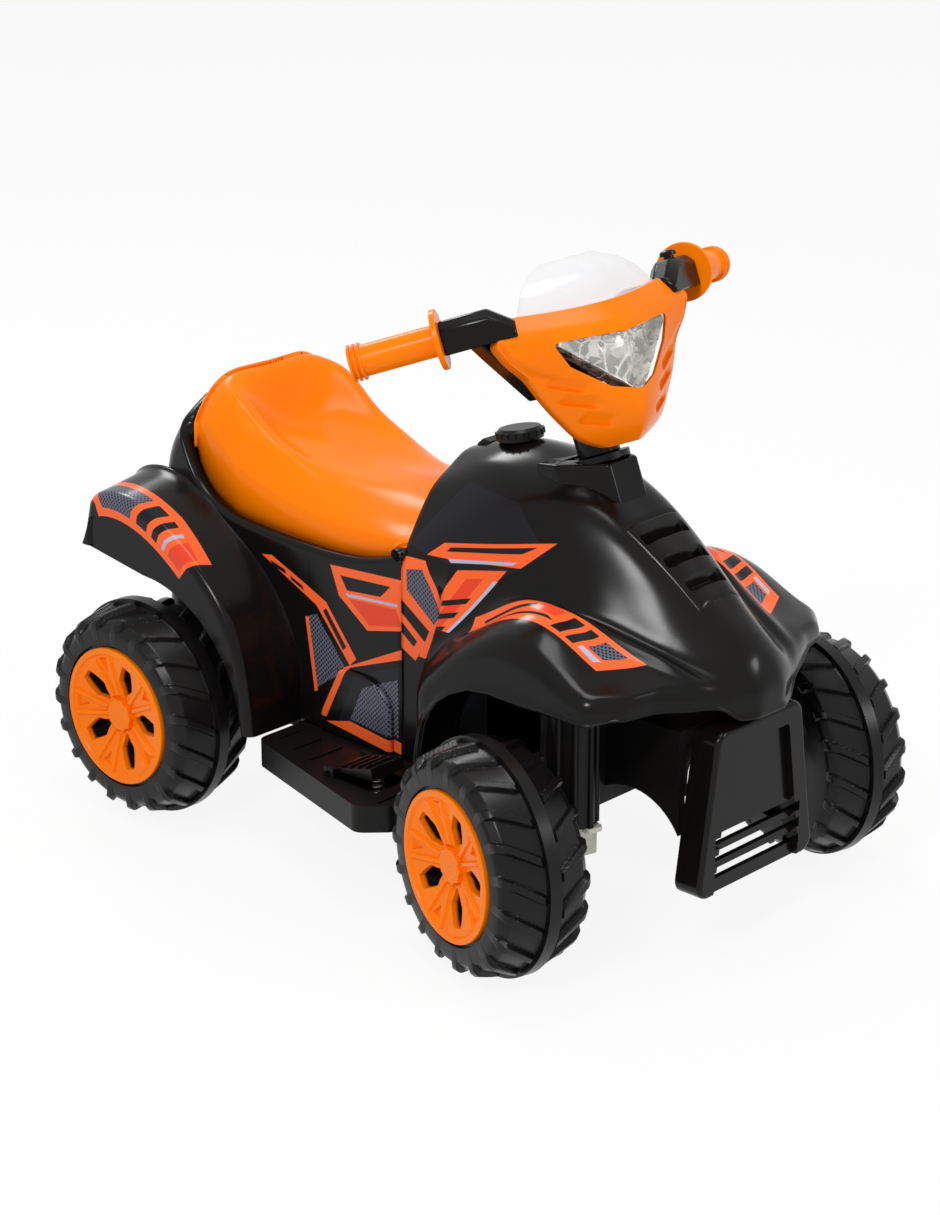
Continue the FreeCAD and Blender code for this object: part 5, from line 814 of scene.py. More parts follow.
def resampled(path: Array, count: int, density: Optional[Callable[[Array], Array]] = None) -> Array:
    """The same open path in count points, spaced evenly or by a density read on its points.

    Args:
        path: points of the path.
        count: points wanted.
        density: weight of a place, or none.

    Returns:
        The new points.
    """
    length = np.linalg.norm(np.diff(path, axis=0), axis=1)
    if density is not None:
        length = length * density((path[1:] + path[:-1]) / 2)
    place = np.concatenate([[0.0], np.cumsum(length)])
    want = spread(count, 0.0, place[-1])
    return np.stack([np.interp(want, place, path[:, axis]) for axis in range(path.shape[1])], axis=1)


def outward(path: Array, closed: bool = False) -> Array:
    """Unit normals of a plan path, to the right of its direction.

    Args:
        path: points of the path.
        closed: whether it joins up.

    Returns:
        One normal per point.
    """
    run = np.roll(path, -1, 0) - np.roll(path, 1, 0) if closed else np.gradient(path, axis=0)
    normal = np.stack([run[:, 1], -run[:, 0]], axis=1)
    return normal / np.maximum(np.linalg.norm(normal, axis=1, keepdims=True), 1e-9)


def quads(rows: int, columns: int, wrap_rows: bool = False, wrap_columns: bool = False) -> Array:
    """Corner numbers of the faces of a grid, row by row.

    Args:
        rows: rows of the grid.
        columns: columns of the grid.
        wrap_rows: join the last row to the first.
        wrap_columns: join the last column to the first.

    Returns:
        Four numbers per face.
    """
    row = np.arange(rows if wrap_rows else rows - 1)[:, None]
    column = np.arange(columns if wrap_columns else columns - 1)[None, :]
    near, far = row * columns, ((row + 1) % rows) * columns
    ahead = (column + 1) % columns
    return np.stack([near + column, near + ahead, far + ahead, far + column], -1).reshape(-1, 4)


@dataclass
class Sheet:
    """A grid of points with its wrap and its texture places."""
    points: Array
    wrap_rows: bool = False
    wrap_columns: bool = False
    uv: Optional[Array] = None

    def faces(self) -> Array:
        """Faces of the grid."""
        return quads(*self.points.shape[:2], self.wrap_rows, self.wrap_columns)


def mirror(sheet: Sheet) -> Sheet:
    """The sheet on the other side of the middle plane, its faces turned so that they still point outwards.

    Args:
        sheet: sheet on one side.

    Returns:
        Its twin.
    """
    points = sheet.points[:, ::-1] * np.array([1.0, -1.0, 1.0])
    uv = None if sheet.uv is None else sheet.uv[:, ::-1]
    return Sheet(points, sheet.wrap_rows, sheet.wrap_columns, uv)


def inside_out(sheet: Sheet) -> bool:
    """True where the faces of a closed grid point inwards: its signed volume is below zero.

    Args:
        sheet: closed grid.

    Returns:
        Whether its faces have to be turned over.
    """
    points, faces = sheet.points.reshape(-1, 3), sheet.faces()
    first, second, third, fourth = (points[faces[:, corner]] for corner in range(4))
    return bool((first * (np.cross(second, third) + np.cross(third, fourth))).sum() < 0)


def make_piece(name: str, sheets: Sequence[Sheet], body: str, material: bpy.types.Material,
               wall: float = 0.0, sharp: float = 40.0, replaces: Sequence[str] = (), flip: bool = False,
               bevel: float = 0.0) -> None:
    """Joins grids into one piece that rides on a body.

    Args:
        name: name of the piece.
        sheets: its grids, in millimetres.
        body: body that carries it.
        material: its finish.
        wall: wall thickness that closes an open sheet inwards.
        sharp: angle above which an edge stays crisp, in degrees.
        replaces: solids that it stands for.
        flip: turn every face over.
        bevel: width of the rounded edges.
    """
    points, faces, places, start = [], [], [], 0
    for sheet in sheets:
        flat = sheet.points.reshape(-1, 3)
        points.append(flat)
        faces.append(sheet.faces() + start)
        places.append(np.zeros((len(flat), 2)) if sheet.uv is None else sheet.uv.reshape(-1, 2))
        start += len(flat)
    corners = np.concatenate(faces)
    if flip:
        corners = corners[:, ::-1]
    mesh = bpy.data.meshes.new(name)
    mesh.from_pydata((np.concatenate(points) * MM).tolist(), [], corners.tolist())
    layer = mesh.uv_layers.new(name="UVMap")
    layer.data.foreach_set("uv", np.concatenate(places)[corners.reshape(-1)].reshape(-1).astype(np.float32))
    work = bmesh.new()
    work.from_mesh(mesh)
    bmesh.ops.remove_doubles(work, verts=work.verts, dist=MERGE)
    bmesh.ops.dissolve_degenerate(work, edges=work.edges, dist=TINY)
    work.to_mesh(mesh)
    work.free()
    mesh.polygons.foreach_set("use_smooth", np.ones(len(mesh.polygons), bool))
    mesh.set_sharp_from_angle(angle=math.radians(sharp))
    mesh.materials.append(material)
    piece = bpy.data.objects.new(name, mesh)
    bpy.context.scene.collection.objects.link(piece)
    if wall:
        solid = piece.modifiers.new("wall", "SOLIDIFY")
        solid.thickness = wall * MM
        solid.offset = -1.0
    if bevel:
        soft = piece.modifiers.new("edges", "BEVEL")
        soft.width, soft.segments = bevel * MM, 2
        soft.limit_method, soft.angle_limit = "ANGLE", math.radians(sharp)
    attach(piece, body)
    if replaces:
        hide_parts(*replaces)
    log.info("made %s, %d faces", name, len(mesh.polygons))


@dataclass
class FrontCowl:
    """Hood, tank and front fenders: sculpted height over a plan outline, rolled edge and hanging wall."""
    axle_x: float = 222.35
    reach: float = 203.0
    length: float = 323.0
    half_width: float = 150.0
    datum: float = 200.0
    rise: float = 186.0
    floor: float = 105.0
    edge: float = 13.0
    corner: float = 18.0
    stations: tuple[float, ...] = (0.0, 0.145, 0.28, 0.435, 0.59, 0.743, 0.867, 0.96, 1.0)
    widths: tuple[float, ...] = (0.0, 0.13, 0.27, 0.40, 0.53, 0.67, 0.83, 0.93, 1.0)
    heights: tuple[tuple[float, ...], ...] = (
        (0.90, 0.89, 0.83, 0.76, 0.62, 0.45, 0.30, 0.20, 0.12),
        (0.98, 0.96, 0.91, 0.82, 0.68, 0.45, 0.16, 0.04, -0.02),
        (0.99, 0.97, 0.92, 0.83, 0.65, 0.345, 0.25, 0.195, 0.16),
        (0.93, 0.925, 0.875, 0.75, 0.52, 0.435, 0.40, 0.355, 0.325),
        (0.785, 0.785, 0.735, 0.575, 0.445, 0.44, 0.42, 0.375, 0.34),
        (0.62, 0.61, 0.515, 0.385, 0.33, 0.31, 0.285, 0.262, 0.25),
        (0.45, 0.43, 0.33, 0.27, 0.255, 0.24, 0.225, 0.215, 0.21),
        (0.32, 0.29, 0.22, 0.195, 0.185, 0.18, 0.175, 0.17, 0.165),
        (0.22, 0.20, 0.17, 0.155, 0.15, 0.15, 0.15, 0.15, 0.15),
    )
    ridge: Places = (
        (90.0, 106.0), (110.0, 103.0), (130.0, 100.0), (163.0, 96.0), (194.0, 95.0), (213.0, 90.0),
        (240.0, 81.0), (279.0, 68.0), (312.0, 60.0), (340.0, 50.0),
    )
    ridge_rise: float = 4.5
    ridge_width: float = 8.0
    valley_share: float = 0.8
    valley_inset: float = 12.0
    plan: Places = (
        (1.0, 0.10), (0.972, 0.23), (0.916, 0.48), (0.873, 0.66), (0.848, 0.84),
        (0.78, 1.0), (0.192, 1.0), (0.167, 0.65), (0.0, 0.65),
    )
    steep: tuple[float, float] = (0.16, 0.33)
    closer: float = 2.0
    arch: Places = (
        (0.199, 0.0), (0.207, 0.28), (0.235, 0.55), (0.29, 0.72), (0.327, 0.788), (0.392, 0.864),
        (0.466, 0.886), (0.572, 0.873), (0.655, 0.886), (0.736, 0.89), (0.79, 0.885), (0.86, 0.955),
        (0.894, 0.98), (0.943, 0.94), (0.975, 0.80), (1.06, 0.78),
    )
    arch_height: float = 132.0
    rows: int = 350
    columns: int = 104
    spine_from: float = 0.60
    spine_share: float = 0.80
    wall_steps: int = 12
    wall_flare: float = 1.5
    flare_from: float = 0.6
    least_wall: float = 3.0
    vents: tuple[float, ...] = (0.640, 0.712, 0.776)
    vent_half: tuple[float, ...] = (27.0, 24.5, 21.5)
    vent_stretch: float = 1.25
    vent_core: tuple[float, float] = (3.0, 3.2)
    vent_edge: tuple[float, float] = (2.7, 3.6)
    vent_depth: float = 6.0
    vent_slope: float = 0.85
    vent_panel: tuple[float, float, float, float] = (211.0, 286.0, 33.0, 26.0)
    panel_grid: tuple[int, int] = (230, 150)
    panel_proud: float = 1.0
    panel_roll: float = 3.0
    panel_fall: float = 4.0
    panel_room: float = 14.0
    panel_seat: tuple[float, float] = (1.0, 4.0)
    liner_knots: int = 7
    liner_curve: int = 60
    liner_grid: tuple[int, int] = (40, 8)
    liner_root: float = 0.65
    liner_inset: float = 1.0
    liner_gap: float = 0.6
    back_floor: float = 215.0
    back_steps: int = 14
    back_shift: Point = (1.2, 0.0, -1.0)

    def x(self, share: Union[float, Array]) -> Union[float, Array]:
        """Place along the cowl."""
        return self.axle_x - self.reach + share * self.length

    def height(self, x: Array, y: Array) -> Array:
        """Sculpted height before the edge is rolled: the table with a ridge and a valley on it.

        Args:
            x: places along the toy.
            y: places across it.

        Returns:
            Heights.
        """
        stations = self.x(np.array(self.stations))
        table = self.datum + np.array(self.heights) * self.rise
        smooth = bicubic(x, y, stations, np.array(self.widths) * self.half_width, table)
        line = np.array(self.ridge)
        beyond = np.abs(y) - np.interp(x, line[:, 0], line[:, 1])
        rise = self.ridge_rise * step(x, line[0, 0], line[2, 0]) * (1 - step(x, line[-3, 0], line[-1, 0]))
        crest = np.exp(-(beyond / self.ridge_width) ** 2)
        valley = self.valley_share * np.exp(-((beyond + self.valley_inset) / self.ridge_width) ** 2)
        return smooth + rise * (crest - valley)

    def outline(self) -> Array:
        """Plan outline from the right rear round the nose to the left, closer where the arch is steep.

        Returns:
            Plan points.
        """
        half = np.array([(self.x(along), across * self.half_width) for along, across in self.plan])
        corners = np.concatenate([half[::-1] * (1, -1), half])
        path = rounded_path(corners, self.corner, closed=False)
        start, end = (self.x(share) for share in self.steep)
        return resampled(path, self.rows,
                         lambda place: 1.0 + self.closer * (place[:, 0] < end) * (place[:, 0] > start))

    def lower_edge(self, x: Array) -> Array:
        """Height of the hanging wall's lower edge: the wheel arch, and the floor behind it.

        Args:
            x: places along the toy.

        Returns:
            Heights.
        """
        shares = np.array(self.arch)
        rise = np.interp(x, self.x(shares[:, 0]), shares[:, 1])
        return self.floor + rise * self.arch_height * (x >= self.x(shares[0, 0]))

    def louvres(self, x: Array, y: Array) -> Array:
        """Depth of the louvres: a sloped shelf in each rounded slot, deepest at its upper edge.

        Args:
            x: places along the toy.
            y: places across it.

        Returns:
            Depths below the panel.
        """
        depth = np.zeros_like(x)
        for share, half in zip(self.vents, self.vent_half):
            along = (x - self.x(share)) * self.vent_stretch
            beyond = np.hypot(np.clip(np.abs(along) - self.vent_core[0], 0, None),
                              np.clip(np.abs(y) - half + self.vent_core[1], 0, None))
            inside = 1 - step(beyond, *self.vent_edge)
            depth = np.maximum(depth, inside * (self.vent_depth - self.vent_slope * along))
        return depth

    def panel_half(self, x: Array) -> Array:
        """Half width of the vent panel, which narrows towards the nose."""
        rear, front, wide, narrow = self.vent_panel
        return wide + (narrow - wide) * (x - rear) / (front - rear)

    def panel_edge(self, x: Array, y: Array) -> Array:
        """Distance inwards from the border of the vent panel."""
        rear, front = self.vent_panel[:2]
        return np.minimum(np.minimum(x - rear, front - x), self.panel_half(x) - np.abs(y))

    def vents_sheet(self) -> Sheet:
        """Fine grid of the raised vent panel with its louvres and a border rolled as a quarter circle.

        Returns:
            The grid.
        """
        rows, columns = self.panel_grid
        x = np.broadcast_to(spread(rows, *self.vent_panel[:2])[:, None], self.panel_grid)
        y = self.panel_half(x) * spread(columns, -1.0, 1.0)[None, :]
        inset = np.clip(self.panel_edge(x, y), 0, self.panel_roll) / self.panel_roll
        border = self.panel_proud - self.panel_fall * (1 - quarter(inset))
        return Sheet(np.stack([x, y, self.height(x, y) + border - self.louvres(x, y)], axis=2))

    def skin(self) -> Sheet:
        """Grid from the middle line out to the outline, over the rolled edge and down the wall.

        A point runs from the spine to the outline; the roll takes r - sqrt(r^2 - (r - d)^2) off the height
        at a distance d from the outline, and the wall hangs from there to the lower edge.

        Returns:
            The grid.
        """
        edge = self.outline()
        bent = self.x(self.spine_from)
        spine_x = np.where(edge[:, 0] < bent, edge[:, 0], bent + (edge[:, 0] - bent) * self.spine_share)
        spine = np.stack([spine_x, np.zeros(len(edge))], axis=1)
        reach = np.linalg.norm(edge - spine, axis=1)
        roll = np.minimum(self.edge, reach * 0.5)
        inner = spread(self.columns)[None, :] * (1 - roll / reach)[:, None]
        turn = np.sin(ROLL)
        outer = 1 - (roll / reach)[:, None] * (1 - turn)[None, :]
        share = np.concatenate([inner, outer], axis=1)
        place = spine[:, None] + (edge - spine)[:, None] * share[..., None]
        near = np.clip(roll[:, None] - reach[:, None] * (1 - share), 0, None)
        drop = roll[:, None] - np.sqrt(np.clip(roll[:, None] ** 2 - near ** 2, 0, None))
        x, y = place[..., 0], place[..., 1]
        under = self.panel_room * step(self.panel_edge(x, y), *self.panel_seat)
        top = np.concatenate([place, (self.height(x, y) - drop - under)[..., None]], axis=2)
        low = np.minimum(self.lower_edge(edge[:, 0]), top[:, -1, 2] - self.least_wall)
        fall = spread(self.wall_steps + 1)[1:]
        wall_z = top[:, -1:, 2] + (low[:, None] - top[:, -1:, 2]) * fall[None, :]
        flare = self.wall_flare * step(fall, self.flare_from, 1.0)
        wall = edge[:, None] + outward(edge)[:, None] * flare[None, :, None]
        hanging = np.concatenate([np.broadcast_to(wall, (*wall_z.shape, 2)), wall_z[..., None]], axis=2)
        grid = np.concatenate([top, hanging], axis=1)
        grid[..., 0] = np.minimum(grid[..., 0], self.x(1.0))
        return Sheet(grid)

    def liner(self) -> Sheet:
        """Wall of the right leg that faces the wheel: the arch curve carried across from flank to edge.

        Returns:
            The grid.
        """
        shares = np.array(self.arch)[:self.liner_knots]
        path = np.stack([self.x(shares[:, 0]), self.floor + shares[:, 1] * self.arch_height], axis=1)
        knots = spread(self.liner_knots)
        curve = np.stack([cubic(spread(self.liner_curve), knots, path[:, axis]) for axis in (0, 1)], axis=1)
        x, z = (resampled(curve, self.liner_grid[0])[:, None, axis] for axis in (0, 1))
        y = spread(self.liner_grid[1], self.liner_inset - self.half_width, -self.half_width * self.liner_root)
        parts = (x - self.liner_gap, y[None], z + self.liner_gap)
        return Sheet(np.stack([np.broadcast_to(part, self.liner_grid) for part in parts], axis=2))

    def back(self) -> Sheet:
        """Right half of the tank's rear wall: the skin's rear section carried straight down to the seat.

        Returns:
            The grid.
        """
        section = self.skin().points[0, :self.columns + 2] + np.array(self.back_shift)
        fall = (self.back_floor - section[:, 2])[:, None] * spread(self.back_steps)[None]
        return Sheet(section[:, None] + fall[..., None] * np.array([0.0, 0.0, 1.0]))

    def build(self) -> None:
        """Makes the tank's rear wall, the cowl, the vents and two leg liners."""
        body = Palette.get(Finish.BODY)
        back, liner = self.back(), self.liner()
        make_piece("tank_back", [back, mirror(back)], "frame", body, wall=2.0)
        make_piece("cowl_skin", [self.skin()], "frame", Palette.get(Finish.COWL), wall=3.0,
                   sharp=50.0, replaces=("front_cowl",))
        make_piece("vent_panel", [self.vents_sheet()], "frame", body, wall=1.5, flip=True)
        make_piece("leg_liners", [liner, mirror(liner)], "frame", body, wall=2.5)


@dataclass
class SteeringFrame:
    """Raked steering axis and the turn of the bars at rest."""
    x: float = 155.35
    z: float = 385.0
    rake: float = 21.5
    turn: float = -15.0

    def place(self, points: Array, steered: bool = True) -> Array:
        """Moves points from (forward, left, up the axis) into the toy's frame.

        Args:
            points: points in the axis's own frame.
            steered: whether they turn with the bars.

        Returns:
            The moved points.
        """
        rest = math.radians(self.turn if steered else 0.0)
        lean = math.radians(self.rake)
        forward = points[..., 0] * math.cos(rest) - points[..., 1] * math.sin(rest)
        left = points[..., 0] * math.sin(rest) + points[..., 1] * math.cos(rest)
        up = points[..., 2]
        return np.stack([self.x + forward * math.cos(lean) - up * math.sin(lean), left,
                         self.z + forward * math.sin(lean) + up * math.cos(lean)], axis=-1)


@dataclass
class Collar:
    """Flat-faced steering collar that stands out of the hood."""
    front: float = 24.0
    front_half: float = 17.5
    wing_x: float = -16.0
    wing_half: float = 38.0
    back: float = -38.0
    top: float = -6.0
    tilt: float = 0.25
    depth: float = 56.0
    corner: float = 4.0
    edge: float = 2.5
    top_insets: tuple[float, float] = (8.0, 14.0)

    def build(self) -> None:
        """Carries the rounded outline along the axis up to a tilted top, rolls its edge and closes it."""
        half = np.array([(self.front, self.front_half), (self.wing_x, self.wing_half),
                         (self.back, self.wing_half)])
        corners = np.concatenate([half[::-1], half * (1, -1)])
        path = rounded_path(corners, self.corner)
        normal = outward(path, True)
        turn = spread(6) * QUARTER_TURN
        inset = np.concatenate([[0.0], self.edge * (1 - np.cos(turn)), self.edge + np.array(self.top_insets)])
        level = np.concatenate([[-self.depth], self.edge * (np.sin(turn) - 1), [0.0, 0.0]])
        plan = path[None] - np.sign((normal * path).sum(1).mean()) * normal[None] * inset[:, None, None]
        height = self.top + self.tilt * (self.front - plan[..., 0]) + level[:, None]
        grid = SteeringFrame().place(np.concatenate([plan, height[..., None]], axis=2), False)
        make_piece("steering_collar", [Sheet(grid, wrap_columns=True)], "frame", Palette.get(Finish.BODY),
                   sharp=35.0)


@dataclass
class Fairing:
    """Orange fairing: a bowed shell with the lens opening, cheek gills, a brow crease and a skirt."""
    bottom: float = 8.0
    height: float = 121.0
    half_width: float = 96.0
    back: float = 46.0
    bulge: float = 47.0
    curve: float = 1.35
    skirt: float = 12.0
    lip: float = 4.5
    dip: float = 6.0
    levels: tuple[float, ...] = (0.0, 0.07, 0.18, 0.314, 0.471, 0.595, 0.694, 0.793, 0.843, 0.909, 1.0)
    widths: tuple[float, ...] = (0.17, 0.34, 0.475, 0.585, 0.69, 0.77, 0.875, 0.95, 0.97, 0.90, 0.72)
    bulges: tuple[float, ...] = (0.36, 0.60, 0.82, 0.93, 0.98, 1.0, 0.96, 0.87, 0.79, 0.66, 0.50)
    lens: Places = ((0.0, 96.0), (56.0, 101.0), (45.9, 79.0), (21.0, 56.0), (0.0, 48.0))
    lens_corner: float = 4.0
    gills: tuple[tuple[Sequence[float], Sequence[float]], ...] = (
        ((64.0, 69.0), (38.0, 55.0)), ((57.0, 53.0), (29.0, 40.0)), ((44.0, 34.0), (21.0, 24.0)),
    )
    gill_depth: float = 4.2
    gill_step: tuple[float, float] = (-0.4, 1.2)
    gill_fade: float = 11.0
    gill_ends: tuple[float, float, float, float] = (-0.05, 0.22, 0.80, 1.05)
    crease: Places = ((54.0, 71.0), (65.0, 76.0), (75.0, 83.0), (85.0, 94.0), (91.0, 111.0))
    crease_from: tuple[float, float] = (50.0, 64.0)
    crease_depth: float = 1.6
    crease_width: float = 3.0
    brow_rise: float = 1.2
    brow_offset: float = 7.0
    brow_width: float = 5.0
    middle: float = 80.0
    rays: int = 520
    rings: int = 64
    plain_ends: tuple[float, float] = (0.06, 0.93)
    border_steps: tuple[int, int, int] = (20, 260, 80)

    def along(self, up: Array, shares: Sequence[float]) -> Array:
        """Cubic through one share for each level, read at heights."""
        flat = cubic(np.ravel(up), self.bottom + np.array(self.levels) * self.height, np.array(shares))
        return flat.reshape(np.shape(up))

    def half(self, up: Array) -> Array:
        """Half width at a height."""
        return self.half_width * self.along(up, self.widths)

    def relief(self, across: Array, up: Array) -> Array:
        """Depth below the bow: a gill deepens to its line and steps out; the brow rises above its crease.

        Args:
            across: places across the shell.
            up: heights on it.

        Returns:
            Depths.
        """
        side = np.abs(across)
        depth = np.zeros_like(side)
        for start, end in self.gills:
            run = np.array(end) - np.array(start)
            length = np.linalg.norm(run)
            run = run / length
            right, rise = side - start[0], up - start[1]
            along = (right * run[0] + rise * run[1]) / length
            below = right * run[1] - rise * run[0]
            reach = step(along, *self.gill_ends[:2]) * (1 - step(along, *self.gill_ends[2:]))
            depth += self.gill_depth * reach * step(below, *self.gill_step) * (
                1 - step(below, self.gill_step[1], self.gill_fade))
        line = np.array(self.crease)
        brow = up - np.interp(side, line[:, 0], line[:, 1])
        groove = self.crease_depth * np.exp(-(brow / self.crease_width) ** 2)
        swell = self.brow_rise * np.exp(-((brow - self.brow_offset) / self.brow_width) ** 2)
        return depth + step(side, *self.crease_from) * (groove - swell)

    def outline(self, turn: Array, corners: Array) -> Array:
        """Distance from the middle to a star-shaped outline in each direction.

        Args:
            turn: directions.
            corners: points of the outline.

        Returns:
            Distances.
        """
        angle = np.arctan2(corners[:, 1] - self.middle, corners[:, 0])
        order = np.argsort(angle)
        reach = np.hypot(corners[:, 0], corners[:, 1] - self.middle)[order]
        return np.interp(turn, angle[order], reach, period=FULL_TURN)

    def border(self) -> Array:
        """Points of the outer outline: floor, sides and the dipped top, on both hands.

        Returns:
            Points (across, up).
        """
        low, tall, wide = self.border_steps
        up = spread(tall, self.bottom, self.bottom + self.height)
        side = np.stack([self.half(up), up], axis=1)
        top_half, floor_half = (self.half_width * self.widths[end] for end in (-1, 0))
        brow = spread(wide, 0.0, top_half)
        top = np.stack([brow, self.bottom + self.height - self.dip * (1 - (brow / top_half) ** 2)], axis=1)
        floor = np.stack([spread(low, 0.0, floor_half), np.full(low, self.bottom)], axis=1)
        half = np.concatenate([floor, side, top])
        return np.concatenate([half, half * (-1, 1)])

    def build(self) -> None:
        """Makes the shell: rays from the lens opening to the outline, a lip inside and a skirt outside."""
        turn = spread(self.rays + 1, -math.pi, math.pi)[:-1]
        right = rounded_path(np.array(self.lens), self.lens_corner, closed=False, arc=15, run=40)
        lens = np.concatenate([right, right[::-1] * (-1, 1)])
        inner, outer = self.outline(turn, lens), self.outline(turn, self.border())
        share = spread(self.rings)
        reach = inner[:, None] + (outer - inner)[:, None] * share[None]
        across, level = reach * np.cos(turn)[:, None], self.middle + reach * np.sin(turn)[:, None]
        wide = np.maximum(self.half(level), 1.0)
        bow = self.bulge * self.along(level, self.bulges)
        fade = step(share, 0.0, self.plain_ends[0]) * (1 - step(share, self.plain_ends[1], 1.0))
        crown = bow * (1 - np.clip(np.abs(across) / wide, 0, 1) ** self.curve)
        shell = np.stack([self.back + crown - self.relief(across, level) * fade[None], across, level], axis=2)
        inside, outside = (shell[:, [end]] - np.array([depth, 0.0, 0.0])
                           for end, depth in ((0, self.lip), (-1, self.skirt)))
        grid = SteeringFrame().place(np.concatenate([inside, shell, outside], axis=1))
        make_piece("fairing_shell", [Sheet(grid, wrap_rows=True)], "steering_column",
                   Palette.get(Finish.ORANGE), wall=2.6, sharp=50.0,
                   replaces=("front_fairing",))


@dataclass
class Handlebar:
    """Swept bar: two bevelled blocks on a yoke with its stem, two ringed grips and the horn button."""
    sweep: float = 36.0
    forward: float = 10.0
    reach: float = 119.0
    level: float = 128.0
    block_length: float = 40.0
    block_taper: float = 20.0
    block_drop: float = 15.0
    block_half_height: float = 14.0
    block_half_depth: float = 13.0
    block_bevel: float = 7.0
    yoke: tuple[Point, ...] = (
        (60.0, -2.0, 52.0), (104.0, -2.0, 85.0), (114.0, 30.0, 92.0), (127.0, 62.0, 105.0),
    )
    yoke_half_depth: float = 10.0
    stem_radius: float = 18.0
    stem: tuple[float, float] = (2.0, 84.0)
    grip_gap: float = 0.3
    grip_bore: float = 8.0
    grip_length: float = 77.0
    grip_radius: float = 13.0
    flange_radius: float = 25.0
    flange: float = 5.0
    ring_radius: float = 15.5
    ring_pitch: float = 4.2
    ring_width: float = 2.2
    horn_place: float = 24.0
    horn_lift: float = 2.3
    horn_dome: Places = ((-8.0, 4.5), (0.0, 4.5), (0.0, 7.0), (3.0, 7.0), (4.4, 5.6), (5.0, 3.0))
    yoke_round: float = 1.6
    grip_round: float = 0.7
    crisp: float = 35.0
    grip_steps: int = 48
    stem_steps: int = 40

    def swept(self, points: Array, side: int) -> Array:
        """Takes points from a grip's own frame (across, along, up) to the bar's, on the side given.

        Args:
            points: points in the grip's frame.
            side: 1 for left, -1 for right.

        Returns:
            The moved points.
        """
        turn = math.radians(self.sweep)
        forward = points[..., 0] * math.cos(turn) - points[..., 1] * math.sin(turn) + self.forward
        left = points[..., 0] * math.sin(turn) + points[..., 1] * math.cos(turn) + self.reach
        return np.stack([forward, side * left, points[..., 2] + self.level], axis=-1)

    def closed(self, rings: Array) -> Sheet:
        """Tube through rings of points, with both ends closed to their middles.

        Args:
            rings: rings of points along the tube.

        Returns:
            The grid.
        """
        middle = rings.mean(axis=1, keepdims=True)
        ends = [np.broadcast_to(middle[end], rings[end].shape)[None] for end in (0, -1)]
        return Sheet(SteeringFrame().place(np.concatenate([ends[0], rings, ends[1]])), wrap_columns=True)

    def circle(self, count: int) -> Array:
        """Unit circle."""
        angle = spread(count + 1)[:-1] * FULL_TURN
        return np.stack([np.cos(angle), np.sin(angle)], axis=1)

    def block(self, side: int) -> Sheet:
        """Bevelled block whose inner end falls away.

        Args:
            side: 1 for left, -1 for right.

        Returns:
            The grid.
        """
        half, depth, bevel = self.block_half_height, self.block_half_depth, self.block_bevel
        inner = -self.block_length - self.block_taper
        rings = []
        for along, top in ((0.0, half), (-self.block_length, half), (inner, half - self.block_drop)):
            shoulder = top - bevel
            section = ((-depth, -half), (depth, -half), (depth, shoulder), (depth - bevel, top),
                       (bevel - depth, top), (-depth, shoulder))
            rings.append([(across, along, up) for across, up in section])
        return self.closed(self.swept(np.array(rings if side > 0 else rings[::-1]), side))

    def arm(self, side: int) -> Sheet:
        """One half of the yoke: rectangles between its inner and outer edge at rising levels.

        Args:
            side: 1 for left, -1 for right.

        Returns:
            The grid.
        """
        back, front = self.forward - self.yoke_half_depth, self.forward + self.yoke_half_depth
        rings = np.array([[(back, inner * side, level), (back, outer * side, level),
                           (front, outer * side, level), (front, inner * side, level)]
                          for level, inner, outer in self.yoke])
        return self.closed(rings if side < 0 else rings[:, ::-1])

    def grip(self, side: int) -> Sheet:
        """Sleeve turned about the grip's axis, with its flange and three rings at the end.

        Args:
            side: 1 for left, -1 for right.

        Returns:
            The grid.
        """
        profile = [(self.grip_gap, self.grip_bore), (self.grip_gap, self.flange_radius),
                   (self.flange, self.flange_radius), (self.flange, self.grip_radius)]
        for index in (2, 1, 0):
            outer = self.grip_length - index * self.ring_pitch
            inner = outer - self.ring_width
            profile += [(inner, self.grip_radius), (inner, self.ring_radius), (outer, self.ring_radius),
                        (outer, self.grip_radius)]
        circle = self.circle(self.grip_steps)
        along, radius = (part[:, None] for part in np.array(profile).T)
        turned = np.broadcast_arrays(circle[:, 0] * radius, along, circle[:, 1] * radius)
        rings = np.stack(turned, axis=2)
        return self.closed(self.swept(rings if side < 0 else rings[:, ::-1], side))

    def upright(self, profile: Places, circle: Array, offset: float = 0.0) -> Array:
        """Rings of a profile (up, radius) about an upright axis that lies an offset back along the grip.

        Args:
            profile: heights and radii.
            circle: unit circle.
            offset: distance back along the grip.

        Returns:
            The rings.
        """
        up, radius = (part[:, None] for part in np.array(profile).T)
        turned = np.broadcast_arrays(circle[:, 0] * radius, circle[:, 1] * radius - offset, up)
        return np.stack(turned, axis=2)

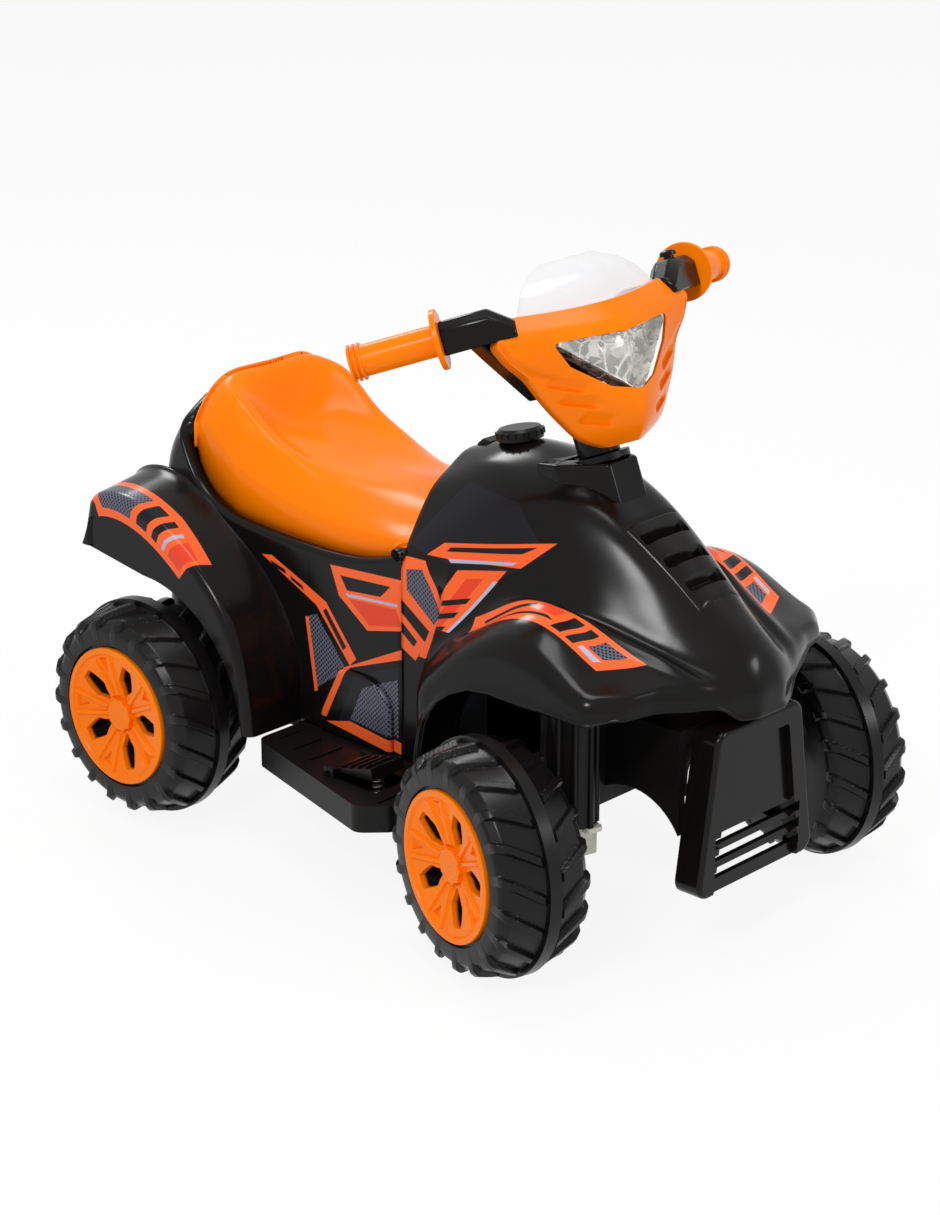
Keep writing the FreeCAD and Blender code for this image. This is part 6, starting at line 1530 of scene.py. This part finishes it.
    def build(self) -> None:
        """Makes the yoke with its blocks and stem, both grips and the horn button."""
        black, orange = Palette.get(Finish.BODY), Palette.get(Finish.ORANGE)
        circle = self.circle(self.stem_steps)
        stem = self.upright(tuple((level, self.stem_radius) for level in self.stem), circle)
        sheets = [self.block(1), self.block(-1), self.arm(1), self.arm(-1), self.closed(stem)]
        make_piece("bar_yoke", sheets, "steering_column", black, sharp=self.crisp,
                   replaces=("handlebar",), bevel=self.yoke_round)
        for side, node in ((-1, "grip_right"), (1, "grip_left")):
            make_piece(node + "_sleeve", [self.grip(side)], "steering_column", orange,
                       sharp=self.crisp, replaces=(node,), bevel=self.grip_round)
        base = self.block_half_height + self.horn_lift
        profile = tuple((base + up, radius) for up, radius in self.horn_dome)
        dome = self.swept(self.upright(profile, circle, self.horn_place), 1)
        make_piece("horn_push", [self.closed(dome)], "horn", black, sharp=self.crisp,
                   replaces=("horn_button",))


@dataclass
class RearBody:
    """Seat surround, flanks and tail: outlines blended through levels, and a rolled rim along the seat."""
    front: float = 18.85
    tail: float = -323.65
    half_width: float = 104.0
    floor: float = 105.0
    tail_floor: float = 128.0
    tail_from: float = -146.65
    corner: float = 26.0
    levels: tuple[float, ...] = (105.0, 200.0, 262.0, 325.0, 376.0)
    low: Places = ((0.0, 0.93), (0.33, 0.95), (0.62, 0.99), (0.88, 0.92), (0.99, 0.50))
    middle: Places = ((0.0, 0.93), (0.33, 0.95), (0.62, 0.98), (0.86, 0.90), (0.95, 0.46))
    high: Places = ((0.0, 0.93), (0.33, 0.95), (0.58, 0.95), (0.76, 0.86), (0.82, 0.46))
    rim: Places = (
        (-0.06, 0.30), (0.0, 0.22), (0.11, 0.10), (0.33, 0.04), (0.515, 0.07),
        (0.68, 0.17), (0.76, 0.35), (0.81, 0.62), (0.845, 0.88), (0.90, 1.06), (1.06, 1.12),
    )
    rim_base: float = 268.0
    rim_rise: float = 108.0
    rim_width: float = 13.0
    rim_roll: float = 6.0
    rim_drop: float = 14.0
    rim_room: float = 6.0
    halvings: int = 40
    wall_steps: int = 46
    plug_from: int = 40
    panel_middle: float = -35.15
    panel_half: float = 44.0
    panel_height: float = 66.0
    panel_raise: float = 4.0
    panel_roll: float = 5.0
    panel_root: float = 0.945
    panel_grid: tuple[int, int] = (41, 61)
    panel_spacing: float = 0.8
    shoulder_from: float = 0.5
    panel_shoulder: float = 2.4

    def x(self, share: Union[float, Array]) -> Union[float, Array]:
        """Place along the body."""
        return self.front + share * (self.tail - self.front)

    def path(self, shares: Places) -> Array:
        """Plan outline of one level from the right front round the tail to the left front.

        Args:
            shares: corners as shares of length and half width.

        Returns:
            Plan points.
        """
        half = np.array([(self.x(along), across * self.half_width) for along, across in shares])
        corners = np.concatenate([half * (1, -1), half[::-1]])
        return rounded_path(corners, self.corner, closed=False, arc=13, run=18)

    def wall(self, z: Array) -> Array:
        """Plan places at heights z, a row for each point of the outline: a cubic through the levels.

        Args:
            z: heights.

        Returns:
            Plan points, one for each height.
        """
        low = self.path(self.low)
        table = np.stack([low, low, low, self.path(self.middle), self.path(self.high)])
        flat = [cubic(z.ravel(), self.levels, np.repeat(table[..., axis], z.shape[1], axis=1))
                for axis in (0, 1)]
        return np.stack(flat, axis=-1).reshape(*z.shape, 2)

    def rim_z(self, x: Array) -> Array:
        """Height of the rim's crest along the body.

        Args:
            x: places along the toy.

        Returns:
            Heights.
        """
        shares = np.array(self.rim)
        along = (np.ravel(x) - self.front) / (self.tail - self.front)
        return (self.rim_base + self.rim_rise * cubic(along, shares[:, 0], shares[:, 1])).reshape(np.shape(x))

    def crest(self) -> tuple[Array, Array]:
        """Plan place and height where the wall meets the rim's curve, found by halving.

        Returns:
            Plan points and heights.
        """
        count = len(self.path(self.low))
        under, over = np.full(count, self.floor), np.full(count, self.levels[-1] + self.rim_room)
        for _ in range(self.halvings):
            half = (under + over) / 2
            below = self.rim_z(self.wall(half[:, None])[:, 0, 0]) > half
            under, over = np.where(below, half, under), np.where(below, over, half)
        return self.wall(under[:, None])[:, 0], under

    def inward(self, place: Array) -> Array:
        """Unit normals of the plan outline that point to the seat; both ends take their neighbours'.

        Args:
            place: plan points.

        Returns:
            One normal per point.
        """
        normal = outward(place)
        normal[:3], normal[-3:] = normal[3], normal[-4]
        return normal

    def skin(self) -> Sheet:
        """Grid from the lower edge up the wall, over the rolled rim and down inside it, with closed ends.

        Returns:
            The grid.
        """
        place, top = self.crest()
        floor = np.where(place[:, 0] > self.tail_from, self.floor, self.tail_floor)
        rise = floor[:, None] + (top - self.rim_roll - floor)[:, None] * spread(self.wall_steps)[None]
        wall = np.concatenate([self.wall(rise), rise[..., None]], axis=2)
        roll, turn = self.rim_roll, spread(8) * QUARTER_TURN
        inset = np.concatenate([roll * (1 - np.cos(turn)), self.rim_width - roll + roll * np.sin(turn),
                                [self.rim_width]])
        drop = np.concatenate([roll * (np.sin(turn) - 1), roll * (np.cos(turn) - 1), [-self.rim_drop]])
        edge = wall[:, -1, :2]
        flat = edge[:, None] + self.inward(edge)[:, None] * inset[None, :, None]
        cap = np.concatenate([flat, (top[:, None] + drop[None])[..., None]], axis=2)
        grid = np.concatenate([wall, cap], axis=1)
        plug = grid[[0, -1]].copy()
        plug[:, self.plug_from:] = cap[[0, -1], -1:]
        return Sheet(np.concatenate([plug[:1], grid, plug[1:]]))

    def panel(self) -> Sheet:
        """Raised arched panel on the right flank: rows of an arch, rolled at its edge.

        Returns:
            The grid.
        """
        rows, columns = self.panel_grid
        side, rise = spread(columns, -1.0, 1.0)[None], spread(rows)[:, None] ** self.panel_spacing
        shoulder = (rise - self.shoulder_from) / (1 - self.shoulder_from)
        taper = np.clip(shoulder, 0, None) ** self.panel_shoulder
        half = self.panel_half * np.minimum(1.0, np.sqrt(np.clip(1 - taper, 0, 1)))
        edge = np.minimum(half * (1 - np.abs(side)), self.panel_height * (1 - rise))
        out = self.panel_raise * quarter(np.clip(edge / self.panel_roll, 0, 1))
        z = np.broadcast_to(self.floor + self.panel_height * rise, edge.shape)
        y = -self.half_width * self.panel_root - out
        return Sheet(np.stack([self.panel_middle + half * side, y, z], axis=2))

    def build(self) -> None:
        """Makes the surround with its panels."""
        finish, panel = Palette.get(Finish.FLANK), self.panel()
        make_piece("seat_surround", [self.skin()], "frame", finish, wall=3.0, sharp=50.0,
                   replaces=("rear_body",))
        make_piece("flank_panels", [panel, mirror(panel)], "frame", finish, wall=2.0,
                   sharp=50.0)


@dataclass
class RearFender:
    """Rear fender: a crest line over the wheel with a filleted root, rolled edge, wall and turned lip."""
    axle_x: float = -242.65
    axle_z: float = 100.0
    overhang: float = 81.0
    front_reach: float = 135.0
    height: float = 146.0
    arch_radius: float = 124.0
    root: float = 96.0
    outer: float = 160.0
    edge: float = 9.0
    crown: float = 8.0
    fillet: float = 3.0
    fillet_decay: float = 15.0
    toe: float = 60.0
    lip: float = 6.0
    foot: float = 5.0
    tail_lip: float = 0.93
    tail_points: int = 12
    tail_gap: float = 6.0
    shares: Places = (
        (1.0, 1.11), (0.90, 1.235), (0.60, 1.31), (0.01, 1.275),
        (-0.42, 1.08), (-0.79, 0.75), (-0.925, 0.48), (-1.0, 0.03),
    )
    rows: int = 170
    columns: int = 34
    curve_points: int = 300
    wall_steps: int = 11

    def crest(self) -> Array:
        """Side outline (x, z) from the tail's lower lip up over the wheel to the front foot.

        Returns:
            Points (x, z).
        """
        points = np.array([(-along * (self.overhang if along > 0 else self.front_reach), up * self.height)
                           for along, up in self.shares]) + (self.axle_x, self.axle_z)
        chord = travel(points)
        want = spread(self.curve_points, 0.0, chord[-1])
        curve = np.stack([cubic(want, chord, points[:, axis]) for axis in (0, 1)], axis=1)
        low, high = self.axle_z + self.tail_lip * self.height, points[0, 1] - self.tail_gap
        count = self.tail_points
        tail = np.stack([np.full(count, points[0, 0]), spread(count, low, high)], axis=1)
        return resampled(np.concatenate([tail, curve[count:]]), self.rows)

    def arch(self, crest: Array) -> Array:
        """Lower edge below each crest point: straight from the tail to the axle, then round the wheel.

        Args:
            crest: points of the crest.

        Returns:
            One point (x, z) for each.
        """
        lip = self.tail_lip * self.height - self.arch_radius
        back = np.clip((crest[:, 0] - self.axle_x) / -self.overhang, 0, 1)
        straight = np.stack([crest[:, 0], self.axle_z + self.arch_radius + lip * back], axis=1)
        turn = np.arctan2(crest[:, 0] - self.axle_x, np.maximum(crest[:, 1] - self.axle_z, 0.0))
        centre = np.array([self.axle_x, self.axle_z])
        bow = centre + self.arch_radius * np.stack([np.sin(turn), np.cos(turn)], axis=1)
        return np.where((crest[:, 0] < self.axle_x)[:, None], straight, bow)

    def across(self, share: Array) -> Array:
        """Lift of the skin above the crest line, from the filleted root at 0 to the edge at 1."""
        return self.crown * (1 - share) + self.fillet * np.exp(-share * self.fillet_decay)

    def skin(self) -> Sheet:
        """Grid across the right fender: root, top, rolled edge, wall and lip; texture places are lengths.

        Returns:
            The grid.
        """
        crest = self.crest()
        low = self.arch(crest)
        share, turn = spread(self.columns), ROLL
        flat_y = self.root + (self.outer - self.edge - self.root) * share
        roll_y = self.outer - self.edge + self.edge * np.sin(turn)
        lift = np.concatenate([self.across(share), self.across(np.ones(1)) - self.edge * (1 - np.cos(turn))])
        side = -np.concatenate([flat_y, roll_y])
        toe = np.clip((crest[:, 1] - self.axle_z) / self.toe, 0, 1)[:, None]
        raised = lift[None] * np.where(lift > 0, toe, 1.0)
        spot = crest[:, None] - outward(crest)[:, None] * raised[..., None]
        top = np.stack([spot[..., 0], np.broadcast_to(side[None], spot.shape[:2]), spot[..., 1]], axis=2)
        fall = spread(self.wall_steps + 1)[1:]
        wall = top[:, -1:, ::2] + (low[:, None] - top[:, -1:, ::2]) * fall[None, :, None]
        hang = np.stack([wall[..., 0], np.full(wall.shape[:2], -self.outer), wall[..., 1]], axis=2)
        lip = np.stack([low[:, 0], np.full(len(low), self.lip - self.outer), low[:, 1]], axis=1)[:, None]
        grid = np.concatenate([top, hang, lip], axis=1)
        grid[..., 2] = np.maximum(grid[..., 2], self.axle_z + self.foot)
        wide = np.cumsum(np.linalg.norm(np.diff(grid, axis=1, prepend=grid[:, :1]), axis=2), axis=1)
        along = np.broadcast_to(travel(crest)[:, None], wide.shape)
        return Sheet(grid, uv=np.stack([along, wide], axis=2) / PER_METRE)

    def build(self) -> None:
        """Makes both rear fenders."""
        sheet = self.skin()
        make_piece("rear_fenders", [sheet, mirror(sheet)], "frame", Palette.get(Finish.TAIL),
                   wall=3.0, sharp=50.0)


@dataclass
class Seat:
    """Saddle with a dished pan, a raised tail and deep sides, fitted inside the rim."""
    front: float = 31.35
    length: float = 322.0
    half_width: float = 100.0
    datum: float = 250.0
    rise: float = 140.0
    gap: float = 0.5
    front_gap: float = 2.0
    ledge: float = 2.0
    least_side: float = 0.5
    spine_from: float = 0.60
    spine_share: float = 0.86
    front_rows: int = 8
    columns: int = 90
    stations: tuple[float, ...] = (0.0, 0.068, 0.224, 0.41, 0.534, 0.668, 0.764, 0.82, 0.855, 0.915, 1.0)
    widths: tuple[float, ...] = (0.0, 0.25, 0.50, 0.66, 0.80, 0.90, 1.0)
    heights: tuple[tuple[float, ...], ...] = (
        (0.50, 0.49, 0.44, 0.39, 0.35, 0.32, 0.28),
        (0.515, 0.50, 0.45, 0.39, 0.35, 0.31, 0.27),
        (0.53, 0.51, 0.46, 0.40, 0.34, 0.28, 0.20),
        (0.515, 0.515, 0.515, 0.465, 0.38, 0.28, 0.10),
        (0.555, 0.56, 0.58, 0.58, 0.46, 0.34, 0.13),
        (0.605, 0.63, 0.69, 0.735, 0.61, 0.45, 0.18),
        (0.73, 0.76, 0.855, 0.89, 0.76, 0.54, 0.24),
        (0.95, 0.955, 0.955, 0.92, 0.79, 0.59, 0.28),
        (0.985, 0.985, 0.97, 0.905, 0.77, 0.58, 0.28),
        (0.90, 0.895, 0.855, 0.775, 0.645, 0.485, 0.24),
        (0.715, 0.705, 0.67, 0.60, 0.49, 0.36, 0.18),
    )

    def height(self, x: Array, y: Array) -> Array:
        """Sculpted height of the saddle.

        Args:
            x: places along the toy.
            y: places across it.

        Returns:
            Heights.
        """
        stations = self.front - np.array(self.stations)[::-1] * self.length
        table = self.datum + np.array(self.heights)[::-1] * self.rise
        return bicubic(x, y, stations, np.array(self.widths) * self.half_width, table)

    def skin(self, body: RearBody) -> Sheet:
        """Grid from the middle line out to the rim's inner side, then down to the ledge.

        Args:
            body: surround that the saddle fits into.

        Returns:
            The sheet.
        """
        crest, top = body.crest()
        edge = crest + body.inward(crest) * (body.rim_width + self.gap)
        count = self.front_rows
        ahead = [np.stack([spread(count + 1, self.front - self.front_gap, edge[end, 0])[:-1],
                           np.full(count, edge[end, 1])], axis=1) for end in (0, -1)]
        edge = np.concatenate([ahead[0], edge, ahead[1][::-1]])
        top = np.concatenate([np.full(count, top[0]), top, np.full(count, top[-1])])
        bent = body.x(self.spine_from)
        spine_x = np.where(edge[:, 0] > bent, edge[:, 0], bent + (edge[:, 0] - bent) * self.spine_share)
        spine = np.stack([spine_x, np.zeros(len(edge))], axis=1)
        place = spine[:, None] + (edge - spine)[:, None] * spread(self.columns)[None, :, None]
        z = self.height(place[..., 0], place[..., 1])
        skin = np.concatenate([place, z[..., None]], axis=2)
        low = np.minimum(top - body.rim_drop + self.ledge, z[:, -1] - self.least_side)
        fall = np.concatenate([edge, low[:, None]], axis=1)[:, None]
        return Sheet(np.concatenate([skin, fall], axis=1))

    def build(self, body: RearBody) -> None:
        """Makes the saddle."""
        make_piece("saddle", [self.skin(body)], "frame", Palette.get(Finish.ORANGE), wall=3.0,
                   sharp=60.0, replaces=("seat",), flip=True)


@dataclass
class Wheel:
    """One wheel: a blow-moulded tyre with staggered lugs, and a dished cover with windows and paired ribs.

    The profile and the cover's back are (radius, place along the axle), outwards below zero on the profile.
    """
    name: str
    x: float
    half_track: float
    side: int
    turn: float = 0.0
    axle_z: float = 100.0
    kingpin_y: float = 105.0
    half_width: float = 41.0
    profile: Places = (
        (5.0, -12.0), (60.0, -12.0), (60.0, -37.0), (66.5, -37.0), (66.5, -41.0), (78.0, -41.0),
        (81.0, -40.0), (87.0, -33.5), (93.8, -6.5), (94.2, -5.5), (99.9, -5.5), (99.9, 5.5), (94.2, 5.5),
        (93.8, 6.5), (87.0, 33.5), (81.0, 40.0), (78.0, 41.0), (62.0, 41.0), (62.0, 30.0), (16.0, 30.0),
        (16.0, 36.0), (5.0, 36.0),
    )
    core: float = 70.0
    tread: tuple[float, float, float] = (5.0, 40.5, 78.0)
    fine: float = 1.6
    coarse: float = 40.0
    tyre_steps: int = 960
    lugs: int = 19
    lug_width: float = 8.0
    lug_height: float = 4.6
    lug_skew: float = 16.0
    lug_wall: float = 0.7
    lug_foot: tuple[float, float] = (79.0, 84.0)
    lug_inner: tuple[float, float] = (6.2, 7.4)
    lug_outer: tuple[float, float] = (40.2, 40.9)
    ridge_half: float = 5.5
    skew_run: float = 40.0
    cover_steps: int = 480
    cover_rings: tuple[int, float, float] = (66, 4.0, 58.1)
    cover_radius: float = 63.4
    cover_back: Places = ((63.4, -3.8), (59.5, -3.8), (59.5, -28.0), (0.3, -28.0))
    cover_land: float = 60.0
    cover_round: float = 0.6
    rim: float = 57.5
    rim_proud: float = 2.0
    rim_step: tuple[float, float] = (56.9, 57.9)
    dish: float = 7.5
    boss: float = 15.0
    boss_rise: float = 4.5
    flutes: int = 10
    flute_depth: float = 0.7
    spokes: int = 5
    first_spoke: float = 36.0
    rib_angle: float = 11.0
    rib_height: float = 2.6
    rib_edge: tuple[float, float] = (1.3, 2.8)
    rib_ends: tuple[float, float, float] = (15.5, 19.0, 53.0)
    kite: Places = ((20.0, 5.0), (32.0, 15.0), (50.0, 6.0))
    notch: tuple[float, float, float] = (41.0, 54.0, 6.0)
    notch_depth: float = 3.0
    notch_edge: tuple[float, float] = (-0.4, 0.8)
    pit: float = 16.0
    pit_edge: tuple[float, float] = (-0.4, 0.5)

    def place(self, radius: Array, angle: Array, out: Array) -> Array:
        """Points from (radius, angle, place along the axle, outwards below zero), turned with the kingpin.

        Args:
            radius: distances from the axle.
            angle: angles about it.
            out: places along it.

        Returns:
            Points of the toy.
        """
        x = radius * np.cos(angle)
        y = self.side * (self.half_track - self.kingpin_y - out)
        turn = math.radians(self.turn)
        return np.stack([self.x + x * math.cos(turn) - y * math.sin(turn),
                         self.side * self.kingpin_y + x * math.sin(turn) + y * math.cos(turn),
                         self.axle_z + radius * np.sin(angle)], axis=-1)

    def line(self) -> Array:
        """Profile with points close together where the lugs stand.

        Returns:
            Points (radius, place along the axle).
        """
        corners = np.array(self.profile)
        parts = []
        for start, end in zip(corners[:-1], corners[1:]):
            on_tread = self.tread[0] < abs(start[1]) < self.tread[1] and start[0] > self.tread[2]
            pace = self.fine if on_tread else self.coarse
            share = spread(2 + int(np.linalg.norm(end - start) / pace))[:-1]
            parts.append(start + (end - start) * share[:, None])
        return np.concatenate([*parts, corners[-1:]])

    def tyre(self) -> Sheet:
        """Turned profile; a lug lifts the skin along its normal where its skewed centre line is near.

        Returns:
            The grid.
        """
        line = self.line()
        normal = -outward(line)
        normal *= np.sign((normal * (line - (self.core, 0.0))).sum())
        angle = spread(self.tyre_steps + 1)[:-1, None] * FULL_TURN
        radius, out = line[None, :, 0], line[None, :, 1]
        level, pitch = np.abs(out), FULL_TURN / self.lugs
        skew = math.radians(self.lug_skew) * (level - self.ridge_half) / self.skew_run
        along = angle - skew + np.where(out > 0, pitch / 2, 0.0)
        near = np.abs((along + pitch / 2) % pitch - pitch / 2) * radius
        wall = (self.lug_width / 2 - self.lug_wall, self.lug_width / 2 + self.lug_wall)
        reach = step(level, *self.lug_inner) * (1 - step(level, *self.lug_outer))
        reach = reach * step(radius, *self.lug_foot)
        lift = self.lug_height * reach * (1 - step(near, *wall))
        grid = self.place(radius + lift * normal[None, :, 0], np.broadcast_to(angle, lift.shape),
                          out + lift * normal[None, :, 1])
        return Sheet(grid, wrap_rows=True)

    def relief(self, radius: Array, angle: Array) -> tuple[Array, Array]:
        """Height of the cover's face and depth of its windows.

        Args:
            radius: distances from the axle.
            angle: angles about it.

        Returns:
            The height, with its windows and notches taken out, and the windows' depth.
        """
        sector = FULL_TURN / self.spokes
        off = np.abs((angle - math.radians(self.first_spoke) + sector / 2) % sector - sector / 2)
        spoke, away = np.degrees(off), np.degrees(sector / 2 - off)
        arc = radius * math.radians(1.0)
        dished = -self.dish * np.clip((self.rim - radius) / (self.rim - self.boss), 0, 1)
        on_boss = radius < self.boss + self.flute_depth * np.cos(self.flutes * angle)
        face = np.where(on_boss, self.boss_rise - self.dish, dished)
        face = face + self.rim_proud * step(radius, *self.rim_step)
        beside = np.abs(radius * np.sin(np.radians(spoke - self.rib_angle)))
        rib = (1 - step(beside, *self.rib_edge)) * step(radius, *self.rib_ends[:2])
        face = face + self.rib_height * rib * (1 - step(radius, self.rib_ends[2], self.rim))
        near, half = np.array(self.kite).T
        kite = np.minimum((np.interp(radius, near, half) - away) * arc,
                          np.minimum(radius - near[0], near[-1] - radius))
        start, end, wide = self.notch
        notch = np.minimum((wide * (radius - start) / (end - start) - spoke) * arc, end - radius)
        pit = self.pit * step(kite, *self.pit_edge)
        return face - pit - self.notch_depth * step(notch, *self.notch_edge) * (radius > start), pit

    def cover(self) -> Sheet:
        """Polar grid of the face, its edge and its back; the second texture place is the windows' depth.

        Returns:
            The grid.
        """
        angle = spread(self.cover_steps + 1)[:-1, None] * FULL_TURN
        back = np.array(self.cover_back)[None]
        radius = np.concatenate([[back[0, -1, 0]], spread(*self.cover_rings),
                                 [self.cover_land, self.cover_radius - self.cover_round, self.cover_radius],
                                 ])[None]
        face, pit = self.relief(*np.broadcast_arrays(radius, angle))
        face[:, -1] -= self.cover_round
        rest = (self.cover_steps, back.shape[1])
        out = np.concatenate([face, np.broadcast_to(back[..., 1], rest)], axis=1)
        radius = np.broadcast_to(np.concatenate([radius, back[..., 0]], axis=1), out.shape)
        share = np.concatenate([pit / self.pit, np.zeros(rest)], axis=1)
        grid = self.place(radius, np.broadcast_to(angle, radius.shape), -self.half_width - out)
        return Sheet(grid, wrap_rows=True, uv=np.stack([np.zeros_like(share), share], axis=2))

    def build(self) -> None:
        """Makes the tyre and its cover."""
        for part, sheet, finish, slot in (("tyre", self.tyre(), Finish.TYRE, "tyre_black"),
                                          ("cover", self.cover(), Finish.COVER, "orange_gloss")):
            node = f"{self.name}_{part}"
            make_piece(node + "_skin", [sheet], self.name + "_wheel", Palette.get(finish), sharp=32.0,
                       replaces=(node,), flip=inside_out(sheet))


def dress(node: str, finish: Finish) -> None:
    """Gives a solid its finish.

    Args:
        node: name of the solid.
        finish: finish that it gets.
    """
    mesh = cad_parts[node].data
    mesh.materials.clear()
    mesh.materials.append(Palette.get(finish))
    log.info("dressed %s", node)


@dataclass
class Solids:
    """Finishes of the solids that stay as they are."""
    finishes: dict[Finish, tuple[str, ...]] = field(default_factory=lambda: {
        Finish.BODY: ("front_cowl", "rear_body", "front_bumper", "handlebar", "horn_button",
                      "accelerator_pedal"),
        Finish.FRAME: ("chassis", "tank_cap", "direction_switch", "neck_ring", "axle_spacer", "gearbox_case",
                       "gearbox_cover", "pedal_switch"),
        Finish.ORANGE: ("seat", "grip_right", "grip_left", "front_fairing", "front_right_cover",
                        "front_left_cover", "rear_right_cover", "rear_left_cover"),
        Finish.TYRE: ("front_right_tyre", "front_left_tyre", "rear_right_tyre", "rear_left_tyre"),
        Finish.NYLON: ("right_knuckle", "left_knuckle"),
        Finish.GEAR: ("reduction_gear", "drive_gear"),
        Finish.BATTERY: ("battery",),
        Finish.LENS: ("headlight_lens", "headlight_bulb"),
        Finish.SCREEN: ("windshield",),
        Finish.MIRROR: ("headlight_reflector",),
        Finish.BRASS: ("motor_pinion",),
        Finish.STEEL: ("steering_shaft", "tie_rod", "rear_axle", "rear_push_nuts", "motor", "motor_shaft",
                       "pedal_spring", "body_screws", "right_axle_bar", "left_axle_bar", "right_steering_arm",
                       "left_steering_arm", "right_push_nut", "left_push_nut"),
    })

    def build(self) -> None:
        """Dresses every listed solid."""
        for finish, nodes in self.finishes.items():
            for node in nodes:
                dress(node, finish)


def main() -> None:
    """Builds the scene in order."""
    logging.basicConfig(level=logging.INFO, format="%(message)s")
    Camera().build()
    Studio().build()
    Solids().build()
    FrontCowl().build()
    Collar().build()
    Fairing().build()
    Handlebar().build()
    for end, x, half_track, turn in (("front", FrontCowl.axle_x, FRONT_HALF_TRACK, SteeringFrame.turn),
                                     ("rear", RearFender.axle_x, REAR_HALF_TRACK, 0.0)):
        for hand, side in (("right", -1), ("left", 1)):
            Wheel(f"{end}_{hand}", x, half_track, side, turn).build()
    body = RearBody()
    body.build()
    RearFender().build()
    Seat().build(body)


if __name__ == "__main__":
    main()
